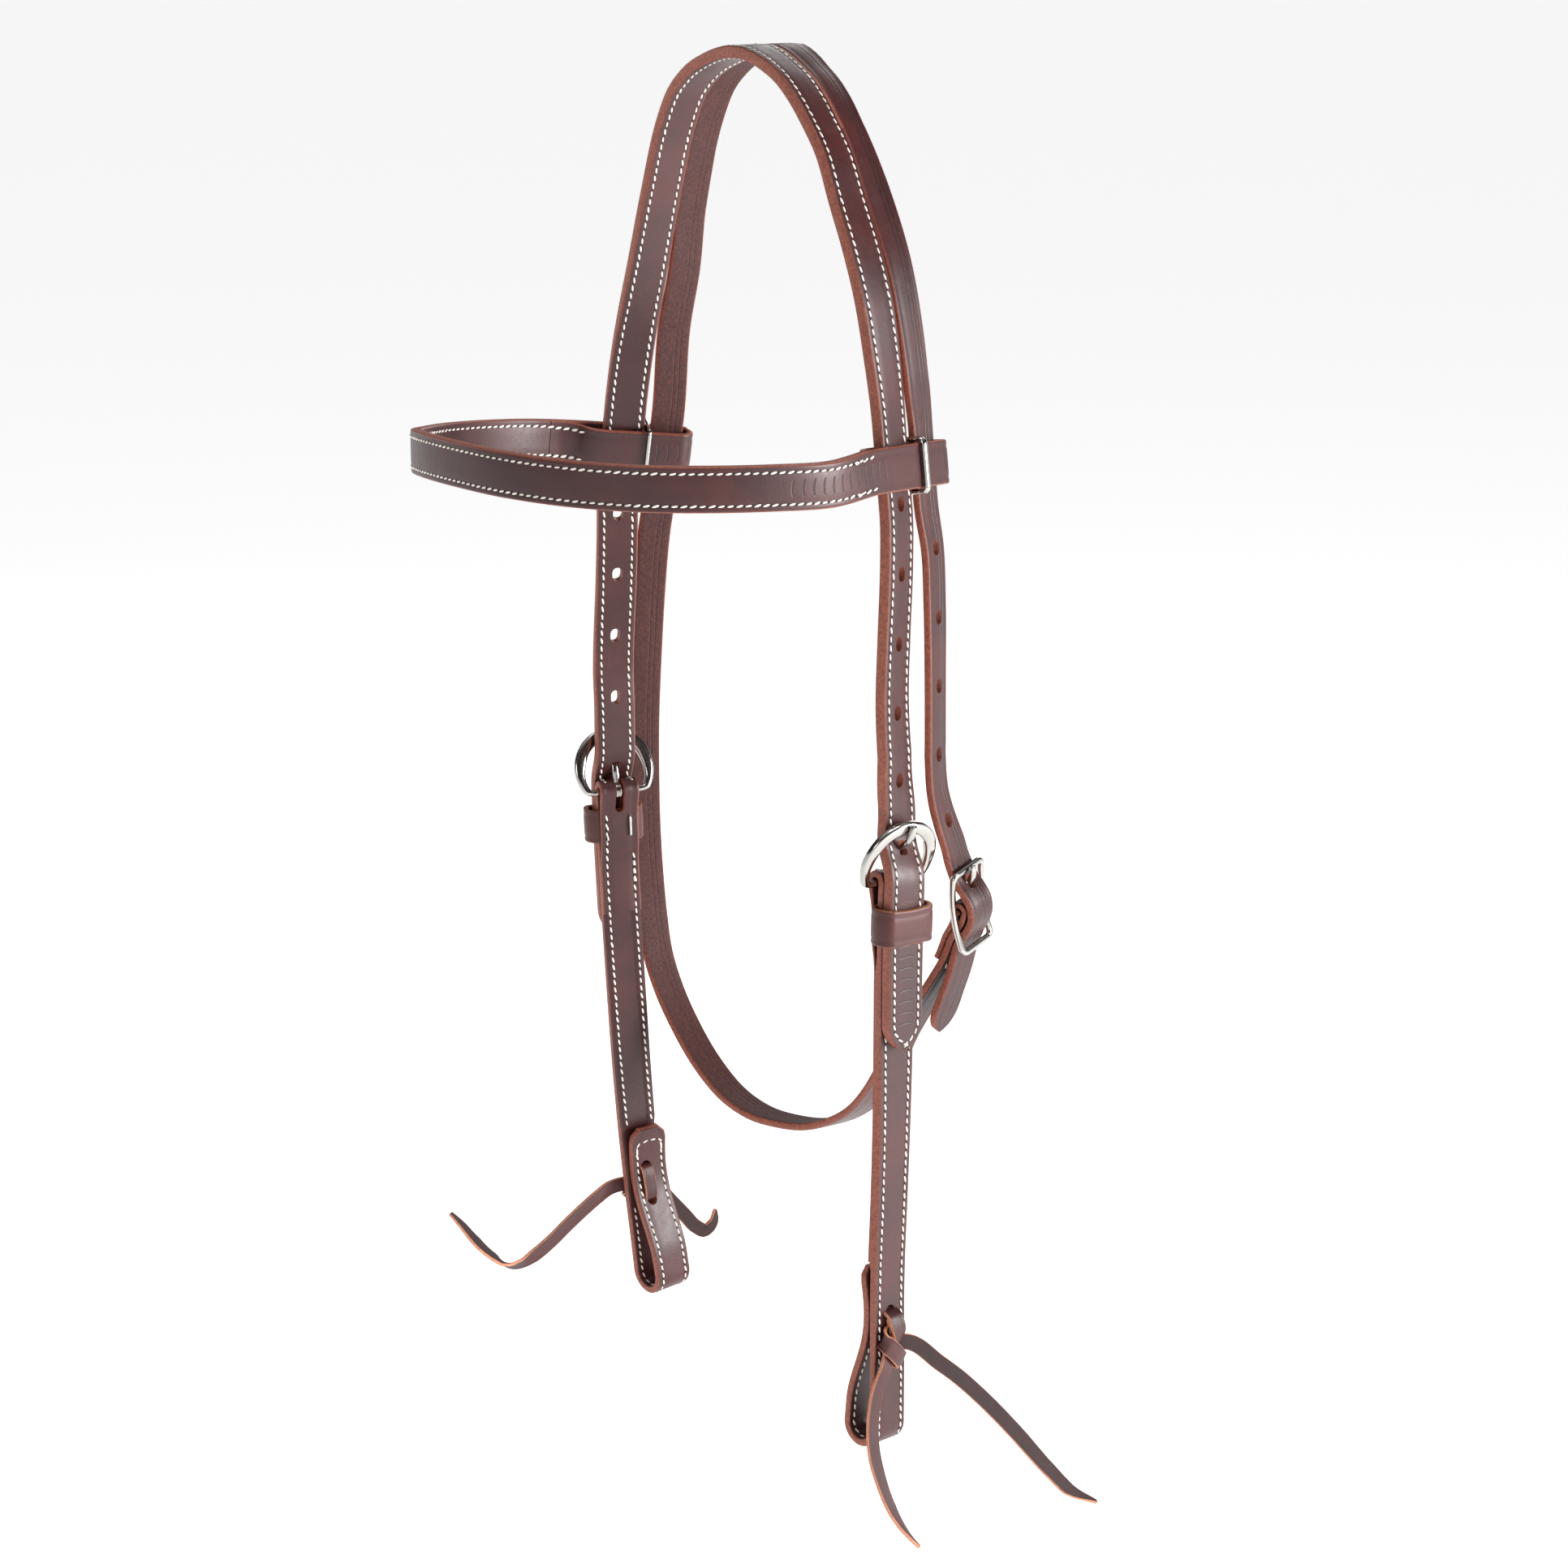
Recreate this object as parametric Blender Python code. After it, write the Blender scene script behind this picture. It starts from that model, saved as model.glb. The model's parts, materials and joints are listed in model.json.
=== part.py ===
"""Western headstall: crown, browband, throat latch, two cheek straps with bit loops.

Metres, +Z up. The origin is on the underside of the crown at the poll. The horse faces -Y and its near
(left) side is at +X. Every strap follows a course: a smooth line down the middle of its grain face, with
an outward and a widthwise direction at each point. A point of a strap is written as (along, lift, across).
"""
import math
from typing import Callable, List, Optional, Sequence, Tuple

import bpy
import bmesh
import numpy as np
from mathutils import Matrix, Vector

# Overall
HALF_SPAN = 0.096            # poll centreline to the grain face of each cheek strap
DROP = 0.508                 # poll to the bottom of the bit loops
BROW_DROP = 0.139            # poll to the middle of the browband, near side
OFF_BROW_DROP = 0.153        # the same on the off side, where it hangs lower
BROW_REACH = 0.130           # poll to the front of the browband
BROW_HALF_SPAN = 0.104       # half the widest spread of the browband
THROAT_DEPTH = 0.418         # poll to the lowest point of the throat latch

# Leather
STRAP_WIDTH = 0.016
THROAT_WIDTH = 0.0127
PLY = 0.0030                 # outer ply
LINER = 0.0012               # inner ply
FOLD_PLY = 0.0024            # outer ply where it is skived to fold
SEAM = 0.0003                # between the solids of two glued or touching pieces
SPLIT_CUT = 0.0006           # width of the cut that divides the crown
PUNCH_WIDTH = 0.0040
PUNCH_LENGTH = 0.0055
HOLE_PITCH = 0.025
FRONT_HOLES = 5              # free holes above the buckled one
THROAT_HOLES = 5

# Crown
NEAR_SPLIT_DROP = 0.021
OFF_SPLIT_DROP = 0.060
NEAR_GAP_AT_BROW = 0.0046    # between front and throat straps inside the browband
OFF_GAP_AT_BROW = 0.0028
CHEEK_TAIL = 0.062           # heel bar to billet tip
TIP_LENGTH = 0.011
ARCH_STEP = 0.0065
STRAP_STEP = 0.012
BILLET_STEP = 0.004          # where plies bend close over each other
BROW_STEP = 0.008

# Browband
LOOP_CLEARANCE = 0.0010      # each side of a strap inside a browband loop
NEAR_TURN_ROOM = 0.0006      # behind the throat strap, before the turn
OFF_TURN_TUCK = 0.0014       # how far the off throat strap's edge enters its turn
RETURN_LENGTH = 0.052        # returned ply, measured forward from the turn
WIRE = 0.0020                # browband ring wire
WIRE_GAP = 0.0004

# Cheek strap
NEAR_BAR_DROP = 0.2895       # poll to the heel bar
OFF_BAR_DROP = 0.2930
CHAPE_RETURN = 0.051         # heel bar to the end of the returned ply
OFF_TAB_SKEW = 0.0020        # how far the off tab lies rearward of its strap
TAB_TOP = 0.071              # bottom of the bit loop to the top of the tab
LOOP_DEPTH = 0.0165          # bit loop, front to back through both plies
TIE_HOLE = 0.0046
TIE_UPPER = 0.0545           # bottom of the bit loop to the upper tie hole
TIE_LOWER = 0.0400

# Round cheek buckle
RING_RADIUS = 0.0165
RING_BAND = 0.0048
RING_HEEL_BAND = 0.0030
RING_THICKNESS = 0.0030
BAR_DIAMETER = 0.0032
BAR_OFFSET = 0.0090          # below the ring's centre
RING_TILT = math.radians(21)
BAR_GAP = 0.0003             # round a bar inside its fold
TONGUE_WIDTH = 0.0028
TONGUE_THICKNESS = 0.0022
TONGUE_CURL = 0.0014         # thickness of the metal that curls round the bar
TONGUE_REST = 0.0004         # between the tongue and the bar that it rests on
SLOT_ROOM = 0.0005
HOLE_ROOM = 0.0005
TONGUE_SWING_ROOM = 0.0026   # through the buckled hole, for the tongue's thickness and its swing
THROAT_SWING_ROOM = 0.0028
SLOT_LENGTH = 0.0135

# Keeper
KEEPER_HEIGHT = 0.0135
KEEPER_PLY = 0.0022
KEEPER_INNER_PLY = 0.0014
KEEPER_DROP = 0.0145         # heel bar to the keeper's middle
KEEPER_ROOM = 0.0006
KEEPER_BULGE = 0.0018
STAPLE_WIRE = 0.0010
STAPLE_HEIGHT = 0.0080
STAPLE_ACROSS = 0.0042
STAPLE_LEG = 0.0012
STAPLE_ROOM = 0.0003

# Throat buckle
FRAME_WIDTH = 0.0200
FRAME_HEIGHT = 0.0340
FRAME_WIRE = 0.0024
FRAME_BOW = 0.0020           # end bars ahead of the centre bar
FRAME_CORNER = 0.0024
THROAT_TONGUE_THICKNESS = 0.0018
THROAT_FOLD_PLY = 0.0022
THROAT_RETURN = 0.0250
THROAT_TAIL = 0.0500         # centre bar to the throat billet's tip
THROAT_BAR_LIFT = 0.0028     # centre bar above the latch's grain face

# Ties
THONG_WIDTH = 0.0060
THONG_THICKNESS = 0.0016
KNOT_HEIGHT = 0.0210
KNOT_SINK = 0.0020           # knot's middle below the middle of its holes
KNOT_WIDTH = 0.0110
KNOT_DEPTH = 0.0052
THONG_LEG = 0.0036
SHORT_TAIL = 0.028

CUT = 0.004                  # how far a cutter runs past what it cuts


class Course:
    """A smooth line down a strap's grain face, with directions at each point."""

    def __init__(self, points: Sequence[Vector], widths: Sequence[Vector]):
        self.points = np.array([tuple(p) for p in points])
        self.widths = np.array([tuple(w) for w in widths])
        steps = np.linalg.norm(np.diff(self.points, axis=0), axis=1)
        self.knots = np.concatenate(([0.0], np.cumsum(steps)))
        self.slopes = self.tangents(self.points)
        self.turns = self.tangents(self.widths)

    @property
    def length(self) -> float:
        return float(self.knots[-1])

    def tangents(self, values):
        span = np.diff(self.knots)[:, None]
        rise = np.diff(values, axis=0) / span
        inner = (rise[:-1] * span[1:] + rise[1:] * span[:-1]) / (span[1:] + span[:-1])
        return np.vstack((rise[:1], inner, rise[-1:]))

    def blend(self, values, slopes, along):
        index = int(np.clip(np.searchsorted(self.knots, along) - 1, 0, len(self.knots) - 2))
        span = self.knots[index + 1] - self.knots[index]
        t = (along - self.knots[index]) / span
        a, b = values[index], values[index + 1]
        m, n = slopes[index] * span, slopes[index + 1] * span
        point = ((2 * t ** 3 - 3 * t ** 2 + 1) * a + (t ** 3 - 2 * t ** 2 + t) * m
                 + (3 * t ** 2 - 2 * t ** 3) * b + (t ** 3 - t ** 2) * n)
        slope = ((6 * t ** 2 - 6 * t) * a + (3 * t ** 2 - 4 * t + 1) * m
                 + (6 * t - 6 * t ** 2) * b + (3 * t ** 2 - 2 * t) * n) / span
        return point, slope

    def frame(self, along: float) -> Tuple[Vector, Vector, Vector, Vector]:
        """Point, direction of travel, outward and widthwise directions."""
        point, slope = self.blend(self.points, self.slopes, along)
        width, _ = self.blend(self.widths, self.turns, along)
        travel = Vector(slope).normalized()
        across = Vector(width)
        across = (across - travel * across.dot(travel)).normalized()
        return Vector(point), travel, across.cross(travel).normalized(), across

    def at(self, along: float, lift: float, across: float) -> Vector:
        point, _, outward, width = self.frame(along)
        return point + outward * lift + width * across

    def find(self, test: Callable[[Vector], float], start: float, end: float) -> float:
        """The place between start and end where test(point) passes zero."""
        low, high = start, end
        first = test(self.at(low, 0, 0)) > 0
        for _ in range(48):
            middle = (low + high) / 2
            if (test(self.at(middle, 0, 0)) > 0) == first:
                low = middle
            else:
                high = middle
        return (low + high) / 2


class Leg:
    """A course read downward from a place on it: down is positive below that place."""

    def __init__(self, course: Course, origin: float, sense: int):
        self.course, self.origin, self.sense = course, origin, sense

    def at(self, down: float, lift: float, across: float) -> Vector:
        return self.course.at(self.origin + self.sense * down, lift, across)

    def matrix(self, down: float, lift: float) -> Matrix:
        """Rigid frame: Y outward, Z up the strap, X across it."""
        _, travel, outward, _ = self.course.frame(self.origin + self.sense * down)
        up = travel * -self.sense
        side = outward.cross(up).normalized()
        turn = Matrix((side, outward, up)).transposed().to_4x4()
        return Matrix.Translation(self.at(down, lift, 0)) @ turn


def heading(turn: float) -> Vector:
    """Widthwise direction of a strap turned about the vertical, near side positive."""
    return Vector((-math.sin(turn), math.cos(turn), 0))


def material(name: str, color: Tuple[float, float, float], rough: float, metal: float):
    mat = bpy.data.materials.new(name)
    mat.use_nodes = True
    shader = mat.node_tree.nodes["Principled BSDF"]
    shader.inputs["Base Color"].default_value = (*color, 1)
    shader.inputs["Roughness"].default_value = rough
    shader.inputs["Metallic"].default_value = metal
    mat.diffuse_color = (*color, 1)
    return mat


LEATHER = ((0.105, 0.030, 0.026), 0.52, 0.0)
LINING = ((0.085, 0.026, 0.022), 0.60, 0.0)
NICKEL = ((0.62, 0.61, 0.58), 0.22, 1.0)
STEEL = ((0.60, 0.60, 0.60), 0.30, 1.0)
THONG = ((0.060, 0.020, 0.016), 0.62, 0.0)


def finish(bm, name: str, look, frame: Optional[Matrix] = None, smooth: bool = False):
    bmesh.ops.recalc_face_normals(bm, faces=bm.faces)
    mesh = bpy.data.meshes.new(name)
    bm.to_mesh(mesh)
    bm.free()
    obj = bpy.data.objects.new(name, mesh)
    bpy.context.collection.objects.link(obj)
    if frame is not None:
        obj.matrix_world = frame
    if look is not None:
        mesh.materials.append(material(name + "_finish", *look))
    if smooth:
        mesh.shade_smooth()
        mesh.set_sharp_from_angle(angle=math.radians(35))
    return obj


def add_wall(bm, near, far, i: int) -> None:
    """One side between two outlines; a sheet's broad sides share one diagonal, so stacked plies follow."""
    j = (i + 1) % len(near)
    if len(near) == 4 and i in (1, 3):
        a, b = (i, j) if i == 1 else (j, i)
        bm.faces.new((near[a], near[b], far[b]))
        bm.faces.new((near[a], far[b], far[a]))
    else:
        bm.faces.new((near[i], near[j], far[j], far[i]))


def loft_into(bm, rings: Sequence[Sequence[Vector]], closed: bool = False) -> None:
    """Skin a row of like outlines into one closed body."""
    rows = [[bm.verts.new(p) for p in ring] for ring in rings]
    count = len(rows[0])
    following = rows[1:] + ([rows[0]] if closed else [])
    for near, far in zip(rows, following):
        for i in range(count):
            add_wall(bm, near, far, i)
    if not closed:
        bm.faces.new(rows[0])
        bm.faces.new(list(reversed(rows[-1])))


def loft(name, rings, look, closed=False, frame=None, smooth=False):
    bm = bmesh.new()
    loft_into(bm, rings, closed)
    return finish(bm, name, look, frame, smooth)


def cut(obj, cutter, mode: str = "DIFFERENCE") -> None:
    step = obj.modifiers.new(cutter.name, "BOOLEAN")
    step.operation = mode
    step.object = cutter
    step.solver = "EXACT"
    cutter.hide_render = True
    cutter.display_type = "WIRE"


def spread(start: float, end: float, step: float) -> List[float]:
    count = max(1, math.ceil(abs(end - start) / step))
    return [start + (end - start) * i / count for i in range(count + 1)]


def arc(center, radius: float, start: float, end: float, steps: int):
    """Points (down, lift) round a centre; angle 0 is outward and 90 degrees is down."""
    turns = [math.radians(start + (end - start) * i / steps) for i in range(steps + 1)]
    return [(center[0] + radius * math.sin(turn), center[1] + radius * math.cos(turn)) for turn in turns]


def refined(path, step: float, start: float) -> List[Tuple[float, float]]:
    """A (down, lift) path with a point at every whole step beyond start, so that stacked plies bend alike."""
    points = [path[0]]
    for one, two in zip(path, path[1:]):
        low, high = sorted((one[0], two[0]))
        marks = [k * step for k in range(math.ceil(max(low, start) / step), math.ceil(high / step))]
        marks = [m for m in marks if low + step / 4 < m < high - step / 4]
        if two[0] < one[0]:
            marks.reverse()
        for mark in marks:
            share = (mark - one[0]) / (two[0] - one[0])
            points.append((mark, one[1] + (two[1] - one[1]) * share))
        points.append(two)
    return points


def smoothed(path, step: float) -> List[Tuple[float, float]]:
    """A (down, lift) path bent smoothly through its points."""
    curve = Course([Vector((d, l, 0)) for d, l in path], [Vector((0, 0, 1))] * len(path))
    return [tuple(curve.at(place, 0, 0))[:2] for place in spread(0, curve.length, step)]


def offset(path, depths) -> List[Tuple[float, float]]:
    """Each point of a (down, lift) path moved to its right by its own depth, mitred."""
    moved = []
    for i, (point, depth) in enumerate(zip(path, depths)):
        before = path[max(i - 1, 0)]
        after = path[min(i + 1, len(path) - 1)]
        one = Vector((point[0] - before[0], point[1] - before[1])) if i else None
        two = Vector((after[0] - point[0], after[1] - point[1])) if i < len(path) - 1 else None
        one = (one or two).normalized()
        two = (two or one).normalized()
        bisector = (one + two).normalized()
        size = depth / max(bisector.dot(one), 0.5)
        moved.append((point[0] + bisector.y * size, point[1] - bisector.x * size))
    return moved


def round_outline(half_a: float, half_b: float, corner: float, steps: int):
    """A rounded rectangle about the origin, as (a, b) pairs."""
    points = []
    for quarter in range(4):
        ca = (half_a - corner) * (1 if quarter in (0, 3) else -1)
        cb = (half_b - corner) * (1 if quarter in (0, 1) else -1)
        for i in range(steps + 1):
            turn = math.pi / 2 * (quarter + i / steps)
            points.append((ca + corner * math.cos(turn), cb + corner * math.sin(turn)))
    return points


def sheet_rings(leg, grain, flesh, edges):
    """Four-cornered outlines of a ply between its grain and flesh paths."""
    rings = []
    for (gd, gl), (fd, fl), (front, rear) in zip(grain, flesh, edges):
        rings.append([leg.at(fd, fl, front), leg.at(gd, gl, front), leg.at(gd, gl, rear),
                      leg.at(fd, fl, rear)])
    return rings


def wire_rings(path: Sequence[Vector], radius: float, sides: int, closed: bool, flat: Vector):
    """Round outlines along a path; flat is a direction that the path never follows."""
    rings = []
    count = len(path)
    for i, point in enumerate(path):
        if closed:
            travel = path[(i + 1) % count] - path[i - 1]
        else:
            travel = path[min(i + 1, count - 1)] - path[max(i - 1, 0)]
        travel.normalize()
        side = travel.cross(flat).normalized()
        rise = side.cross(travel).normalized()
        rings.append([point + (side * math.cos(a) + rise * math.sin(a)) * radius
                      for a in (math.tau * (k + 0.5) / sides for k in range(sides))])
    return rings


# The front course: shares of HALF_SPAN, STRAP_WIDTH and DROP, and the turn in degrees, from the near bit
# loop up over the poll and down to the off bit loop.
NEAR_SIDE_SHARES = (
    (1.000, -0.26, 1.012, 8), (1.000, -0.26, 0.945, 8), (1.000, -0.26, 0.866, 9), (1.000, -0.19, 0.807, 9),
    (1.000, -0.14, 0.748, 7), (1.000, -0.12, 0.689, 4), (1.000, -0.11, 0.630, 3), (1.000, -0.07, 0.571, 3),
    (1.000, 0.02, 0.516, 12), (0.998, -0.09, 0.482, 18), (0.991, -0.14, 0.443, 20), (0.979, -0.05, 0.394, 21),
    (0.963, 0.08, 0.344, 21), (0.946, 0.14, 0.309, 21), (0.932, 0.14, 0.291, 21), (0.918, 0.14, 0.2736, 21),
    (0.903, 0.14, 0.2543, 21), (0.889, 0.14, 0.236, 20), (0.864, 0.08, 0.197, 12), (0.822, 0.03, 0.157, 6),
    (0.755, 0.00, 0.122, 2), (0.676, 0.00, 0.092, 0), (0.584, 0.00, 0.057, 0), (0.493, 0.00, 0.037, 0),
    (0.401, 0.00, 0.0205, 0), (0.303, 0.00, 0.0075, 0))
CREST_SHARES = ((0.224, 0.0010), (0.135, -0.0042), (0.045, -0.0071))
# How far the crown's rear side leans down on the near shoulder, in degrees: the last near rows, the crest.
NEAR_LEANS = (2, 5, 8, 11, 13, 13, 11, 9, 7, 3, 0)
OFF_SIDE_SHARES = (
    (0.303, 0.00, 0.0068, 0), (0.372, 0.00, 0.0145, 0), (0.448, 0.00, 0.0262, 0), (0.525, 0.00, 0.0475, 0),
    (0.582, 0.00, 0.0700, 0), (0.622, 0.00, 0.0910, 1), (0.664, 0.00, 0.1140, 3), (0.739, -0.03, 0.1620, 8),
    (0.790, -0.08, 0.1990, 15), (0.822, -0.13, 0.2290, 22), (0.861, -0.15, 0.2640, 24),
    (0.881, -0.15, 0.2830, 24), (0.902, -0.15, 0.3012, 24), (0.922, -0.15, 0.3203, 24),
    (0.943, -0.12, 0.3406, 24), (0.965, -0.06, 0.3740, 24), (0.984, -0.05, 0.4154, 21),
    (0.998, -0.10, 0.4685, 17), (1.000, -0.12, 0.5110, 14), (1.000, -0.10, 0.5710, 14),
    (1.000, -0.03, 0.6300, 14), (1.000, 0.07, 0.6890, 14), (1.000, 0.18, 0.7480, 12),
    (1.000, 0.30, 0.8070, 9), (1.000, 0.45, 0.8660, 5), (1.000, 0.62, 0.9200, 1), (1.000, 0.78, 0.9650, -2),
    (1.000, 0.92, 1.0120, -3))
STACK = PLY + SEAM + LINER


def front_course() -> Course:
    rows = [(x, y, z, turn, 1) for x, y, z, turn in NEAR_SIDE_SHARES]
    rows += [(x, 0, z, 0, 1) for x, z in CREST_SHARES]
    rows += [(x, 0, z, 0, -1) for x, z in reversed(CREST_SHARES)]
    rows += [(x, y, z, turn, -1) for x, y, z, turn in OFF_SIDE_SHARES]
    points = [Vector((x * side * HALF_SPAN, y * STRAP_WIDTH, -z * DROP)) for x, y, z, _, side in rows]
    widths = [heading(math.radians(turn) * side) for _, _, _, turn, side in rows]
    last = len(NEAR_SIDE_SHARES) + len(CREST_SHARES)
    path = list(points)
    for i, lean in enumerate(NEAR_LEANS, last - len(NEAR_LEANS)):
        travel = (path[i + 1] - path[i - 1]).normalized()
        leant = Matrix.Rotation(math.radians(lean), 3, travel) @ widths[i]
        points[i] = path[i] + (leant - widths[i]) * (STRAP_WIDTH / 2)
        widths[i] = leant
    trial = Course(points, widths)
    crest = trial.knots[len(NEAR_SIDE_SHARES) + len(CREST_SHARES) - 1]
    shift = trial.at(crest, -STACK, 0).z
    return Course([p - Vector((0, 0, shift)) for p in points], widths)


FRONT = front_course()
CREST_NEAR = float(FRONT.knots[len(NEAR_SIDE_SHARES) + len(CREST_SHARES) - 1])
CREST_OFF = float(FRONT.knots[len(NEAR_SIDE_SHARES) + len(CREST_SHARES)])
CREST = (CREST_NEAR + CREST_OFF) / 2


def front_drop(drop: float, sense: int) -> float:
    """Where the front course is at a drop, on the near (-1) or off (+1) side."""
    end = 0 if sense < 0 else FRONT.length
    return FRONT.find(lambda p: p.z + drop, CREST, end)


NEAR_LEG = Leg(FRONT, front_drop(NEAR_BAR_DROP, -1), -1)
OFF_LEG = Leg(FRONT, front_drop(OFF_BAR_DROP, 1), 1)

# The throat course: shares of HALF_SPAN, STRAP_WIDTH and the fall from poll to lowest point, and the turn in
# degrees. The falls keep step with the browband, the heel bars and THROAT_DEPTH at the marks' shares. Beside
# the off cheek strap, the second share is rearward from that strap.
NEAR_MARK_SHARES = (0, 0.2943, 0.3708, 0.6926, 1)
OFF_MARK_SHARES = (0, 0.3278, 0.4043, 0.7010, 1)
REAR_OFFSET = (STRAP_WIDTH + THROAT_WIDTH) / 2 + SPLIT_CUT
OFF_UPPER_SHARES = ((0.708, 0.93, 0.1985, 9), (0.764, 0.86, 0.2540, 16))
OFF_BESIDE_SHARES = (
    (0.911, 0.87, 0.4545, 24), (0.958, 0.90, 0.5120, 23), (1.010, 1.02, 0.5790, 20),
    (1.050, 1.12, 0.6340, 18), (1.068, 1.15, 0.6940, 16), (1.073, 1.14, 0.7460, 14),
    (1.066, 1.12, 0.7920, 12), (1.042, 1.09, 0.8400, 9), (1.010, 1.06, 0.8760, 6), (0.940, 1.05, 0.9080, 3))
OFF_LOWER_SHARES = (
    (0.835, 1.29, 0.9390, 0), (0.672, 1.36, 0.9720, 0), (0.512, 1.45, 0.9930, 0), (0.330, 1.55, 1.0020, 0),
    (0.145, 1.66, 1.0000, 0))
NEAR_LOWER_SHARES = (
    (0.020, 1.76, 0.9930, 0), (0.215, 1.83, 0.9740, 0), (0.344, 1.80, 0.9550, 0), (0.450, 1.71, 0.9340, 0),
    (0.5885, 1.60, 0.8971, 2), (0.708, 1.53, 0.8589, 6), (0.792, 1.62, 0.8301, 9), (0.849, 1.734, 0.8086, 11),
    (0.920, 1.966, 0.7739, 14), (0.9437, 2.014, 0.7560, 15), (0.9562, 1.958, 0.7400, 16))
THROAT_BAR_SHARES = (0.9625, 1.870, 0.7249, 16)
NEAR_UPPER_SHARES = (
    (0.9667, 1.780, 0.7098, 16), (0.9688, 1.689, 0.6947, 17), (0.9719, 1.504, 0.6739, 19),
    (0.9729, 1.282, 0.6483, 23), (0.9719, 1.139, 0.6227, 26), (0.9667, 1.148, 0.5751, 27),
    (0.948, 1.215, 0.5187, 27), (0.919, 1.310, 0.4560, 25),
    (0.895, 1.330, 0.4050, 24))
NEAR_TOP_SHARES = ((0.842, 1.05, 0.2600, 17), (0.806, 1.00, 0.2150, 13), (0.742, 0.97, 0.1660, 10),
                   (0.632, 0.94, 0.1160, 6))


def rear_row(along: float, across: float) -> Tuple[Vector, Vector]:
    """A place on the crown's rear half, read from the front course."""
    return FRONT.at(along, 0, across), FRONT.frame(along)[3]


def throat_fall(share: float, side: int) -> float:
    """Poll to a row of the throat course."""
    brow, bar = (BROW_DROP, NEAR_BAR_DROP) if side > 0 else (OFF_BROW_DROP, OFF_BAR_DROP)
    marks = NEAR_MARK_SHARES if side > 0 else OFF_MARK_SHARES
    drops = (0, brow - STRAP_WIDTH, brow + STRAP_WIDTH, bar, THROAT_DEPTH)
    if share > 1:
        return share * THROAT_DEPTH
    return float(np.interp(share, marks, drops))


def share_row(row, side: int) -> Tuple[Vector, Vector]:
    x, y, z, turn = row
    point = Vector((x * side * HALF_SPAN, y * STRAP_WIDTH, -throat_fall(z, side)))
    return point, heading(math.radians(turn) * side)


def beside_row(row) -> Tuple[Vector, Vector]:
    """A row read from the off cheek strap at the same height."""
    point, width = share_row(row, -1)
    strap = FRONT.at(front_drop(throat_fall(row[2], -1), 1), 0, 0)
    return point + Vector((0, strap.y, 0)), width


def brow_rows(sense: int, drop: float, gap: float):
    """Places on the throat strap inside a browband loop, side by side with the front strap."""
    across = (STRAP_WIDTH + THROAT_WIDTH) / 2 + gap
    reach = STRAP_WIDTH
    drops = (drop + reach, drop, drop - reach) if sense < 0 else (drop - reach, drop, drop + reach)
    return [rear_row(front_drop(d, sense), across) for d in drops]


OFF_SPLIT = front_drop(OFF_SPLIT_DROP, 1)
NEAR_SPLIT = front_drop(NEAR_SPLIT_DROP, -1)


def throat_course() -> Tuple[Course, float, float]:
    lead = STRAP_WIDTH
    rows = [rear_row(OFF_SPLIT - lead, REAR_OFFSET), rear_row(OFF_SPLIT, REAR_OFFSET)]
    rows += [share_row(row, -1) for row in OFF_UPPER_SHARES]
    rows += brow_rows(1, OFF_BROW_DROP, OFF_GAP_AT_BROW)
    rows += [beside_row(row) for row in OFF_BESIDE_SHARES]
    rows += [share_row(row, -1) for row in OFF_LOWER_SHARES]
    rows += [share_row(row, 1) for row in NEAR_LOWER_SHARES]
    bar_index = len(rows)
    rows += [share_row(THROAT_BAR_SHARES, 1)]
    rows += [share_row(row, 1) for row in NEAR_UPPER_SHARES]
    rows += brow_rows(-1, BROW_DROP, NEAR_GAP_AT_BROW)
    rows += [share_row(row, 1) for row in NEAR_TOP_SHARES]
    rows += [rear_row(NEAR_SPLIT, REAR_OFFSET), rear_row(NEAR_SPLIT + lead, REAR_OFFSET)]
    course = Course([r[0] for r in rows], [r[1] for r in rows])
    return course, float(course.knots[bar_index]), float(course.knots[1])


THROAT, THROAT_BAR, THROAT_OFF_START = throat_course()
THROAT_NEAR_END = float(THROAT.knots[-2])
THROAT_LEG = Leg(THROAT, THROAT_BAR, -1)

BAR_RADIUS = BAR_DIAMETER / 2
BAR_LIFT = -PLY - BAR_GAP - BAR_RADIUS          # heel bar against the cheek strap's flesh side
FOLD_RADIUS = BAR_RADIUS + BAR_GAP              # flesh side of the fold
RING_REACH = BAR_OFFSET + RING_RADIUS - RING_BAND / 2
OVER_LIFT = STACK + SEAM                        # billet's grain face where it lies on the cheek strap
BEHIND_LIFT = (BAR_LIFT + math.sin(RING_TILT) * RING_REACH - math.cos(RING_TILT) * RING_THICKNESS
               - math.sin(RING_TILT) * RING_BAND)
# Billet's grain face: height above the heel bar as a share of the ring's reach, and how far it has
# come from lying behind the ring's top (0) to lying over the fold (1).
BILLET_SHARES = ((2.05, None), (1.50, -0.02), (1.15, -0.03), (0.90, -0.03), (0.71, 0.0), (0.56, 0.21),
                 (0.41, 0.52), (0.25, 0.82), (0.11, 0.97), (0.0, 1.0), (-0.25, 1.0))


def billet_path(tail: float) -> List[Tuple[float, float]]:
    """Grain face of a front billet as (down, lift), from the free strap to its tip."""
    path = []
    for height, blend in BILLET_SHARES:
        lift = 0.0 if blend is None else BEHIND_LIFT + (OVER_LIFT - BEHIND_LIFT) * blend
        path.append((-height * RING_REACH, lift))
    last = path[-1][0]
    straight = spread(last, tail - TIP_LENGTH, STRAP_STEP)[1:]
    return smoothed(path, BILLET_STEP * 0.8) + [(d, OVER_LIFT) for d in straight]


TIP_SHARES = ((0.35, 0.90), (0.65, 0.70), (0.88, 0.42), (1.0, 0.14))


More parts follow.
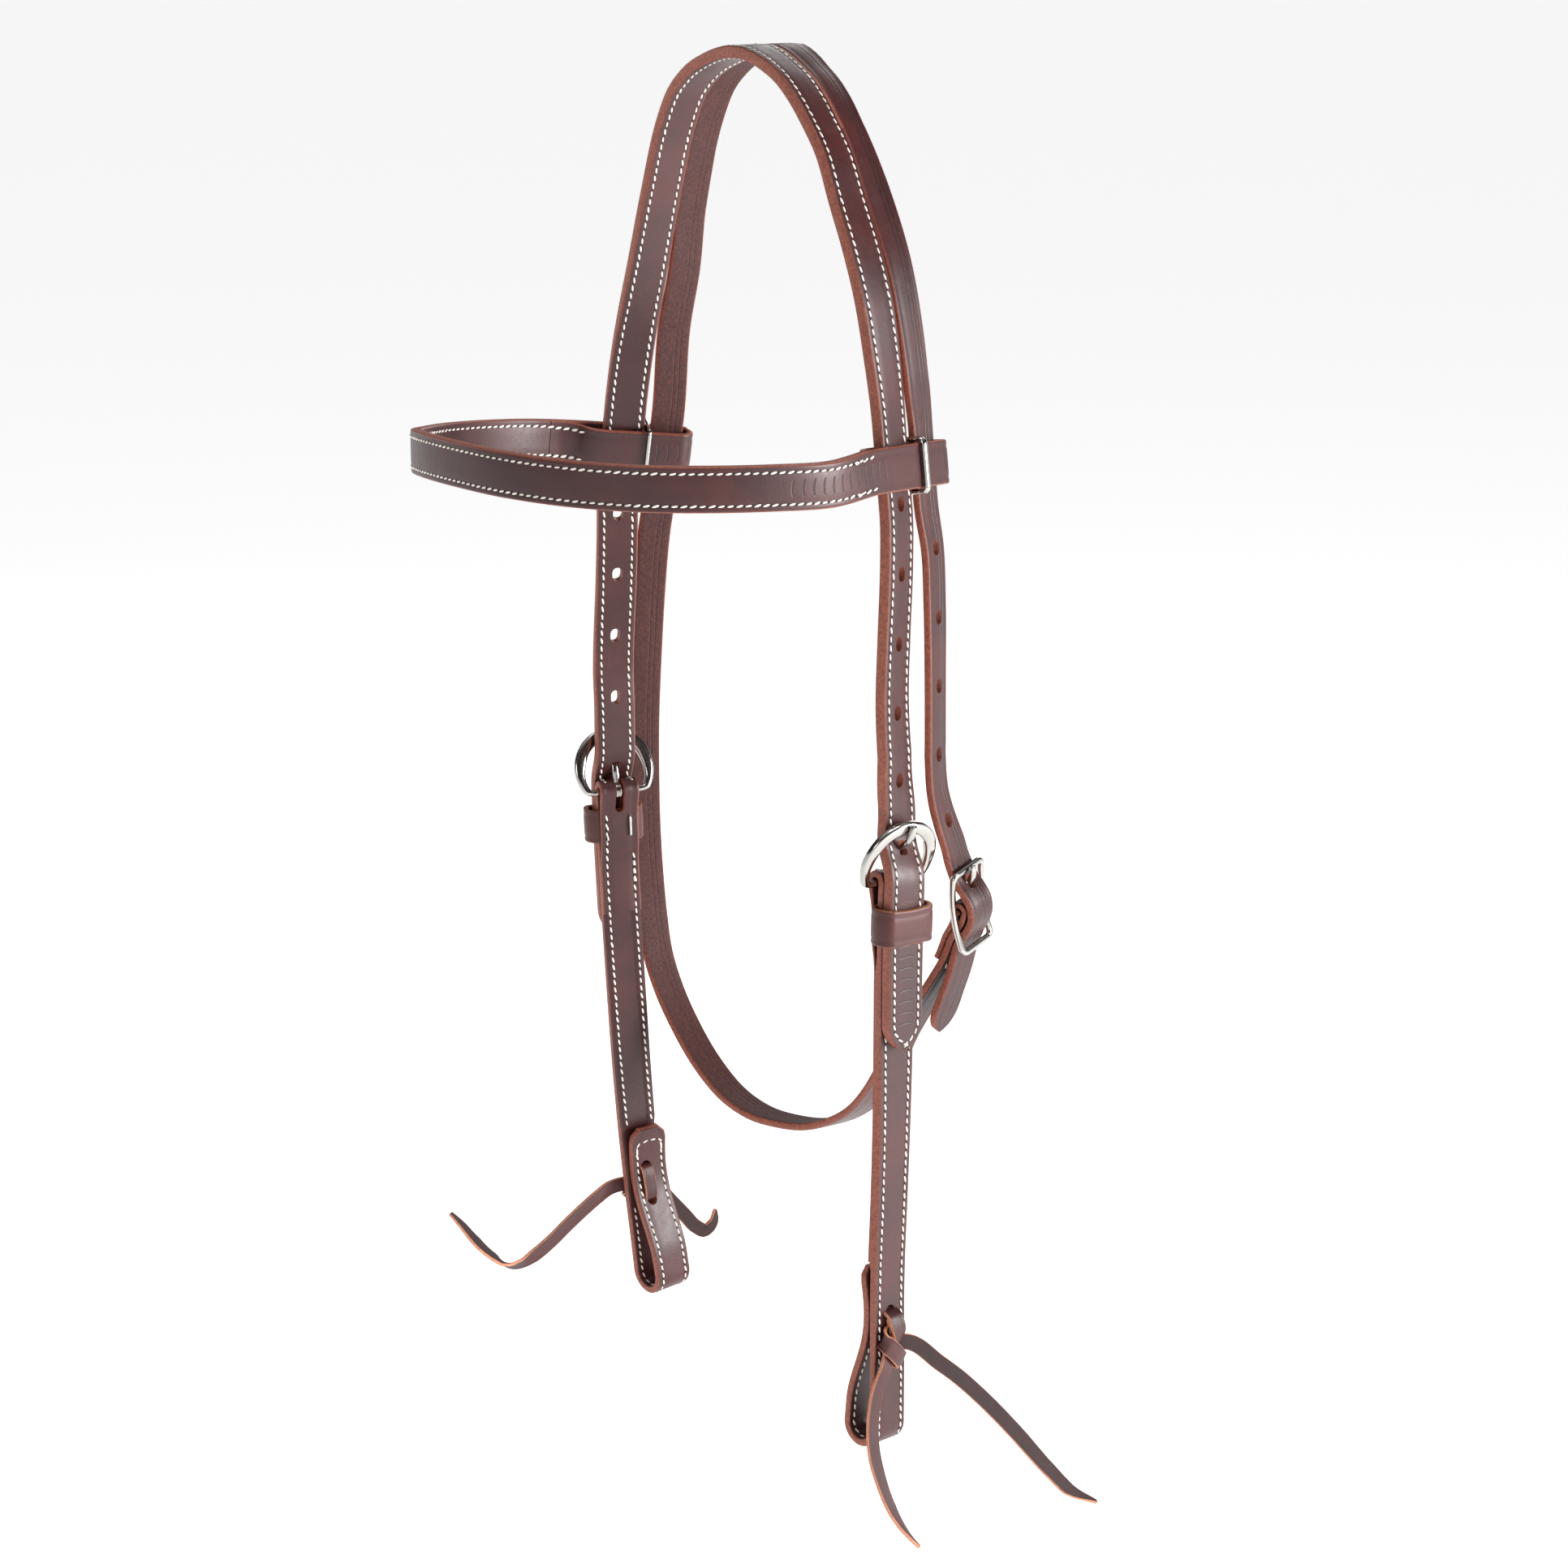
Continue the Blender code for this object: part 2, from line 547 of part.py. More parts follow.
def with_tip(path, half: float):
    """The path continued straight to a pointed tip, and the strap's half width at each place."""
    halves = [half] * len(path)
    (down, lift), (before, level) = path[-1], path[-2]
    slope = (lift - level) / (down - before)
    for along, width in TIP_SHARES:
        path = path + [(down + TIP_LENGTH * along, lift + TIP_LENGTH * along * slope)]
        halves.append(half * width)
    return path, halves


def crown_stations() -> List[float]:
    """Places along the front course between the two browband loops' lower ends."""
    top = spread(CREST_OFF, OFF_SPLIT, ARCH_STEP)
    low = spread(CREST_NEAR, NEAR_SPLIT, ARCH_STEP)
    return list(reversed(low)) + top


def front_strip(depth_top: float, depth_bottom: float):
    """Outline rows of the front half between two depths under the grain face."""
    rows = []
    half = STRAP_WIDTH / 2
    for leg in (NEAR_LEG, OFF_LEG):
        path, halves = with_tip(billet_path(CHEEK_TAIL), half)
        upper = offset(path, [depth_top] * len(path))
        lower = offset(path, [depth_bottom] * len(path))
        split = NEAR_SPLIT if leg is NEAR_LEG else OFF_SPLIT
        start = leg.origin + leg.sense * path[0][0]
        strap = [(leg.sense * (along - leg.origin), 0.0) for along in spread(split, start, STRAP_STEP)[1:-1]]
        plain = [(leg.at(d, -depth_bottom, 0), leg, d) for d, _ in strap]
        side = [[leg.at(d, -depth_bottom, -half), leg.at(d, -depth_top, -half),
                 leg.at(d, -depth_top, half), leg.at(d, -depth_bottom, half)] for _, leg, d in plain]
        side += [[leg.at(*lo, -w), leg.at(*up, -w), leg.at(*up, w), leg.at(*lo, w)]
                 for lo, up, w in zip(lower, upper, halves)]
        rows.append(side)
    near, off = rows
    middle = [[FRONT.at(s, -depth_bottom, -half), FRONT.at(s, -depth_top, -half),
               FRONT.at(s, -depth_top, half), FRONT.at(s, -depth_bottom, half)] for s in crown_stations()]
    return list(reversed(near)), middle, off


# Throat billet's grain face: (height above the centre bar as a share of half the frame, lift as a
# share of the lift over the fold), then its tail, in shares of the rest of its length.
THROAT_BILLET_SHARES = ((3.8, 0.0), (2.6, 0.16), (1.65, 0.31), (1.08, 0.325), (0.76, 0.43), (0.44, 0.775),
                        (0.19, 0.97), (0.0, 1.0), (-0.19, 0.97), (-0.44, 0.785), (-0.76, 0.47), (-1.0, 0.345),
                        (-1.27, 0.375))
THROAT_TAIL_SHARES = ((0.45, 0.55), (1.0, 0.80))
THROAT_BAR_RADIUS = FRAME_WIRE / 2
THROAT_FOLD = THROAT_BAR_RADIUS + BAR_GAP
THROAT_OVER = THROAT_BAR_LIFT + THROAT_FOLD + THROAT_FOLD_PLY + SEAM + PLY


def throat_billet_path():
    reach = (FRAME_HEIGHT - FRAME_WIRE) / 2
    path = [(-height * reach, lift * THROAT_OVER) for height, lift in THROAT_BILLET_SHARES]
    last = path[-1][0]
    rest = THROAT_TAIL - TIP_LENGTH - last
    path += [(last + along * rest, lift * THROAT_OVER) for along, lift in THROAT_TAIL_SHARES]
    return smoothed(path, BILLET_STEP * 0.7)


# The latch's grain face below the fold, and the returned ply's flesh side: shares of half the frame
# below the centre bar, and of the centre bar's lift.
LATCH_SHARES = ((0.13, 2.10), (0.32, 1.62), (0.57, 0.80), (0.76, 0.30), (0.92, 0.04), (1.08, 0.0))
LATCH_RETURN_SHARES = ((0.19, 0.38), (0.38, 0.02), (0.57, -0.50), (0.76, -0.97), (0.95, -1.16), (1.14, -1.18))


def throat_chape():
    """Grain and flesh paths of the latch's end, from the returned ply's end over the bar."""
    reach = (FRAME_HEIGHT - FRAME_WIRE) / 2
    inner = [(d * reach, lift * THROAT_BAR_LIFT) for d, lift in LATCH_RETURN_SHARES]
    ply = THROAT_FOLD_PLY
    inner = refined([(THROAT_RETURN, inner[-1][1])] + list(reversed(inner)), BILLET_STEP, 0)
    center = (0.0, THROAT_BAR_LIFT)
    fold = arc(center, THROAT_FOLD, -180, 0, 10)
    flesh = inner + fold
    grain = offset(flesh, [-ply] * len(flesh))
    outer = [(d * reach, lift * THROAT_BAR_LIFT) for d, lift in LATCH_SHARES]
    outer.append((THROAT_TAIL + 2 * BILLET_STEP, outer[-1][1]))
    joined = refined([grain[-1]] + outer, BILLET_STEP, outer[0][0] + BILLET_STEP / 2)
    below = offset(joined, [ply, ply, (ply + PLY) / 2] + [PLY] * (len(joined) - 3))
    return grain + joined[1:], flesh + below[1:]


def build_crown():
    """The split outer ply: both halves, joined over the poll between the two splits."""
    bm = bmesh.new()
    near, middle, off = front_strip(0, PLY)
    front_rings = near + middle + off
    first, last = len(near), len(near) + len(middle) - 1
    half, rear = STRAP_WIDTH / 2, THROAT_WIDTH / 2

    def rear_ring(point_at, down, lift_low, lift_high, width):
        return [point_at(down, lift_low, -width), point_at(down, lift_high, -width),
                point_at(down, lift_high, width), point_at(down, lift_low, width)]

    joined = []
    for s in crown_stations():
        joined.append([FRONT.at(s, -PLY, REAR_OFFSET - rear), FRONT.at(s, 0, REAR_OFFSET - rear),
                       FRONT.at(s, 0, REAR_OFFSET + rear), FRONT.at(s, -PLY, REAR_OFFSET + rear)])
    path, halves = with_tip(throat_billet_path(), rear)
    flesh = offset(path, [PLY] * len(path))
    start = THROAT_LEG.origin + THROAT_LEG.sense * path[0][0]
    billet = [rear_ring(THROAT.at, s, -PLY, 0, rear)
              for s in spread(THROAT_NEAR_END, start, STRAP_STEP)[1:-1]]
    billet += [[THROAT_LEG.at(*lo, -w), THROAT_LEG.at(*up, -w), THROAT_LEG.at(*up, w), THROAT_LEG.at(*lo, w)]
               for lo, up, w in zip(flesh, path, halves)]
    grain, flesh = throat_chape()
    chape = [[THROAT_LEG.at(*lo, -rear), THROAT_LEG.at(*up, -rear), THROAT_LEG.at(*up, rear),
              THROAT_LEG.at(*lo, rear)] for lo, up in zip(flesh, grain)]
    end = THROAT_LEG.origin + THROAT_LEG.sense * grain[-1][0]
    latch = [rear_ring(THROAT.at, s, -PLY, 0, rear) for s in spread(THROAT_OFF_START, end, STRAP_STEP)[1:-1]]
    rear_rings = list(reversed(billet)) + joined + latch + list(reversed(chape))
    rear_first = len(billet)

    front_rows = [[bm.verts.new(p) for p in ring] for ring in front_rings]
    rear_rows = [[bm.verts.new(p) for p in ring] for ring in rear_rings]

    def skin(rows, skip_wall, low, high):
        for i, (one, two) in enumerate(zip(rows, rows[1:])):
            for k in range(4):
                if k != skip_wall or not low <= i < high:
                    add_wall(bm, one, two, k)
        bm.faces.new(rows[0])
        bm.faces.new(list(reversed(rows[-1])))

    skin(front_rows, 2, first, last)
    skin(rear_rows, 0, rear_first, rear_first + last - first)
    for i in range(first, last):
        a, b = front_rows[i], front_rows[i + 1]
        c, d = rear_rows[i - first + rear_first], rear_rows[i - first + rear_first + 1]
        bm.faces.new((a[3], b[3], d[0], c[0]))
        bm.faces.new((a[2], b[2], d[1], c[1]))
    for i in (first, last):
        a, c = front_rows[i], rear_rows[i - first + rear_first]
        bm.faces.new((a[2], a[3], c[0], c[1]))
    return finish(bm, "crown_strap", LEATHER)


def build_crown_liner():
    near, middle, off = front_strip(PLY + SEAM, STACK)
    return loft("crown_liner", near + middle + off, LINING)


def prism(bm, leg, down, low, high, length, width, across=0.0, corners=5):
    """An oblong punch through a strap."""
    outline = []
    for end in (1, -1):
        for i in range(corners):
            turn = math.pi * (i / (corners - 1)) - math.pi / 2
            straight = (length - width) / 2
            outline.append((end * (straight + width / 2 * math.cos(turn)), end * width / 2 * math.sin(turn)))
    rings = []
    for lift in (low, high):
        rings.append([leg.at(down + d, lift, across + w) for d, w in outline])
    loft_into(bm, rings)


def tongue_punch(bm, leg, bar_lift: float, reach: float, shares, thickness: float):
    """The buckled hole, slanted the way the tongue passes; shares are (height, lift) from the bar."""
    low, high = [Vector((-height * reach, bar_lift + lift * reach)) for height, lift in shares]
    along = (high - low).normalized()
    aside = Vector((along.y, -along.x))
    low, high = low - along * HOLE_ROOM * 3, high + along * HOLE_ROOM * 3
    outline = round_outline(thickness / 2, TONGUE_WIDTH / 2 + HOLE_ROOM, HOLE_ROOM * 1.5, 3)
    loft_into(bm, [[leg.at(*(end + aside * a), b) for a, b in outline] for end in (low, high)])


def hole_cutter(name, punches, slanted=()):
    bm = bmesh.new()
    for punch in punches:
        prism(bm, **punch)
    for punch in slanted:
        tongue_punch(bm, **punch)
    return finish(bm, name, None)


TONGUE_HOLE_SHARE = 0.575     # buckled hole on the billet above the heel bar, of the ring's reach
THROAT_HOLE_SHARE = 0.630     # the same on the throat billet, of half the frame
HOLE_SHARES = ((0.370, 0.068), (0.612, 0.250))
THROAT_HOLE_SHARES = ((0.400, 0.072), (0.712, 0.215))


def punches(leg, first, count, low, high):
    rows = []
    for i in range(count):
        rows.append(dict(leg=leg, down=-first - (i + 1) * HOLE_PITCH, low=low, high=high,
                         length=PUNCH_LENGTH, width=PUNCH_WIDTH))
    return rows


def brow_course() -> Tuple[Course, float, float]:
    """Grain face of the browband, from behind the near straps round the front to the off side."""
    def anchor(sense, drop, gap, room):
        along = front_drop(drop, sense)
        lift = LOOP_CLEARANCE + PLY
        rear = STRAP_WIDTH / 2 + gap + THROAT_WIDTH + room
        _, travel, _, _ = FRONT.frame(along)
        up = travel * -sense
        rows = [(FRONT.at(along, lift, w), up) for w in (rear * 1.5, rear, 0, -STRAP_WIDTH / 2, -STRAP_WIDTH)]
        return rows

    near = anchor(-1, BROW_DROP, NEAR_GAP_AT_BROW, NEAR_TURN_ROOM)
    off = anchor(1, OFF_BROW_DROP, OFF_GAP_AT_BROW, -OFF_TURN_TUCK)
    rows = list(near)
    for x, y, z in BROW_SHARES:
        point = Vector((x * BROW_HALF_SPAN, -y * BROW_REACH, -z * BROW_DROP))
        rows.append((point, Vector((0, 0, 1))))
    rows += list(reversed(off))
    course = Course([r[0] for r in rows], [r[1] for r in rows])
    return course, float(course.knots[1]), float(course.knots[-2])


BROW_SHARES = ((1.010, 0.300, 1.000), (0.985, 0.460, 0.996), (0.905, 0.640, 0.992), (0.770, 0.790, 0.990),
               (0.580, 0.905, 0.987), (0.330, 0.980, 0.984), (0.040, 1.000, 0.984), (-0.250, 0.970, 0.992),
               (-0.500, 0.890, 1.010), (-0.700, 0.770, 1.032), (-0.850, 0.620, 1.048), (-0.935, 0.450, 1.062),
               (-0.960, 0.290, 1.074))
BROW, BROW_NEAR_TURN, BROW_OFF_TURN = brow_course()
LOOP_SPACE = STACK + 2 * LOOP_CLEARANCE
GLUED = PLY + SEAM
RETURN_LIFT = GLUED + LOOP_SPACE


RETURN_RAMP_SHARES = ((1.0, 0.0), (0.66, 0.16), (0.33, 0.72), (0.0, 1.0))


def brow_return(gap: float, room: float):
    """Flesh side of a returned ply as (along from the turn, depth), from its end to the turn."""
    loop_end = room + THROAT_WIDTH + gap + STRAP_WIDTH
    ramp = STRAP_WIDTH
    slope = [(loop_end + ramp * along, GLUED + LOOP_SPACE * deep) for along, deep in RETURN_RAMP_SHARES]
    return [(RETURN_LENGTH, GLUED)] + slope + [(0.0, RETURN_LIFT)]


def brow_turn(gap: float, room: float):
    """Grain and flesh paths of one end, from the returned ply's end to the outer ply."""
    flesh = [(-along, -depth) for along, depth in brow_return(gap, room)[:-1]]
    path = flesh + arc((0.0, -PLY - LOOP_SPACE / 2), LOOP_SPACE / 2, 180, 0, 10)
    depths = [LINER, LINER, (LINER + FOLD_PLY) / 2] + [FOLD_PLY] * (len(path) - 4) + [PLY]
    return offset(path, depths), path


def build_browband():
    half = STRAP_WIDTH / 2
    rows = []
    for sense, turn_at, gap, room in ((-1, BROW_NEAR_TURN, NEAR_GAP_AT_BROW, NEAR_TURN_ROOM),
                                      (1, BROW_OFF_TURN, OFF_GAP_AT_BROW, -OFF_TURN_TUCK)):
        leg = Leg(BROW, turn_at, sense)
        grain, flesh = brow_turn(gap, room)
        grain[-1] = (grain[-1][0], 0.0)
        rows.append([[leg.at(*lo, -half), leg.at(*up, -half), leg.at(*up, half), leg.at(*lo, half)]
                     for lo, up in zip(flesh, grain)])
    near, off = rows
    start, end = BROW_NEAR_TURN + RETURN_LENGTH + SEAM, BROW_OFF_TURN - RETURN_LENGTH - SEAM
    lined = spread(start, end, BROW_STEP)
    places = spread(BROW_NEAR_TURN, start, BROW_STEP)[1:-1] + lined
    places += spread(end, BROW_OFF_TURN, BROW_STEP)[1:-1]
    band = [[BROW.at(s, -PLY, -half), BROW.at(s, 0, -half), BROW.at(s, 0, half), BROW.at(s, -PLY, half)]
            for s in places]
    loft("browband_strap", near + band + list(reversed(off)), LEATHER)
    lining = [[BROW.at(s, -GLUED - LINER, -half), BROW.at(s, -GLUED, -half), BROW.at(s, -GLUED, half),
               BROW.at(s, -GLUED - LINER, half)] for s in lined]
    loft("browband_liner", lining, LINING)
    for name, turn_at, sense, gap, tuck in (
            ("near_browband_ring", BROW_NEAR_TURN, 1, NEAR_GAP_AT_BROW, NEAR_TURN_ROOM),
            ("off_browband_ring", BROW_OFF_TURN, -1, OFF_GAP_AT_BROW, -OFF_TURN_TUCK)):
        middle = turn_at + sense * (tuck + THROAT_WIDTH + gap / 2)
        room = WIRE / 2 + WIRE_GAP
        depth = PLY + LOOP_SPACE + FOLD_PLY
        outline = round_outline(depth / 2 + room, half + room, WIRE, 3)
        path = [BROW.at(middle, -depth / 2 + a, b) for a, b in outline]
        travel = BROW.frame(middle)[1]
        rings = wire_rings(path, WIRE / 2, 8, True, travel)
        loft(name, rings, NICKEL, closed=True, smooth=True)


KEEPER_POCKET = KEEPER_INNER_PLY + 2 * SEAM     # between the plies, where the keeper passes
RETURN_SHARES = ((0.35, 0.0, 1.0), (0.60, 0.0, 1.0), (0.68, 0.4, 0.5), (0.76, 0.85, 0.15), (0.84, 1.0, 0.0))


def cheek_paths(leg):
    """Grain and flesh paths of a cheek strap: returned end, fold, cheek, bit loop and tab."""
    center = (0.0, BAR_LIFT)
    pocket_top = KEEPER_DROP - KEEPER_HEIGHT / 2 - SEAM
    pocket_end = KEEPER_DROP + KEEPER_HEIGHT / 2 + SEAM
    deep = -PLY - KEEPER_POCKET
    flesh = [(CHAPE_RETURN, -GLUED), (pocket_end + KEEPER_HEIGHT * 0.55, -GLUED),
             (pocket_end + KEEPER_HEIGHT * 0.28, (deep - GLUED) / 2), (pocket_end, deep),
             (pocket_top, deep), (pocket_top - FOLD_RADIUS, deep - (FOLD_RADIUS - 2 * BAR_GAP) * 0.5)]
    depths = [LINER, LINER, LINER, LINER * 1.15, LINER * 1.3, FOLD_PLY * 0.85]
    turn = arc(center, FOLD_RADIUS, -180, 0, 10)
    flesh += turn
    depths += [FOLD_PLY + (PLY - FOLD_PLY) * i / (len(turn) - 1) for i in range(len(turn))]
    grain = offset(flesh, [-d for d in depths])
    grain[-1] = (0.0, 0.0)
    return grain, flesh


LOOP_SHARES = ((0.62, 0.10), (0.50, 0.36), (0.40, 0.62), (0.30, 0.84))


def loop_paths(bottom: float):
    """The bit loop and its tab below the plain cheek: grain and flesh paths from the outer run on."""
    radius = LOOP_DEPTH / 2
    top = bottom - TAB_TOP
    closed = -GLUED - PLY
    grain = [(top, 0.0), (bottom - TIE_UPPER, 0.0), (bottom - TIE_LOWER, 0.0), (bottom - LOOP_DEPTH, 0.0)]
    grain += arc((bottom - radius, -radius), radius, 0, 180, 13)
    inner = [(bottom - TAB_TOP * s, closed + (-LOOP_DEPTH - closed) * t) for s, t in reversed(LOOP_SHARES)]
    grain = grain + inner + [(bottom - TAB_TOP * 0.76, closed), (top + TIE_HOLE / 2, closed), (top, closed)]
    flesh = offset(grain, [PLY] * len(grain))
    return grain, flesh


def build_cheek(side: str, leg: Leg, bar_drop: float):
    half = STRAP_WIDTH / 2
    bottom = DROP - bar_drop
    grain, flesh = cheek_paths(leg)
    low_grain, low_flesh = loop_paths(bottom)
    lined = spread(CHAPE_RETURN + SEAM, bottom - TAB_TOP - SEAM, STRAP_STEP * 1.5)
    middle = spread(0.0, lined[0], STRAP_STEP * 1.5)[1:-1] + lined
    grain += [(d, 0.0) for d in middle] + low_grain
    flesh += [(d, -PLY) for d in middle] + low_flesh
    halves = [half] * (len(grain) - 2) + [half * 0.96, half * 0.62]
    skew = OFF_TAB_SKEW if side == "off" else 0
    turn = len(middle) + len(cheek_paths(leg)[0]) + 4
    skews = [skew * min(max((i - turn) / (len(grain) - turn - 3), 0), 1) for i in range(len(grain))]
    rings = sheet_rings(leg, grain, flesh, [(a - h, a + h) for a, h in zip(skews, halves)])
    strap = loft(side + "_cheek_strap", rings, LEATHER)

    slot = TONGUE_WIDTH + 2 * SLOT_ROOM
    above, below = FOLD_RADIUS + PLY + CUT, SLOT_LENGTH - FOLD_RADIUS - PLY
    under = BAR_LIFT - FOLD_RADIUS - PLY - CUT
    bm = bmesh.new()
    loft_into(bm, [[leg.at(down, under, -slot / 2), leg.at(down, CUT, -slot / 2), leg.at(down, CUT, slot / 2),
                    leg.at(down, under, slot / 2)] for down in (-above, below)])
    cut(strap, finish(bm, side + "_slot_cutter", None))

    ties = [dict(leg=leg, down=bottom - place, low=-LOOP_DEPTH - CUT, high=CUT, length=TIE_HOLE,
                 width=TIE_HOLE, corners=6) for place in (TIE_UPPER, TIE_LOWER)]
    cut(strap, hole_cutter(side + "_tie_cutter", ties))

    lining = [[leg.at(d, -STACK, -half), leg.at(d, -GLUED, -half), leg.at(d, -GLUED, half),
               leg.at(d, -STACK, half)] for d in lined]
    loft(side + "_cheek_liner", lining, LINING)
    return strap


def build_keeper(side: str, leg: Leg, strap):
    """A loop of leather round the billet, its inner run between the cheek strap's plies."""
    inner = -PLY - SEAM - KEEPER_INNER_PLY
    outer = OVER_LIFT + KEEPER_ROOM
    half = STRAP_WIDTH / 2 + KEEPER_ROOM
    mid = (outer + -PLY - SEAM) / 2
    loop = []
    for a, b in round_outline((outer + PLY + SEAM) / 2, half, KEEPER_ROOM * 1.2, 3):
        share = (a + mid + PLY + SEAM) / (outer + PLY + SEAM)
        bulge = KEEPER_BULGE * math.sin(math.pi * min(max(share, 0), 1)) * abs(b) / half
        loop.append((mid + a, b + math.copysign(bulge, b)))
    rings = []
    count = len(loop)
    for i, (lift, across) in enumerate(loop):
        before, after = loop[i - 1], loop[(i + 1) % count]
        travel = Vector((after[0] - before[0], after[1] - before[1])).normalized()
        normal = Vector((travel.y, -travel.x))
        share = min(max((lift + PLY + SEAM) / (outer + PLY + SEAM), 0), 1)
        ply = KEEPER_INNER_PLY + (KEEPER_PLY - KEEPER_INNER_PLY) * share
        far = (lift + normal.x * ply, across + normal.y * ply)
        if share == 0:
            far = (inner, far[1])
        ends = (KEEPER_DROP - KEEPER_HEIGHT / 2, KEEPER_DROP + KEEPER_HEIGHT / 2)
        rings.append([leg.at(ends[0], lift, across), leg.at(ends[0], *far), leg.at(ends[1], *far),
                      leg.at(ends[1], lift, across)])
    loft(side + "_keeper", rings, LEATHER, closed=True)

    surface = -PLY - KEEPER_POCKET - LINER * 1.3
    crown = surface - SEAM - STAPLE_WIRE / 2
    top, low = KEEPER_DROP - STAPLE_HEIGHT / 2, KEEPER_DROP + STAPLE_HEIGHT / 2
    leg_end = crown + STAPLE_LEG + STAPLE_WIRE / 2
    path = [leg.at(top, leg_end, STAPLE_ACROSS), leg.at(top, crown + STAPLE_WIRE * 0.5, STAPLE_ACROSS),
            leg.at(top + STAPLE_WIRE * 0.35, crown, STAPLE_ACROSS),
            leg.at(low - STAPLE_WIRE * 0.35, crown, STAPLE_ACROSS),
            leg.at(low, crown + STAPLE_WIRE * 0.5, STAPLE_ACROSS), leg.at(low, leg_end, STAPLE_ACROSS)]
    across = leg.course.frame(leg.origin + leg.sense * KEEPER_DROP)[3]
    loft(side + "_keeper_staple", wire_rings(path, STAPLE_WIRE / 2, 6, False, across), STEEL, smooth=True)
    size = STAPLE_WIRE + 2 * STAPLE_ROOM
    pins = [dict(leg=leg, down=down, low=surface - CUT / 4, high=-PLY - SEAM - KEEPER_INNER_PLY / 2,
                 length=size * 1.15, width=size * 1.15, across=STAPLE_ACROSS) for down in (top, low)]
    cut(strap, hole_cutter(side + "_staple_cutter", pins))


def band_ring(center, direction, spread_dir, width, thick, chamfer):
    """An eight-sided section: width along direction, thickness along spread_dir."""
    w, t = width / 2, thick / 2
    c = min(w, t) * chamfer
    corners = ((-w, -t + c), (-w + c, -t), (w - c, -t), (w, -t + c),
               (w, t - c), (w - c, t), (-w + c, t), (-w, t - c))
    return [center + direction * a + spread_dir * b for a, b in corners]


def build_round_buckle(side: str, leg: Leg):
    """A tilted ring whose heel is a straight bar; the origin is on the bar's axis."""
    tilt = Matrix.Rotation(-RING_TILT, 3, "X")
    mid = RING_RADIUS - RING_BAND / 2
    heel = RING_RADIUS - RING_HEEL_BAND / 2
    corner = math.acos(BAR_OFFSET / heel)
    rings = []
    steps = 28
    for i in range(steps + 1):
        turn = corner + (math.tau - 2 * corner) * i / steps
        share = min(i, steps - i) / (steps / 2)
        ease = min(share * 2.2, 1)
        radius = heel + (mid - heel) * ease
        width = RING_HEEL_BAND + (RING_BAND - RING_HEEL_BAND) * ease
        center = Vector((-radius * math.sin(turn), 0, BAR_OFFSET - radius * math.cos(turn)))
        outward = Vector((-math.sin(turn), 0, -math.cos(turn)))
        rings.append(band_ring(center, outward, Vector((0, 1, 0)), width, RING_THICKNESS, 0.62))
    inner = heel * math.sin(corner) - RING_HEEL_BAND
    for x in (inner, inner / 3, -inner / 3, -inner):
        rings.append(band_ring(Vector((x, 0, 0)), Vector((0, 0, -1)), Vector((0, 1, 0)), BAR_DIAMETER,
                               BAR_DIAMETER, 0.586))
    rings = [[tilt @ p for p in ring] for ring in rings]
    frame = leg.matrix(0, BAR_LIFT)
    return loft(side + "_cheek_buckle", rings, NICKEL, closed=True, frame=frame, smooth=True)


# Tongue's centreline in its buckle's plane: shares of the bar-to-bar reach, and of the rest height.
TONGUE_SHARES = ((0.175, -0.16), (0.29, -0.36), (0.43, -0.40), (0.59, -0.14), (0.735, 0.60), (0.876, 0.99),
                 (1.00, 1.02), (1.12, 0.98))
THROAT_TONGUE_SHARES = ((0.20, 0.30), (0.33, 0.28), (0.46, 0.20), (0.61, 0.42), (0.75, 0.86), (0.89, 1.04),
                        (1.02, 1.06), (1.15, 1.0))


def build_tongue(name, leg, lift, bar_radius, reach, tilt, rest, thick, shares):
    """A flat tongue curled round its bar; the origin is on the bar's axis."""
    radius = bar_radius + BAR_GAP + TONGUE_CURL / 2
    path, sizes = [], []
    for i in range(15):
        turn = math.radians(20 - 22 * i)
        path.append(Vector((0, radius * math.cos(turn), radius * math.sin(turn))))
        sizes.append((TONGUE_WIDTH, TONGUE_CURL))
    turn = Matrix.Rotation(-tilt, 3, "X")
    for k, (along, rise) in enumerate(shares):
        path.append(turn @ Vector((0, rise * rest, along * reach)))
        grow = min((k + 1) / 3, 1)
        width = TONGUE_WIDTH * (1 if k < len(shares) - 1 else 0.7)
        sizes.append((width, TONGUE_CURL + (thick - TONGUE_CURL) * grow))
    rings = []
    for i, (point, (width, depth)) in enumerate(zip(path, sizes)):
        travel = (path[min(i + 1, len(path) - 1)] - path[max(i - 1, 0)]).normalized()
        across = Vector((1, 0, 0))
        rings.append(band_ring(point, across, across.cross(travel).normalized(), width, depth, 0.5))
    return loft(name, rings, NICKEL, frame=leg.matrix(0, lift), smooth=True)


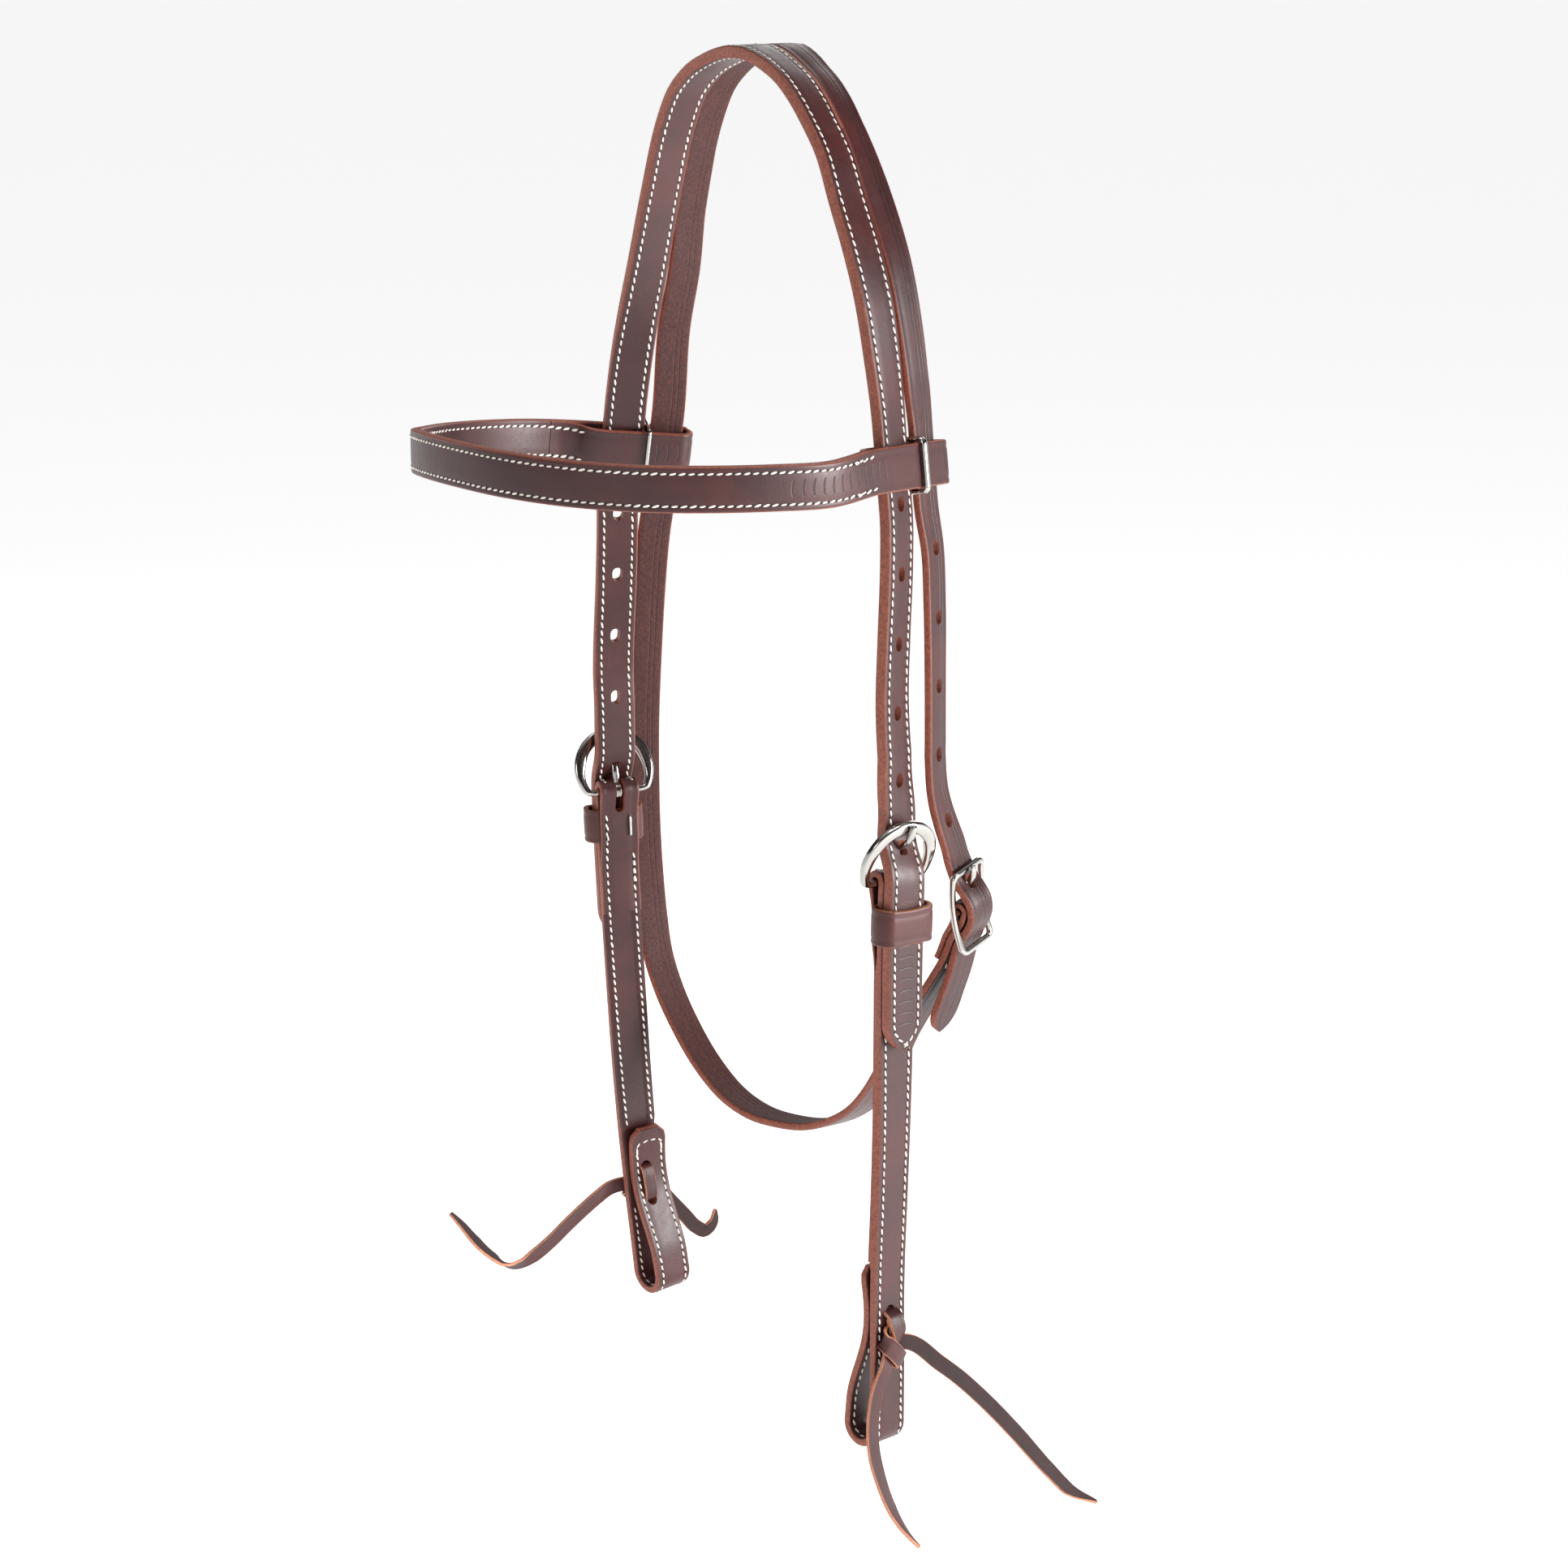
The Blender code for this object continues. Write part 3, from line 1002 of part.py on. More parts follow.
def build_throat_buckle():
    """A bowed rectangular frame joined by its centre bar; the origin is on that bar."""
    rod = FRAME_WIRE / 2
    reach = FRAME_HEIGHT / 2 - rod
    path = []
    for a, b in round_outline(FRAME_WIDTH / 2 - rod, reach, FRAME_CORNER, 4):
        path.append(Vector((a, FRAME_BOW * (b / reach) ** 2, b)))
    dense = []
    for i, point in enumerate(path):
        following = path[(i + 1) % len(path)]
        gap = (following - point).length
        pieces = max(1, round(gap / (FRAME_CORNER * 1.4)))
        for k in range(pieces):
            spot = point.lerp(following, k / pieces)
            spot.y = FRAME_BOW * (spot.z / reach) ** 2
            dense.append(spot)
    frame = THROAT_LEG.matrix(0, THROAT_BAR_LIFT)
    buckle = loft("throat_buckle", wire_rings(dense, rod, 8, True, Vector((0, 1, 0))), NICKEL, closed=True,
                  frame=frame, smooth=True)
    side = FRAME_WIDTH / 2 - rod
    bar = [Vector((-side, 0, 0)), Vector((side, 0, 0))]
    rings = wire_rings(bar, rod * 0.98, 8, False, Vector((0, 1, 0)))
    cutter = loft("throat_bar_core", rings, None, frame=frame)
    cut(buckle, cutter, "UNION")


KNOT_SHARES = ((0.0, 0.42), (0.12, 0.78), (0.30, 1.0), (0.50, 0.90), (0.70, 1.0), (0.88, 0.78), (1.0, 0.42))


def build_tie(side: str, leg: Leg, bar_drop: float):
    """The held part of a thong: a bar on the tab, a leg through each hole, and the knot outside."""
    bottom = DROP - bar_drop
    high, low = bottom - TIE_UPPER, bottom - TIE_LOWER
    middle = (high + low) / 2
    rings = []
    for along, share in KNOT_SHARES:
        down = middle + KNOT_SINK - KNOT_HEIGHT / 2 + KNOT_HEIGHT * along
        depth, width = KNOT_DEPTH * share, KNOT_WIDTH * share
        outline = round_outline(depth / 2, width / 2, depth * 0.42, 2)
        rings.append([leg.at(down, SEAM + depth / 2 + a, b) for a, b in outline])
    knot = loft(side + "_tie", rings, THONG, smooth=True)

    grain_low = tab_lift(bottom, TIE_LOWER)
    grain_high = tab_lift(bottom, TIE_UPPER)
    thong = THONG_THICKNESS
    stem = THONG_LEG / 2
    path = [(high, KNOT_DEPTH * 0.4, stem, stem), (high, grain_high + thong, stem, stem),
            (high, grain_high - SEAM, stem, stem * 0.9),
            (high + stem * 0.55, grain_high - SEAM - stem * 0.9, THONG_WIDTH / 2, thong / 2),
            (middle, (grain_high + grain_low) / 2 - SEAM - stem * 1.25, THONG_WIDTH / 2, thong / 2),
            (low - stem * 0.55, grain_low - SEAM - stem * 0.9, THONG_WIDTH / 2, thong / 2),
            (low, grain_low - SEAM, stem, stem * 0.9), (low, grain_low + thong, stem, stem),
            (low, KNOT_DEPTH * 0.4, stem, stem)]
    rings = []
    for i, (down, lift, width, depth) in enumerate(path):
        before, after = path[max(i - 1, 0)], path[min(i + 1, len(path) - 1)]
        travel = Vector((after[0] - before[0], after[1] - before[1])).normalized()
        normal = Vector((travel.y, -travel.x))
        ring = []
        for k in range(8):
            a = math.tau * (k + 0.5) / 8
            ring.append(leg.at(down + normal.x * depth * math.cos(a), lift + normal.y * depth * math.cos(a),
                               width * math.sin(a)))
        rings.append(ring)
    core = loft(side + "_tie_core", rings, None)
    cut(knot, core, "UNION")


def tab_lift(bottom: float, place: float) -> float:
    """Lift of the tab's grain face at a height above the loop's bottom."""
    grain, _ = loop_paths(bottom)
    target = bottom - place
    tail = grain[len(grain) // 2:]
    for one, two in zip(tail, tail[1:]):
        if (one[0] - target) * (two[0] - target) <= 0:
            share = (target - one[0]) / (two[0] - one[0])
            return one[1] + (two[1] - one[1]) * share
    return tail[-1][1]


# Loose ends past their first point: outward from lying on the cheek in THONG_WIDTH, then shares of
# STRAP_WIDTH rearward and of DROP down.
NEAR_TAIL_REAR_SHARES = (
    (0.10, 0.55, 0.9150), (0.20, 0.98, 0.9300), (0.27, 1.47, 0.9518), (0.32, 2.28, 0.9793),
    (0.32, 3.22, 1.0138), (0.32, 4.25, 1.0512), (0.32, 5.00, 1.0748), (0.32, 5.81, 1.0915))
NEAR_TAIL_LOWER_SHARES = (
    (0.17, -0.81, 0.9478), (0.17, -0.94, 0.9685), (0.17, -0.91, 0.9961), (0.28, -0.74, 1.0197),
    (0.32, -0.39, 1.0463), (0.42, 0.06, 1.0689), (0.48, 0.31, 1.0787))
OFF_TAIL_FRONT_SHARES = (
    (0.20, -0.16, 0.9134), (0.20, -0.50, 0.9183), (0.20, -0.94, 0.9262), (0.20, -1.43, 0.9360),
    (0.20, -1.99, 0.9478), (0.20, -2.50, 0.9563), (0.20, -2.88, 0.9598), (0.20, -3.22, 0.9583),
    (0.20, -3.66, 0.9484), (0.20, -4.15, 0.9325), (0.20, -4.58, 0.9134), (0.20, -4.84, 0.9026))


def knot_middle(bar_drop: float) -> float:
    """Heel bar to the middle of the knot."""
    return DROP - bar_drop - (TIE_UPPER + TIE_LOWER) / 2 + KNOT_SINK


def tail_route(leg: Leg, side: int, down: float, across: float, shares) -> List[Vector]:
    """A loose end from its place beside the knot, outside the cheek strap."""
    rest = SEAM + THONG_WIDTH / 2
    route = [leg.at(down, rest, across)]
    for out, back, fall in shares:
        aside = HALF_SPAN + rest + THONG_WIDTH * out
        route.append(Vector((side * aside, STRAP_WIDTH * back, -DROP * fall)))
    return route


def build_cord(name: str, route) -> None:
    guide = Course(route, [Vector((1, 0, 0))] * len(route))
    curve = bpy.data.curves.new(name, "CURVE")
    curve.dimensions = "3D"
    spline = curve.splines.new("POLY")
    places = spread(0, guide.length, THONG_WIDTH * 1.05)
    spline.points.add(len(places) - 1)
    for point, place in zip(spline.points, places):
        point.co = (*guide.at(place, 0, 0), 1)
    curve.bevel_depth = THONG_WIDTH / 2
    curve.bevel_resolution = 2
    curve.use_fill_caps = True
    obj = bpy.data.objects.new(name, curve)
    bpy.context.collection.objects.link(obj)
    curve.materials.append(material(name + "_finish", *THONG))


SHORT_TAIL_SHARES = ((0.0, 0.0, 0.0), (0.28, 0.02, 0.20), (0.52, 0.05, 0.52), (0.78, 0.06, 0.76),
                     (0.90, 0.05, 0.66))


def build_short_tail():
    """The off tie's short end: a flat thong that leaves the knot rearward and curls up at its tip."""
    down = knot_middle(OFF_BAR_DROP) - KNOT_SINK + KNOT_HEIGHT * 0.15
    start = KNOT_WIDTH / 2 + SEAM
    rings = []
    points = []
    for back, lift, fall in SHORT_TAIL_SHARES:
        points.append((down + SHORT_TAIL * fall, SEAM + KNOT_DEPTH / 2 + SHORT_TAIL * lift,
                       start + SHORT_TAIL * back))
    for i, (d, lift, across) in enumerate(points):
        before, after = points[max(i - 1, 0)], points[min(i + 1, len(points) - 1)]
        travel = Vector((after[0] - before[0], after[2] - before[2])).normalized() if i else Vector((0, 1))
        wide = Vector((travel.y, -travel.x)) * THONG_WIDTH / 2
        thick = THONG_THICKNESS / 2
        rings.append([OFF_LEG.at(d + wide.x * way, lift + thick * face, across + wide.y * way)
                      for way, face in ((1, -1), (1, 1), (-1, 1), (-1, -1))])
    loft("off_tie_tail_rear", rings, THONG)


def build() -> None:
    for obj in list(bpy.data.objects):
        bpy.data.objects.remove(obj, do_unlink=True)

    crown = build_crown()
    liner = build_crown_liner()
    low, high = -STACK - CUT, CUT
    front_punches, slanted = [], []
    for leg in (NEAR_LEG, OFF_LEG):
        front_punches += punches(leg, TONGUE_HOLE_SHARE * RING_REACH, FRONT_HOLES, low, high)
        slanted.append(dict(leg=leg, bar_lift=BAR_LIFT, reach=RING_REACH, shares=HOLE_SHARES,
                            thickness=TONGUE_THICKNESS + TONGUE_SWING_ROOM))
    cutter = hole_cutter("front_hole_cutter", front_punches, slanted)
    cut(crown, cutter)
    cut(liner, cutter)
    reach = (FRAME_HEIGHT - FRAME_WIRE) / 2
    throat_punches = punches(THROAT_LEG, THROAT_HOLE_SHARE * reach, THROAT_HOLES, -PLY - CUT, CUT)
    slanted = [dict(leg=THROAT_LEG, bar_lift=THROAT_BAR_LIFT, reach=reach, shares=THROAT_HOLE_SHARES,
                    thickness=THROAT_TONGUE_THICKNESS + THROAT_SWING_ROOM)]
    cut(crown, hole_cutter("throat_hole_cutter", throat_punches, slanted))
    slot = TONGUE_WIDTH / 2 + SLOT_ROOM
    span = THROAT_FOLD + THROAT_FOLD_PLY + SEAM / 2
    circle = arc((0.0, THROAT_BAR_LIFT), span, 0, 360, 16)[:-1]
    bm = bmesh.new()
    loft_into(bm, [[THROAT_LEG.at(down, lift, across) for down, lift in circle] for across in (-slot, slot)])
    cut(crown, finish(bm, "throat_slot_cutter", None))

    build_browband()
    for side, leg, bar_drop in (("near", NEAR_LEG, NEAR_BAR_DROP), ("off", OFF_LEG, OFF_BAR_DROP)):
        strap = build_cheek(side, leg, bar_drop)
        build_keeper(side, leg, strap)
        build_round_buckle(side, leg)
        rest = RING_THICKNESS / 2 + TONGUE_REST + TONGUE_THICKNESS / 2
        build_tongue(side + "_cheek_tongue", leg, BAR_LIFT, BAR_RADIUS, RING_REACH, RING_TILT, rest,
                     TONGUE_THICKNESS, TONGUE_SHARES)
        build_tie(side, leg, bar_drop)
    build_throat_buckle()
    rest = FRAME_WIRE / 2 + TONGUE_REST + THROAT_TONGUE_THICKNESS / 2
    build_tongue("throat_tongue", THROAT_LEG, THROAT_BAR_LIFT, THROAT_BAR_RADIUS, reach,
                 math.atan2(FRAME_BOW, reach), rest, THROAT_TONGUE_THICKNESS, THROAT_TONGUE_SHARES)
    near, off = knot_middle(NEAR_BAR_DROP), knot_middle(OFF_BAR_DROP)
    under = near + KNOT_HEIGHT / 2 + 2 * SEAM
    beside, ahead = (KNOT_WIDTH + THONG_WIDTH / 2) / 2, (KNOT_WIDTH + THONG_WIDTH / 3) / 2
    build_cord("near_tie_tail_rear", tail_route(NEAR_LEG, 1, near, beside, NEAR_TAIL_REAR_SHARES))
    build_cord("near_tie_tail_lower", tail_route(NEAR_LEG, 1, under, -KNOT_WIDTH / 2, NEAR_TAIL_LOWER_SHARES))
    build_cord("off_tie_tail_front", tail_route(OFF_LEG, -1, off, -ahead, OFF_TAIL_FRONT_SHARES))
    build_short_tail()


build()
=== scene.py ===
"""Looks of a western headstall in stitched burgundy leather with nickel buckles.

Metres, +Z up, the horse faces -Y and its near (left) side is at +X. Each strap follows a course, a smooth
line down the middle of its grain face, and is skinned from cross-sections with burnished, rounded edges.
"""
from __future__ import annotations

import json
import logging
import math
from dataclasses import dataclass, field
from enum import Enum
from typing import Any, Callable, Dict, Iterable, List, Optional, Sequence, Tuple

import bmesh
import bpy
import numpy as np
from mathutils import Matrix, Vector

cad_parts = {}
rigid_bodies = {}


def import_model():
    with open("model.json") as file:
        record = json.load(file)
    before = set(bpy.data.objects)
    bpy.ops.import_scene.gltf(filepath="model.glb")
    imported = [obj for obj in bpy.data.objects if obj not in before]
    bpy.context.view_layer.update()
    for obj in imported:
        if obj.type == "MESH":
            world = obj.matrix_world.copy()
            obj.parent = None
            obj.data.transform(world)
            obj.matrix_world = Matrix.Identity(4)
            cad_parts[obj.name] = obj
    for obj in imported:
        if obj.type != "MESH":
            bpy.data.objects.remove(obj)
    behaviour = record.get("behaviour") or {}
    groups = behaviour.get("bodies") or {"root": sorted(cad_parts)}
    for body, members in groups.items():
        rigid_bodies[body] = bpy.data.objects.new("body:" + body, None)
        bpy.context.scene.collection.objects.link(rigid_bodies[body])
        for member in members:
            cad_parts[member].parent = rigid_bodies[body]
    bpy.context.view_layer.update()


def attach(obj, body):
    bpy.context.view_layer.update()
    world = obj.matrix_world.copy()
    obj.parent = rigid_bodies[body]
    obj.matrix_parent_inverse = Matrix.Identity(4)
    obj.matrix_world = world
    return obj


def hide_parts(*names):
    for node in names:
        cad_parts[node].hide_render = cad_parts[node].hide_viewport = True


LOG = logging.getLogger("headstall")
MM = 0.001
Pair = Tuple[float, float]
Spot = Colour = Tuple[float, float, float]

# Half the distance between the legs, and drops from the crest to the bit loops and to the browband.
SPAN, DROP, BROW_DROP, OFF_BROW_DROP = 0.096, 0.508, 0.139, 0.153
# The browband's bow forward and half its width, and the drops to the throat and to the heel bars.
BROW_REACH, BROW_HALF_SPAN, THROAT_DEPTH = 0.130, 0.104, 0.418
NEAR_BAR_DROP, OFF_BAR_DROP = 0.2895, 0.2930

# Strap sections: plies, the glue line between them, the thinned ply of a fold, and the burnished edge.
WIDTH, THROAT_WIDTH, PLY, LINER, SEAM = 0.016, 0.0127, 0.003, 0.0012, 0.0003
FOLD_PLY, GLUED = 0.0024, PLY + SEAM
STACK = GLUED + LINER
SPLIT_CUT = 0.0006
EDGE_ROUND, GLUED_ROUND = 0.0007, 0.00002

# Billet tips, and the stitch rows' distance from an edge and above the leather.
TIP, TIP_STEPS = 0.011, 12
INSET, THREAD_LIFT = 0.0024, 0.00006

# Buckles: lift of each bar from the strap's grain face, and the lean of the round rings.
RING_BAR_LIFT, THROAT_BAR_LIFT = -0.0049, 0.0028
RING_TILT = math.radians(21)

# Room between a tongue and the frame under it.
TONGUE_GAP = 0.0004

# Tie holes, up from the bottom of the bit loop.
TIE_HOLES = (0.0545, 0.0400)

# How far a punch reaches past the leather, and the stretch over which glued plies part.
PUNCH_DEPTH, PARTING = 0.004, 0.004

# Angle in degrees past which an edge between faces stays sharp: leather, and wire.
SHARP, WIRE_SHARP = 42.0, 60.0


class Side(Enum):
    """The two sides of the horse."""

    NEAR = "near"
    OFF = "off"

    @property
    def sense(self) -> int:
        """Direction down this side along the front course."""
        return -1 if self is Side.NEAR else 1

    @property
    def bar_drop(self) -> float:
        """Crest to this side's heel bar."""
        return NEAR_BAR_DROP if self is Side.NEAR else OFF_BAR_DROP


class Slot(Enum):
    """The record's finishes that pieces take."""

    STRAP = "strap_leather"
    NICKEL = "nickel"
    STEEL = "staple_steel"
    THONG = "thong_leather"


# Courses


class Course:
    """A smooth line down a strap's grain face, with directions at each point."""

    def __init__(self, points: Sequence[Vector], widths: Sequence[Vector]) -> None:
        """Keep the points and the widthwise directions.

        Args:
            points: Places on the middle of the grain face.
            widths: Widthwise direction at each place.
        """
        self.points = np.array([tuple(p) for p in points])
        self.widths = np.array([tuple(w) for w in widths])
        steps = np.linalg.norm(np.diff(self.points, axis=0), axis=1)
        self.knots = np.concatenate(([0.0], np.cumsum(steps)))
        self.slopes = self._tangents(self.points)
        self.turns = self._tangents(self.widths)

    @property
    def length(self) -> float:
        """Length of the course."""
        return float(self.knots[-1])

    def _tangents(self, values: np.ndarray) -> np.ndarray:
        """Slopes at the points, each from its neighbours."""
        span = np.diff(self.knots)[:, None]
        rise = np.diff(values, axis=0) / span
        inner = (rise[:-1] * span[1:] + rise[1:] * span[:-1]) / (span[1:] + span[:-1])
        return np.vstack((rise[:1], inner, rise[-1:]))

    def _blend(self, values: np.ndarray, slopes: np.ndarray,
               along: float) -> Tuple[np.ndarray, np.ndarray]:
        """Value and slope at a place, by a cubic between two points."""
        index = int(np.clip(np.searchsorted(self.knots, along) - 1, 0, len(self.knots) - 2))
        span = self.knots[index + 1] - self.knots[index]
        t = (along - self.knots[index]) / span
        a, b = values[index], values[index + 1]
        m, n = slopes[index] * span, slopes[index + 1] * span
        point = ((2 * t ** 3 - 3 * t ** 2 + 1) * a + (t ** 3 - 2 * t ** 2 + t) * m
                 + (3 * t ** 2 - 2 * t ** 3) * b + (t ** 3 - t ** 2) * n)
        slope = ((6 * t ** 2 - 6 * t) * a + (3 * t ** 2 - 4 * t + 1) * m
                 + (6 * t - 6 * t ** 2) * b + (3 * t ** 2 - 2 * t) * n) / span
        return point, slope

    def frame(self, along: float) -> Tuple[Vector, Vector, Vector, Vector]:
        """Point, direction of travel, outward and widthwise directions at a place."""
        point, slope = self._blend(self.points, self.slopes, along)
        width, _ = self._blend(self.widths, self.turns, along)
        travel = Vector(slope).normalized()
        across = Vector(width)
        across = (across - travel * across.dot(travel)).normalized()
        return Vector(point), travel, across.cross(travel).normalized(), across

    def at(self, along: float, lift: float, across: float) -> Vector:
        """A point above the grain face and to one side of its middle."""
        point, _, outward, width = self.frame(along)
        return point + outward * lift + width * across

    def find(self, test: Callable[[Vector], float], start: float, end: float) -> float:
        """The place between start and end where test(point) passes zero."""
        low, high = start, end
        first = test(self.at(low, 0, 0)) > 0
        for _ in range(48):
            middle = (low + high) / 2
            if (test(self.at(middle, 0, 0)) > 0) == first:
                low = middle
            else:
                high = middle
        return (low + high) / 2


class Leg:
    """A course read downward from a place on it."""

    def __init__(self, course: Course, origin: float, sense: int) -> None:
        """Keep the course, the place and the direction that is down."""
        self.course, self.origin, self.sense = course, origin, sense

    def at(self, down: float, lift: float, across: float) -> Vector:
        """A point by its distance down, above and across."""
        return self.course.at(self.origin + self.sense * down, lift, across)

    def outward(self, down: float) -> Vector:
        """Outward direction at a distance down."""
        return self.course.frame(self.origin + self.sense * down)[2]

    def matrix(self, down: float, lift: float) -> Matrix:
        """Rigid frame: Y outward, Z up the strap, X across it."""
        _, travel, outward, _ = self.course.frame(self.origin + self.sense * down)
        up = travel * -self.sense
        turn = Matrix((outward.cross(up).normalized(), outward, up)).transposed().to_4x4()
        return Matrix.Translation(self.at(down, lift, 0)) @ turn


def heading(turn: float) -> Vector:
    """Widthwise direction of a strap turned about the vertical."""
    return Vector((-math.sin(turn), math.cos(turn), 0))


def clamp(value: float) -> float:
    """The value kept from 0 to 1."""
    return min(max(value, 0), 1)


def spread(start: float, end: float, step: float) -> List[float]:
    """Evenly spaced places from start to end, no further apart than step."""
    count = max(1, math.ceil(abs(end - start) / step))
    return [start + (end - start) * i / count for i in range(count + 1)]


def arc(center: Pair, radius: float, start: float, end: float, steps: int) -> List[Pair]:
    """Points (down, lift) round a centre; angle 0 is outward and 90 degrees is down."""
    turns = [math.radians(start + (end - start) * i / steps) for i in range(steps + 1)]
    return [(center[0] + radius * math.sin(t), center[1] + radius * math.cos(t)) for t in turns]


def smoothed(path: Sequence[Pair], step: float) -> List[Pair]:
    """A (down, lift) path bent smoothly through its points."""
    curve = Course([Vector((d, l, 0)) for d, l in path], [Vector((0, 0, 1))] * len(path))
    return [tuple(curve.at(place, 0, 0))[:2] for place in spread(0, curve.length, step)]


def offset(path: Sequence[Pair], depths: Sequence[float]) -> List[Pair]:
    """Each point of a (down, lift) path moved to its right by its own depth, mitred."""
    moved = []
    for i, (point, depth) in enumerate(zip(path, depths)):
        before, after = path[max(i - 1, 0)], path[min(i + 1, len(path) - 1)]
        one = Vector((point[0] - before[0], point[1] - before[1])) if i else None
        two = Vector((after[0] - point[0], after[1] - point[1])) if i < len(path) - 1 else None
        one = (one or two).normalized()
        two = (two or one).normalized()
        bisector = (one + two).normalized()
        size = depth / max(bisector.dot(one), 0.5)
        moved.append((point[0] + bisector.y * size, point[1] - bisector.x * size))
    return moved


def round_outline(half_a: float, half_b: float, corner: float, steps: int) -> List[Pair]:
    """A rounded rectangle about the origin, as (a, b) pairs."""
    points = []
    for quarter in range(4):
        ca = (half_a - corner) * (1 if quarter in (0, 3) else -1)
        cb = (half_b - corner) * (1 if quarter in (0, 1) else -1)
        for i in range(steps + 1):
            turn = math.pi / 2 * (quarter + i / steps)
            points.append((ca + corner * math.cos(turn), cb + corner * math.sin(turn)))
    return points


def tip_share(place: float) -> float:
    """Half width of a pointed tip, as a share, at a share of the tip's length."""
    blunt, belly, point = 0.992, 2.3, 0.66
    return max(1 - min(place, blunt) ** belly, 0.0) ** point


def tip_places() -> List[float]:
    """Shares of a pointed tip's length where it is cut, closer together towards the point."""
    return [math.sin(math.pi / 2 * i / TIP_STEPS) for i in range(1, TIP_STEPS + 1)]


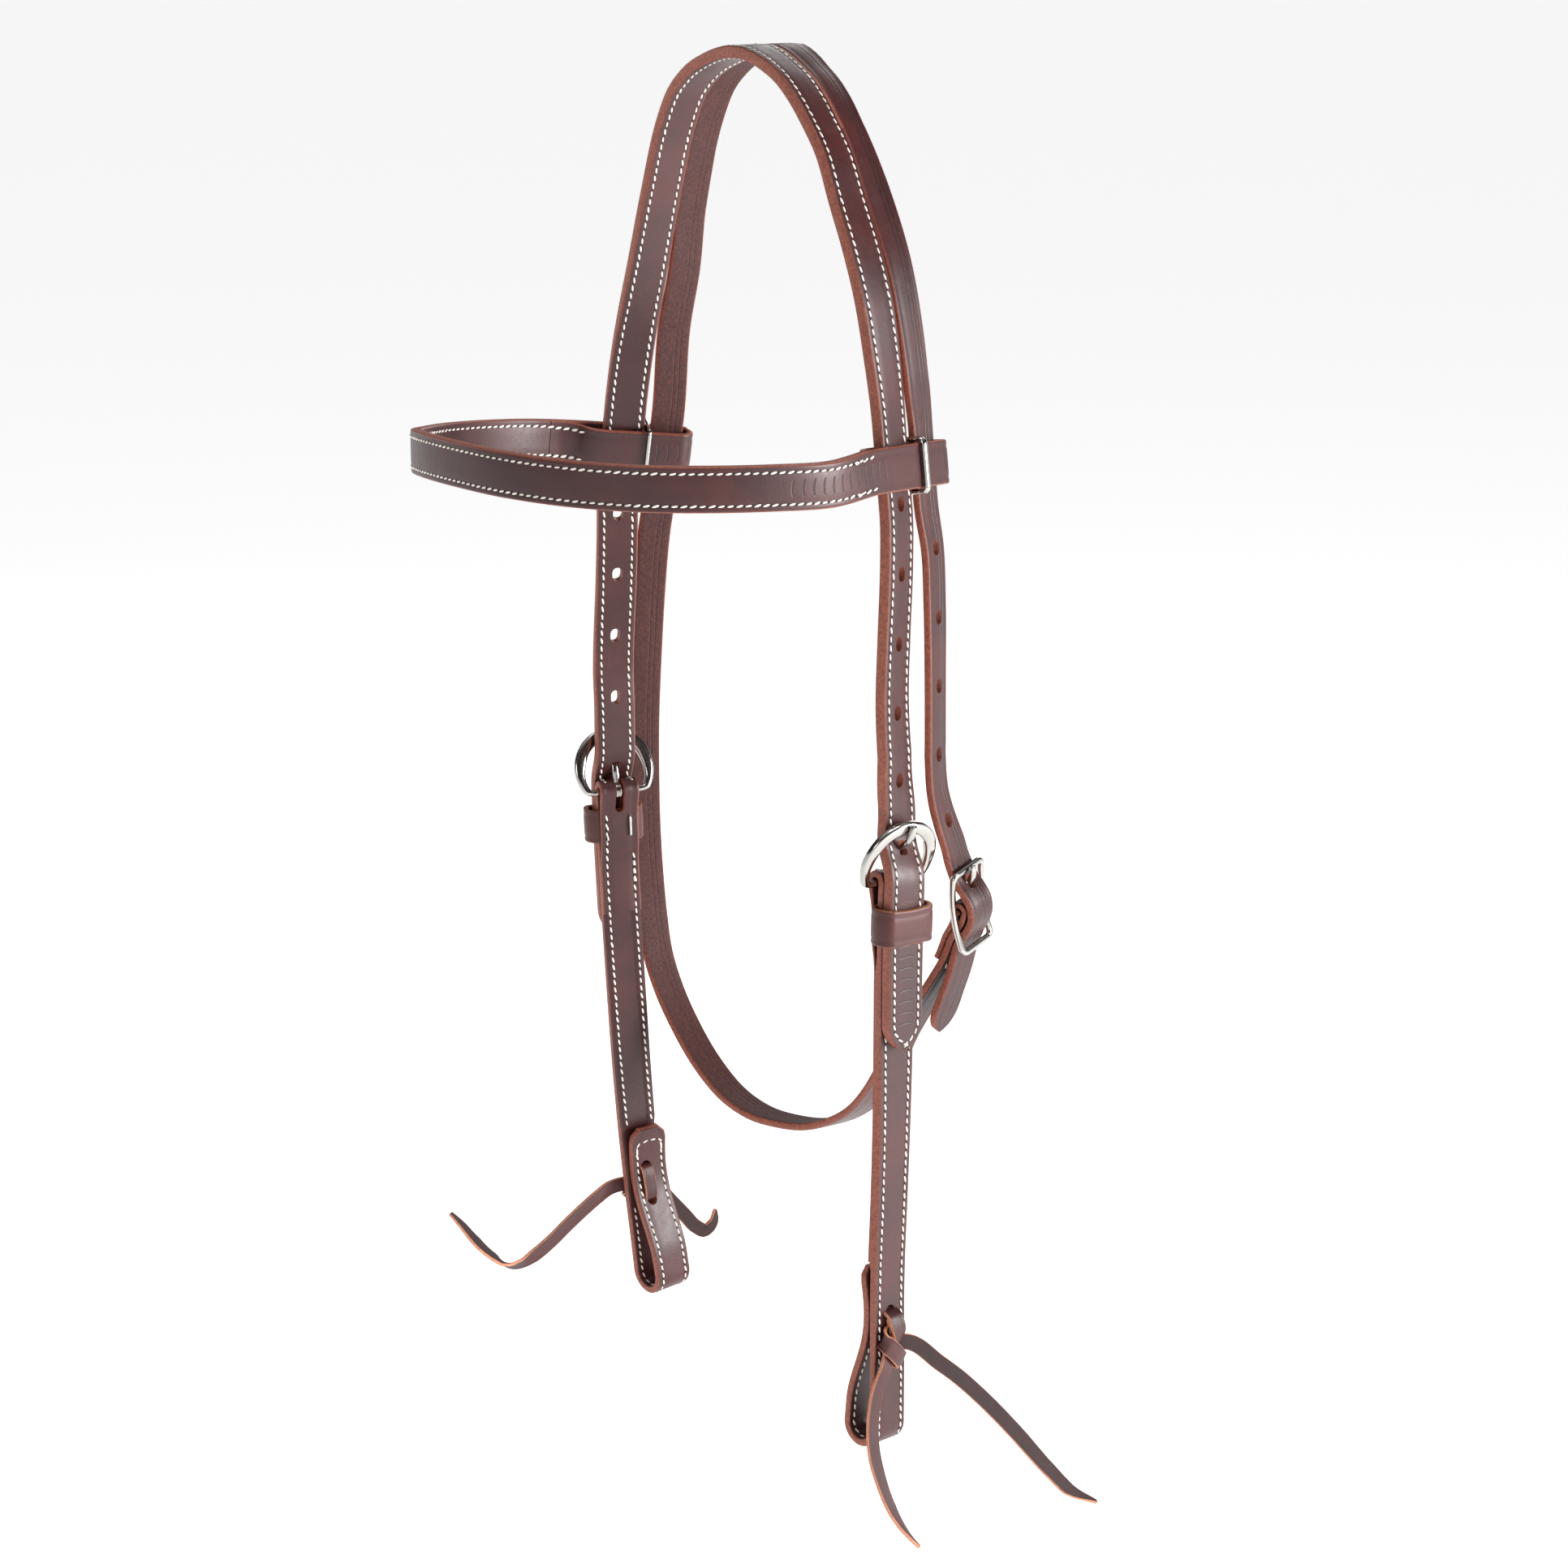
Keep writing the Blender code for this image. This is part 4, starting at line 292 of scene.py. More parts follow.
@dataclass(frozen=True)
class Layout:
    """Where the straps run: shares of the span, strap width and drop, and the turn in degrees."""

    near_side: Tuple[Tuple[float, ...], ...] = (
        (1.000, -0.26, 1.012, 8), (1.000, -0.26, 0.945, 8), (1.000, -0.26, 0.866, 9),
        (1.000, -0.19, 0.807, 9), (1.000, -0.14, 0.748, 7), (1.000, -0.12, 0.689, 4),
        (1.000, -0.11, 0.630, 3), (1.000, -0.07, 0.571, 3), (1.000, 0.02, 0.516, 12),
        (0.998, -0.09, 0.482, 18), (0.991, -0.14, 0.443, 20), (0.979, -0.05, 0.394, 21),
        (0.963, 0.08, 0.344, 21), (0.946, 0.14, 0.309, 21), (0.932, 0.14, 0.291, 21),
        (0.918, 0.14, 0.2736, 21), (0.903, 0.14, 0.2543, 21), (0.889, 0.14, 0.236, 20),
        (0.864, 0.08, 0.197, 12), (0.822, 0.03, 0.157, 6), (0.755, 0.00, 0.122, 2),
        (0.676, 0.00, 0.092, 0), (0.584, 0.00, 0.057, 0), (0.493, 0.00, 0.037, 0),
        (0.401, 0.00, 0.0205, 0), (0.303, 0.00, 0.0075, 0))
    crest: Tuple[Pair, ...] = ((0.224, 0.0010), (0.135, -0.0042), (0.045, -0.0071))
    near_leans: Tuple[float, ...] = (2, 5, 8, 11, 13, 13, 11, 9, 7, 3, 0)
    off_side: Tuple[Tuple[float, ...], ...] = (
        (0.303, 0.00, 0.0068, 0), (0.372, 0.00, 0.0145, 0), (0.448, 0.00, 0.0262, 0),
        (0.525, 0.00, 0.0475, 0), (0.582, 0.00, 0.0700, 0), (0.622, 0.00, 0.0910, 1),
        (0.664, 0.00, 0.1140, 3), (0.739, -0.03, 0.1620, 8), (0.790, -0.08, 0.1990, 15),
        (0.822, -0.13, 0.2290, 22), (0.861, -0.15, 0.2640, 24), (0.881, -0.15, 0.2830, 24),
        (0.902, -0.15, 0.3012, 24), (0.922, -0.15, 0.3203, 24), (0.943, -0.12, 0.3406, 24),
        (0.965, -0.06, 0.3740, 24), (0.984, -0.05, 0.4154, 21), (0.998, -0.10, 0.4685, 17),
        (1.000, -0.12, 0.5110, 14), (1.000, -0.10, 0.5710, 14), (1.000, -0.03, 0.6300, 14),
        (1.000, 0.07, 0.6890, 14), (1.000, 0.18, 0.7480, 12), (1.000, 0.30, 0.8070, 9),
        (1.000, 0.45, 0.8660, 5), (1.000, 0.62, 0.9200, 1), (1.000, 0.78, 0.9650, -2),
        (1.000, 0.92, 1.0120, -3))
    off_upper: Tuple[Tuple[float, ...], ...] = ((0.708, 0.93, 0.1985, 9), (0.764, 0.86, 0.2540, 16))
    off_lower: Tuple[Tuple[float, ...], ...] = (
        (0.911, 0.81, 0.4545, 24), (0.958, 0.84, 0.5120, 23), (1.010, 0.92, 0.5790, 20),
        (1.050, 1.00, 0.6340, 18), (1.068, 1.05, 0.6940, 16), (1.073, 1.09, 0.7460, 14),
        (1.066, 1.13, 0.7920, 12), (1.042, 1.16, 0.8400, 9), (1.010, 1.19, 0.8760, 6),
        (0.940, 1.23, 0.9080, 3), (0.835, 1.29, 0.9390, 0), (0.672, 1.36, 0.9720, 0),
        (0.512, 1.45, 0.9930, 0), (0.330, 1.55, 1.0020, 0), (0.145, 1.66, 1.0000, 0))
    near_lower: Tuple[Tuple[float, ...], ...] = (
        (0.020, 1.76, 0.9930, 0), (0.215, 1.83, 0.9740, 0), (0.344, 1.80, 0.9550, 0),
        (0.450, 1.71, 0.9340, 0), (0.5885, 1.60, 0.8971, 2), (0.708, 1.53, 0.8589, 6),
        (0.792, 1.62, 0.8301, 9), (0.849, 1.734, 0.8086, 11), (0.920, 1.966, 0.7739, 14),
        (0.9437, 2.014, 0.7560, 15), (0.9562, 1.958, 0.7400, 16))
    throat_bar: Tuple[float, ...] = (0.9625, 1.870, 0.7249, 16)
    near_upper: Tuple[Tuple[float, ...], ...] = (
        (0.9667, 1.780, 0.7098, 16), (0.9688, 1.689, 0.6947, 17), (0.9719, 1.504, 0.6739, 19),
        (0.9729, 1.282, 0.6483, 23), (0.9719, 1.139, 0.6227, 26), (0.9667, 1.148, 0.5751, 27),
        (0.948, 1.215, 0.5187, 27), (0.919, 1.310, 0.4560, 25), (0.895, 1.330, 0.4050, 24))
    near_top: Tuple[Tuple[float, ...], ...] = (
        (0.842, 1.05, 0.2600, 17), (0.806, 1.00, 0.2150, 13), (0.742, 0.97, 0.1660, 10),
        (0.632, 0.94, 0.1160, 6))
    brow: Tuple[Tuple[float, ...], ...] = (
        (1.010, 0.300, 1.000), (0.985, 0.460, 0.996), (0.905, 0.640, 0.992), (0.770, 0.790, 0.990),
        (0.580, 0.905, 0.987), (0.330, 0.980, 0.984), (0.040, 1.000, 0.984), (-0.250, 0.970, 0.992),
        (-0.500, 0.890, 1.010), (-0.700, 0.770, 1.032), (-0.850, 0.620, 1.048), (-0.935, 0.450, 1.062),
        (-0.960, 0.290, 1.074))
    near_split: float = 0.021
    off_split: float = 0.060
    near_gap: float = 0.0046
    off_gap: float = 0.0028
    near_turn_room: float = 0.0006
    off_turn_tuck: float = 0.0014
    loop_clearance: float = 0.0010


class Courses:
    """The front, throat and browband courses, with the legs that the pieces are read from."""

    def __init__(self, layout: Layout) -> None:
        """Work the courses out.

        Args:
            layout: Shares and turns of the straps.
        """
        self.layout = layout
        self.front, self.crests = self._front()
        self.crest = sum(self.crests) / 2
        self.legs = {side: Leg(self.front, self.front_drop(side.bar_drop, side.sense), side.sense)
                     for side in Side}
        self.rear_offset = (WIDTH + THROAT_WIDTH) / 2 + SPLIT_CUT
        self.splits = {Side.NEAR: self.front_drop(layout.near_split, -1),
                       Side.OFF: self.front_drop(layout.off_split, 1)}
        self.throat, bar = self._throat()
        self.throat_leg = Leg(self.throat, bar, -1)
        self.brow = self._brow()
        self.brow_turns = {Side.NEAR: float(self.brow.knots[1]), Side.OFF: float(self.brow.knots[-2])}

    def _front(self) -> Tuple[Course, Pair]:
        """The front course and the two places beside its crest."""
        lay = self.layout
        rows = [(x, y, z, turn, 1) for x, y, z, turn in lay.near_side]
        rows += [(x, 0, z, 0, 1) for x, z in lay.crest]
        rows += [(x, 0, z, 0, -1) for x, z in reversed(lay.crest)]
        rows += [(x, y, z, turn, -1) for x, y, z, turn in lay.off_side]
        points = [Vector((x * side * SPAN, y * WIDTH, -z * DROP)) for x, y, z, _, side in rows]
        widths = [heading(math.radians(turn) * side) for _, _, _, turn, side in rows]
        last = len(lay.near_side) + len(lay.crest)
        path = list(points)
        for i, lean in enumerate(lay.near_leans, last - len(lay.near_leans)):
            travel = (path[i + 1] - path[i - 1]).normalized()
            leant = Matrix.Rotation(math.radians(lean), 3, travel) @ widths[i]
            points[i] = path[i] + (leant - widths[i]) * (WIDTH / 2)
            widths[i] = leant
        trial = Course(points, widths)
        shift = trial.at(trial.knots[last - 1], -STACK, 0).z
        course = Course([p - Vector((0, 0, shift)) for p in points], widths)
        return course, (float(course.knots[last - 1]), float(course.knots[last]))

    def front_drop(self, drop: float, sense: int) -> float:
        """Where the front course is at a drop, on the near (-1) or off (+1) side."""
        end = 0 if sense < 0 else self.front.length
        return self.front.find(lambda p: p.z + drop, self.crest, end)

    def _rear_row(self, along: float, across: float) -> Tuple[Vector, Vector]:
        """A place on the crown's rear half, read from the front course."""
        return self.front.at(along, 0, across), self.front.frame(along)[3]

    def _brow_rows(self, sense: int, drop: float, gap: float) -> List[Tuple[Vector, Vector]]:
        """Places on the throat strap inside a browband loop."""
        across = (WIDTH + THROAT_WIDTH) / 2 + gap
        drops = (drop - sense * WIDTH, drop, drop + sense * WIDTH)
        return [self._rear_row(self.front_drop(d, sense), across) for d in drops]

    def _throat(self) -> Tuple[Course, float]:
        """The throat latch's course and the place of its buckle's bar."""
        lay = self.layout

        def row(item: Tuple[float, ...], side: int) -> Tuple[Vector, Vector]:
            x, y, z, turn = item
            point = Vector((x * side * SPAN, y * WIDTH, -z * THROAT_DEPTH))
            return point, heading(math.radians(turn) * side)

        off, near = self.splits[Side.OFF], self.splits[Side.NEAR]
        rows = [self._rear_row(off - WIDTH, self.rear_offset), self._rear_row(off, self.rear_offset)]
        rows += [row(r, -1) for r in lay.off_upper]
        rows += self._brow_rows(1, OFF_BROW_DROP, lay.off_gap)
        rows += [row(r, -1) for r in lay.off_lower] + [row(r, 1) for r in lay.near_lower]
        index = len(rows)
        rows += [row(lay.throat_bar, 1)] + [row(r, 1) for r in lay.near_upper]
        rows += self._brow_rows(-1, BROW_DROP, lay.near_gap)
        rows += [row(r, 1) for r in lay.near_top]
        rows += [self._rear_row(near, self.rear_offset), self._rear_row(near + WIDTH, self.rear_offset)]
        course = Course([r[0] for r in rows], [r[1] for r in rows])
        return course, float(course.knots[index])

    def _brow(self) -> Course:
        """The browband's course, from behind the near straps round the front to the off side."""
        lay = self.layout

        def anchor(sense: int, drop: float, gap: float, room: float) -> List[Tuple[Vector, Vector]]:
            along = self.front_drop(drop, sense)
            rear = WIDTH / 2 + gap + THROAT_WIDTH + room
            up = self.front.frame(along)[1] * -sense
            return [(self.front.at(along, lay.loop_clearance + PLY, w), up)
                    for w in (rear * 1.5, rear, 0, -WIDTH / 2, -WIDTH)]

        rows = anchor(-1, BROW_DROP, lay.near_gap, lay.near_turn_room)
        rows += [(Vector((x * BROW_HALF_SPAN, -y * BROW_REACH, -z * BROW_DROP)), Vector((0, 0, 1)))
                 for x, y, z in lay.brow]
        rows += list(reversed(anchor(1, OFF_BROW_DROP, lay.off_gap, -lay.off_turn_tuck)))
        return Course([r[0] for r in rows], [r[1] for r in rows])


# Meshes


@dataclass
class Cut:
    """A cross-section of a strap.

    Attributes:
        face: Middle of one face.
        depth: The way through to the other face.
        width: Widthwise direction.
        half: Half of the width.
        along: Distance down the strap, for the lay map.
        round_face: Radius of the edges at the face.
        round_back: Radius of the edges at the other face.
        shift: How far the section is moved widthwise.
        flesh: 1 where the other face is rough flesh side, 0 where it is grain.
        across_base: Added to the lay map's widthwise coordinate.
        tip: Share of a pointed tip's length, or -1 away from a tip.
    """

    face: Vector
    depth: Vector
    width: Vector
    half: float
    along: float = 0.0
    round_face: float = EDGE_ROUND
    round_back: float = EDGE_ROUND
    shift: float = 0.0
    flesh: float = 0.0
    across_base: float = 0.0
    tip: float = -1.0

    # Places on each face as shares, the swell between the stitch grooves, and the steps of an edge.
    FACE_PLACES = (-0.90, -0.77, -0.62, -0.3, 0.0, 0.3, 0.62, 0.77, 0.90)
    FACE_RISES = (0.4, -1.6, 0.6, 0.9, 1.0, 0.9, 0.6, -1.6, 0.4)
    BACK_PLACES = (0.75, 0.38, 0.0, -0.38, -0.75)
    DOME = 0.00010
    CORNER = 3
    EDGE_MASKS = (0.0, 0.5, 0.95, 1.0)

    def outline(self) -> List[Tuple[Vector, Pair, Pair]]:
        """Points round the section, each with its lay and side coordinates.

        Returns:
            (point, (along, across), (edge, flesh)) for each point: front edge, face, rear edge, back.
        """
        thick = self.depth.length
        way = self.depth / thick
        points = []

        def add(down: float, across: float, edge: float, back: float) -> None:
            place = self.face + way * down + self.width * (across + self.shift)
            points.append((place, (self.along, self.across_base + across), (edge, self.flesh * back)))

        half = self.half
        face_r = min(self.round_face, half * 0.8, thick * 0.48)
        back_r = min(self.round_back, half * 0.8, thick * 0.48)
        turns = [(math.pi / 2 * i / self.CORNER, mask) for i, mask in enumerate(self.EDGE_MASKS)]
        rounding = [(face_r * (1 - math.cos(t)), half - face_r + face_r * math.sin(t), m)
                    for t, m in turns]
        backing = [(thick - back_r * (1 - math.cos(t)), half - back_r + back_r * math.sin(t), m)
                   for t, m in turns]
        for down, across, mask in backing:
            add(down, -across, mask, 1.0)
        for down, across, mask in reversed(rounding):
            add(down, -across, mask, 0.0)
        for share, rise in zip(self.FACE_PLACES, self.FACE_RISES):
            add(-self.DOME * rise * min(half / (WIDTH / 2), 1), (half - face_r) * share, 0.0, 0.0)
        for down, across, mask in rounding:
            add(down, across, mask, 0.0)
        for down, across, mask in reversed(backing):
            add(down, across, mask, 1.0)
        for share in self.BACK_PLACES:
            add(thick, (half - back_r) * share, 0.0, 1.0)
        return points


def sections(leg: Leg, face: Sequence[Pair], back: Sequence[Pair], **looks: float) -> List[Cut]:
    """Full-width cross-sections between two paths read from a leg.

    Args:
        leg: The leg.
        face: The face's places as (down, lift).
        back: The other face's places, one for each.
        looks: Values that every section takes.

    Returns:
        The sections, with the distance along the face at each.
    """
    cuts: List[Cut] = []
    along = 0.0
    for (face_down, face_lift), (back_down, back_lift) in zip(face, back):
        place = leg.at(face_down, face_lift, 0)
        along += (place - cuts[-1].face).length if cuts else 0.0
        width = (leg.at(face_down, face_lift, WIDTH) - place) / WIDTH
        depth = leg.at(back_down, back_lift, 0) - place
        cuts.append(Cut(place, depth, width, WIDTH / 2, along, **looks))
    return cuts


def stand(name: str, data: Any) -> bpy.types.Object:
    """Add an object to the scene."""
    obj = bpy.data.objects.new(name, data)
    bpy.context.scene.collection.objects.link(obj)
    return obj


class Skin:
    """Builds a mesh from cross-sections, with its lay and side coordinates."""

    def __init__(self) -> None:
        """Start an empty mesh."""
        self.bm = bmesh.new()
        self.lay = self.bm.loops.layers.uv.new("lay")
        self.side = self.bm.loops.layers.uv.new("side")
        self.notes: Dict[Any, Tuple[Pair, Pair]] = {}
        self.bare = False

    def row(self, cut: Cut) -> List[Any]:
        """Add one section's points."""
        made = []
        for place, lay, side in cut.outline():
            vert = self.bm.verts.new(place)
            self.notes[vert] = (lay, side)
            made.append(vert)
        return made

    def face(self, verts: Sequence[Any]) -> None:
        """Add a face and carry the points' coordinates to its corners."""
        made = self.bm.faces.new(verts)
        for loop in made.loops:
            lay, side = self.notes[loop.vert]
            loop[self.lay].uv = lay
            loop[self.side].uv = side

    def body(self, cuts: Sequence[Cut], closed: bool = False) -> None:
        """Skin one body from its cuts."""
        self.walls([self.row(cut) for cut in cuts], closed)

    def walls(self, rows: List[List[Any]], closed: bool = False, open_at: Sequence[int] = (),
              first: int = 0, last: int = 0) -> None:
        """Skin between rows.

        Args:
            rows: Points of each section.
            closed: Whether the last row meets the first.
            open_at: Walls that are left out between the rows first and last.
            first: First row of the open stretch.
            last: Last row of the open stretch.
        """
        count = len(rows[0])
        for i, (one, two) in enumerate(zip(rows, rows[1:] + (rows[:1] if closed else []))):
            for k in range(count):
                if not (k in open_at and first <= i < last):
                    j = (k + 1) % count
                    self.face((one[k], one[j], two[j], two[k]))
        if not closed:
            self.cap(rows[0])
            self.cap(list(reversed(rows[-1])))

    def cap(self, ring: Sequence[Any]) -> None:
        """Close an end: a fan coloured as a cut edge, or one face where the outline is bare."""
        if self.bare:
            self.face(ring)
            return
        middle = self.bm.verts.new(sum((v.co for v in ring), Vector()) / len(ring))
        along = self.notes[ring[0]][0]
        self.notes[middle] = (along, (1.0, 0.0))
        for k, vert in enumerate(ring):
            self.face((ring[(k + 1) % len(ring)], vert, middle))

    def plain(self, rings: Sequence[Sequence[Vector]], closed: bool = False) -> None:
        """Skin bare outlines, as for metal and cutters."""
        self.bare, rows = True, []
        for ring in rings:
            rows.append([self.bm.verts.new(p) for p in ring])
            self.notes.update((vert, ((0.0, 0.0), (1.0, 0.0))) for vert in rows[-1])
        self.walls(rows, closed)
        self.bare = False

    def finish(self, name: str, frame: Optional[Matrix] = None,
               sharp: float = SHARP) -> bpy.types.Object:
        """Make the object.

        Args:
            name: Piece name.
            frame: Place that is applied to the mesh.
            sharp: Angle in degrees past which an edge stays sharp.

        Returns:
            The object, its normals outward and its faces smooth.
        """
        bmesh.ops.recalc_face_normals(self.bm, faces=self.bm.faces)
        mesh = bpy.data.meshes.new(name)
        self.bm.to_mesh(mesh)
        self.bm.free()
        if frame is not None:
            mesh.transform(frame)
        mesh.shade_smooth()
        mesh.set_sharp_from_angle(angle=math.radians(sharp))
        return stand(name, mesh)


def flatten(obj: bpy.types.Object) -> bpy.types.Object:
    """Replace an object's mesh by its evaluated one and drop its modifiers."""
    graph = bpy.context.evaluated_depsgraph_get()
    graph.update()
    mesh = bpy.data.meshes.new_from_object(obj.evaluated_get(graph))
    obj.modifiers.clear()
    obj.data = mesh
    return obj


def punch(obj: bpy.types.Object, cutters: Sequence[bpy.types.Object]) -> bpy.types.Object:
    """Cut holes through a piece and keep only the result."""
    for cutter in cutters:
        step = obj.modifiers.new(cutter.name, "BOOLEAN")
        step.operation, step.object, step.solver = "DIFFERENCE", cutter, "EXACT"
    flatten(obj)
    obj.data.shade_smooth()
    obj.data.set_sharp_from_angle(angle=math.radians(SHARP))
    for cutter in cutters:
        bpy.data.objects.remove(cutter, do_unlink=True)
    return obj


def prism(skin: Skin, leg: Leg, down: float, low: float, length: float, width: float) -> None:
    """An oblong punch through a strap.

    Args:
        skin: The cutter's mesh.
        leg: The strap's leg.
        down: Middle of the hole.
        low: How deep the punch goes, as a lift; it starts above the grain face.
        length: Length of the hole.
        width: Width of the hole.
    """
    outline, steps, straight = [], 8, (length - width) / 2
    for end in (1, -1):
        for i in range(steps + 1):
            turn = math.pi * i / steps - math.pi / 2
            outline.append((end * (straight + width / 2 * math.cos(turn)),
                            end * width / 2 * math.sin(turn)))
    skin.plain([[leg.at(down + d, lift, w) for d, w in outline] for lift in (low, PUNCH_DEPTH)])


@dataclass
class Row:
    """A line of stitches: its places and the outward direction at each."""

    places: List[Vector] = field(default_factory=list)
    outs: List[Vector] = field(default_factory=list)

    def add(self, place: Vector, out: Vector) -> None:
        """Add one place."""
        self.places.append(place)
        self.outs.append(out.normalized())


def backstitch(row: Row, end: int) -> Row:
    """Three more stitches over a row's end.

    Args:
        row: The row.
        end: 0 for its first end, -1 for its last.

    Returns:
        A short row, a little to one side and above.
    """
    extra, reach, aside = Row(), 0.0105, 0.00028
    pairs = list(zip(row.places, row.outs))
    gone, before = 0.0, None
    for place, out in (reversed(pairs) if end else pairs):
        step = Vector() if before is None else place - before
        gone += step.length
        if gone > reach:
            break
        extra.add(place + out.cross(step.normalized()) * aside + out * aside, out)
        before = place
    return extra


def face_row(cuts: Sequence[Cut], side: int, back: bool = False) -> Row:
    """A stitch row along a face of a strap.

    Args:
        cuts: The strap's sections.
        side: -1 for the front edge's row, +1 for the rear edge's.
        back: Whether the row is on the back face.

    Returns:
        The row, INSET from the edge, meeting the middle where the strap narrows.
    """
    row, short, past = Row(), 1.25, 1.12  # The row's own tip is shorter, and ends where its sides meet.
    for cut in cuts:
        reach = cut.half - INSET
        if cut.tip >= 0:
            share = cut.tip * TIP / (TIP - short * INSET)
            if share > past:
                continue
            reach = (WIDTH / 2 - INSET) * (tip_share(share) if share < 1 else 0.0)
        across = max(reach, 0.0) * side + cut.shift
        out = -cut.depth.normalized()
        place = cut.face + cut.width * across
        if back:
            place, out = place + cut.depth, -out
        row.add(place + out * THREAD_LIFT, out)
    return row


# Shader maths


class Value:
    """A shader socket with arithmetic."""

    def __init__(self, finish: "Finish", socket: Any) -> None:
        """Keep the socket and the finish that it belongs to."""
        self.finish, self.socket = finish, socket

    def _math(self, operation: str, *inputs: Any) -> "Value":
        """One Math node."""
        return self.finish.node("ShaderNodeMath", {"operation": operation}, inputs)

    def __add__(self, other: Any) -> "Value":
        """Sum."""
        return self._math("ADD", self, other)

    __radd__ = __add__

    def __mul__(self, other: Any) -> "Value":
        """Product."""
        return self._math("MULTIPLY", self, other)

    __rmul__ = __mul__

    def __sub__(self, other: Any) -> "Value":
        """Difference."""
        return self._math("SUBTRACT", self, other)

    def __rsub__(self, other: Any) -> "Value":
        """Difference, this value second."""
        return self._math("SUBTRACT", other, self)

    def __truediv__(self, other: Any) -> "Value":
        """Quotient."""
        return self._math("DIVIDE", self, other)

    def size(self) -> "Value":
        """Absolute value."""
        return self._math("ABSOLUTE", self)

    def part(self) -> "Value":
        """Fraction."""
        return self._math("FRACT", self)

    def within(self, low: float, high: float) -> "Value":
        """0 below low, 1 above high, and smooth between."""
        return self.finish.node("ShaderNodeMapRange", {"interpolation_type": "SMOOTHSTEP"},
                                {"Value": self, "From Min": low, "From Max": high})


@dataclass(frozen=True)
class Finish:
    """A material built from nodes; its subclasses say what changes over the surface."""

    name: str

    def make(self) -> bpy.types.Material:
        """The material."""
        made = bpy.data.materials.new(self.name)
        made.use_nodes = True
        object.__setattr__(self, "tree", made.node_tree)
        shader = made.node_tree.nodes["Principled BSDF"]
        self.dress(shader)
        return made

    def dress(self, shader: Any) -> None:
        """Set the shader's sockets."""
        raise NotImplementedError

    def node(self, kind: str, settings: Optional[Dict[str, Any]] = None, inputs: Any = (),
             output: Any = 0) -> Value:
        """Add a node.

        Args:
            kind: Node type.
            settings: Properties that are set first.
            inputs: Values or links by position or name.
            output: Output socket, by position or name.

        Returns:
            The output as a value.
        """
        made = self.tree.nodes.new(kind)
        for key, value in (settings or {}).items():
            setattr(made, key, value)
        pairs = inputs.items() if isinstance(inputs, dict) else enumerate(inputs)
        for key, value in pairs:
            self.link(value, made.inputs[key])
        return Value(self, made.outputs[output])

    def link(self, value: Any, socket: Any) -> None:
        """Join a value to a socket, or set the socket's own number or colour."""
        if isinstance(value, Value):
            self.tree.links.new(value.socket, socket)
        elif isinstance(value, tuple) and len(socket.default_value) > len(value):
            socket.default_value = (*value, 1)
        else:
            socket.default_value = value

    def objects(self) -> Value:
        """Object coordinates."""
        return self.node("ShaderNodeTexCoord", output="Object")

    def chart(self, name: str) -> Tuple[Value, Value]:
        """The two coordinates of one of the piece's own maps."""
        uv = self.node("ShaderNodeUVMap", {"uv_map": name})
        return (self.node("ShaderNodeSeparateXYZ", inputs=[uv], output="X"),
                self.node("ShaderNodeSeparateXYZ", inputs=[uv], output="Y"))

    def vector(self, x: Any, y: Any, z: Any = 0.0) -> Value:
        """A vector from three values."""
        return self.node("ShaderNodeCombineXYZ", inputs=[x, y, z])

    def noise(self, place: Value, scale: float, detail: float = 3.0, rough: float = 0.55) -> Value:
        """Noise from 0 to 1."""
        inputs = {"Vector": place, "Scale": scale, "Detail": detail, "Roughness": rough}
        return self.node("ShaderNodeTexNoise", inputs=inputs, output="Fac")

    def cells(self, place: Value, scale: float) -> Value:
        """Distance to the nearest of scattered points."""
        return self.node("ShaderNodeTexVoronoi", {"feature": "F1"}, {"Vector": place, "Scale": scale},
                         output="Distance")

    def mix(self, share: Any, one: Any, two: Any) -> Value:
        """Mix two colours."""
        made = self.tree.nodes.new("ShaderNodeMix")
        made.data_type = "RGBA"
        self.link(share, made.inputs["Factor"])
        for colour, socket in zip((one, two), [s for s in made.inputs if s.type == "RGBA"]):
            self.link(colour, socket)
        return Value(self, [s for s in made.outputs if s.type == "RGBA"][0])

    def bump(self, height: Value, distance: float, strength: float) -> Value:
        """A normal from a height."""
        return self.node("ShaderNodeBump",
                         inputs={"Height": height, "Distance": distance, "Strength": strength})


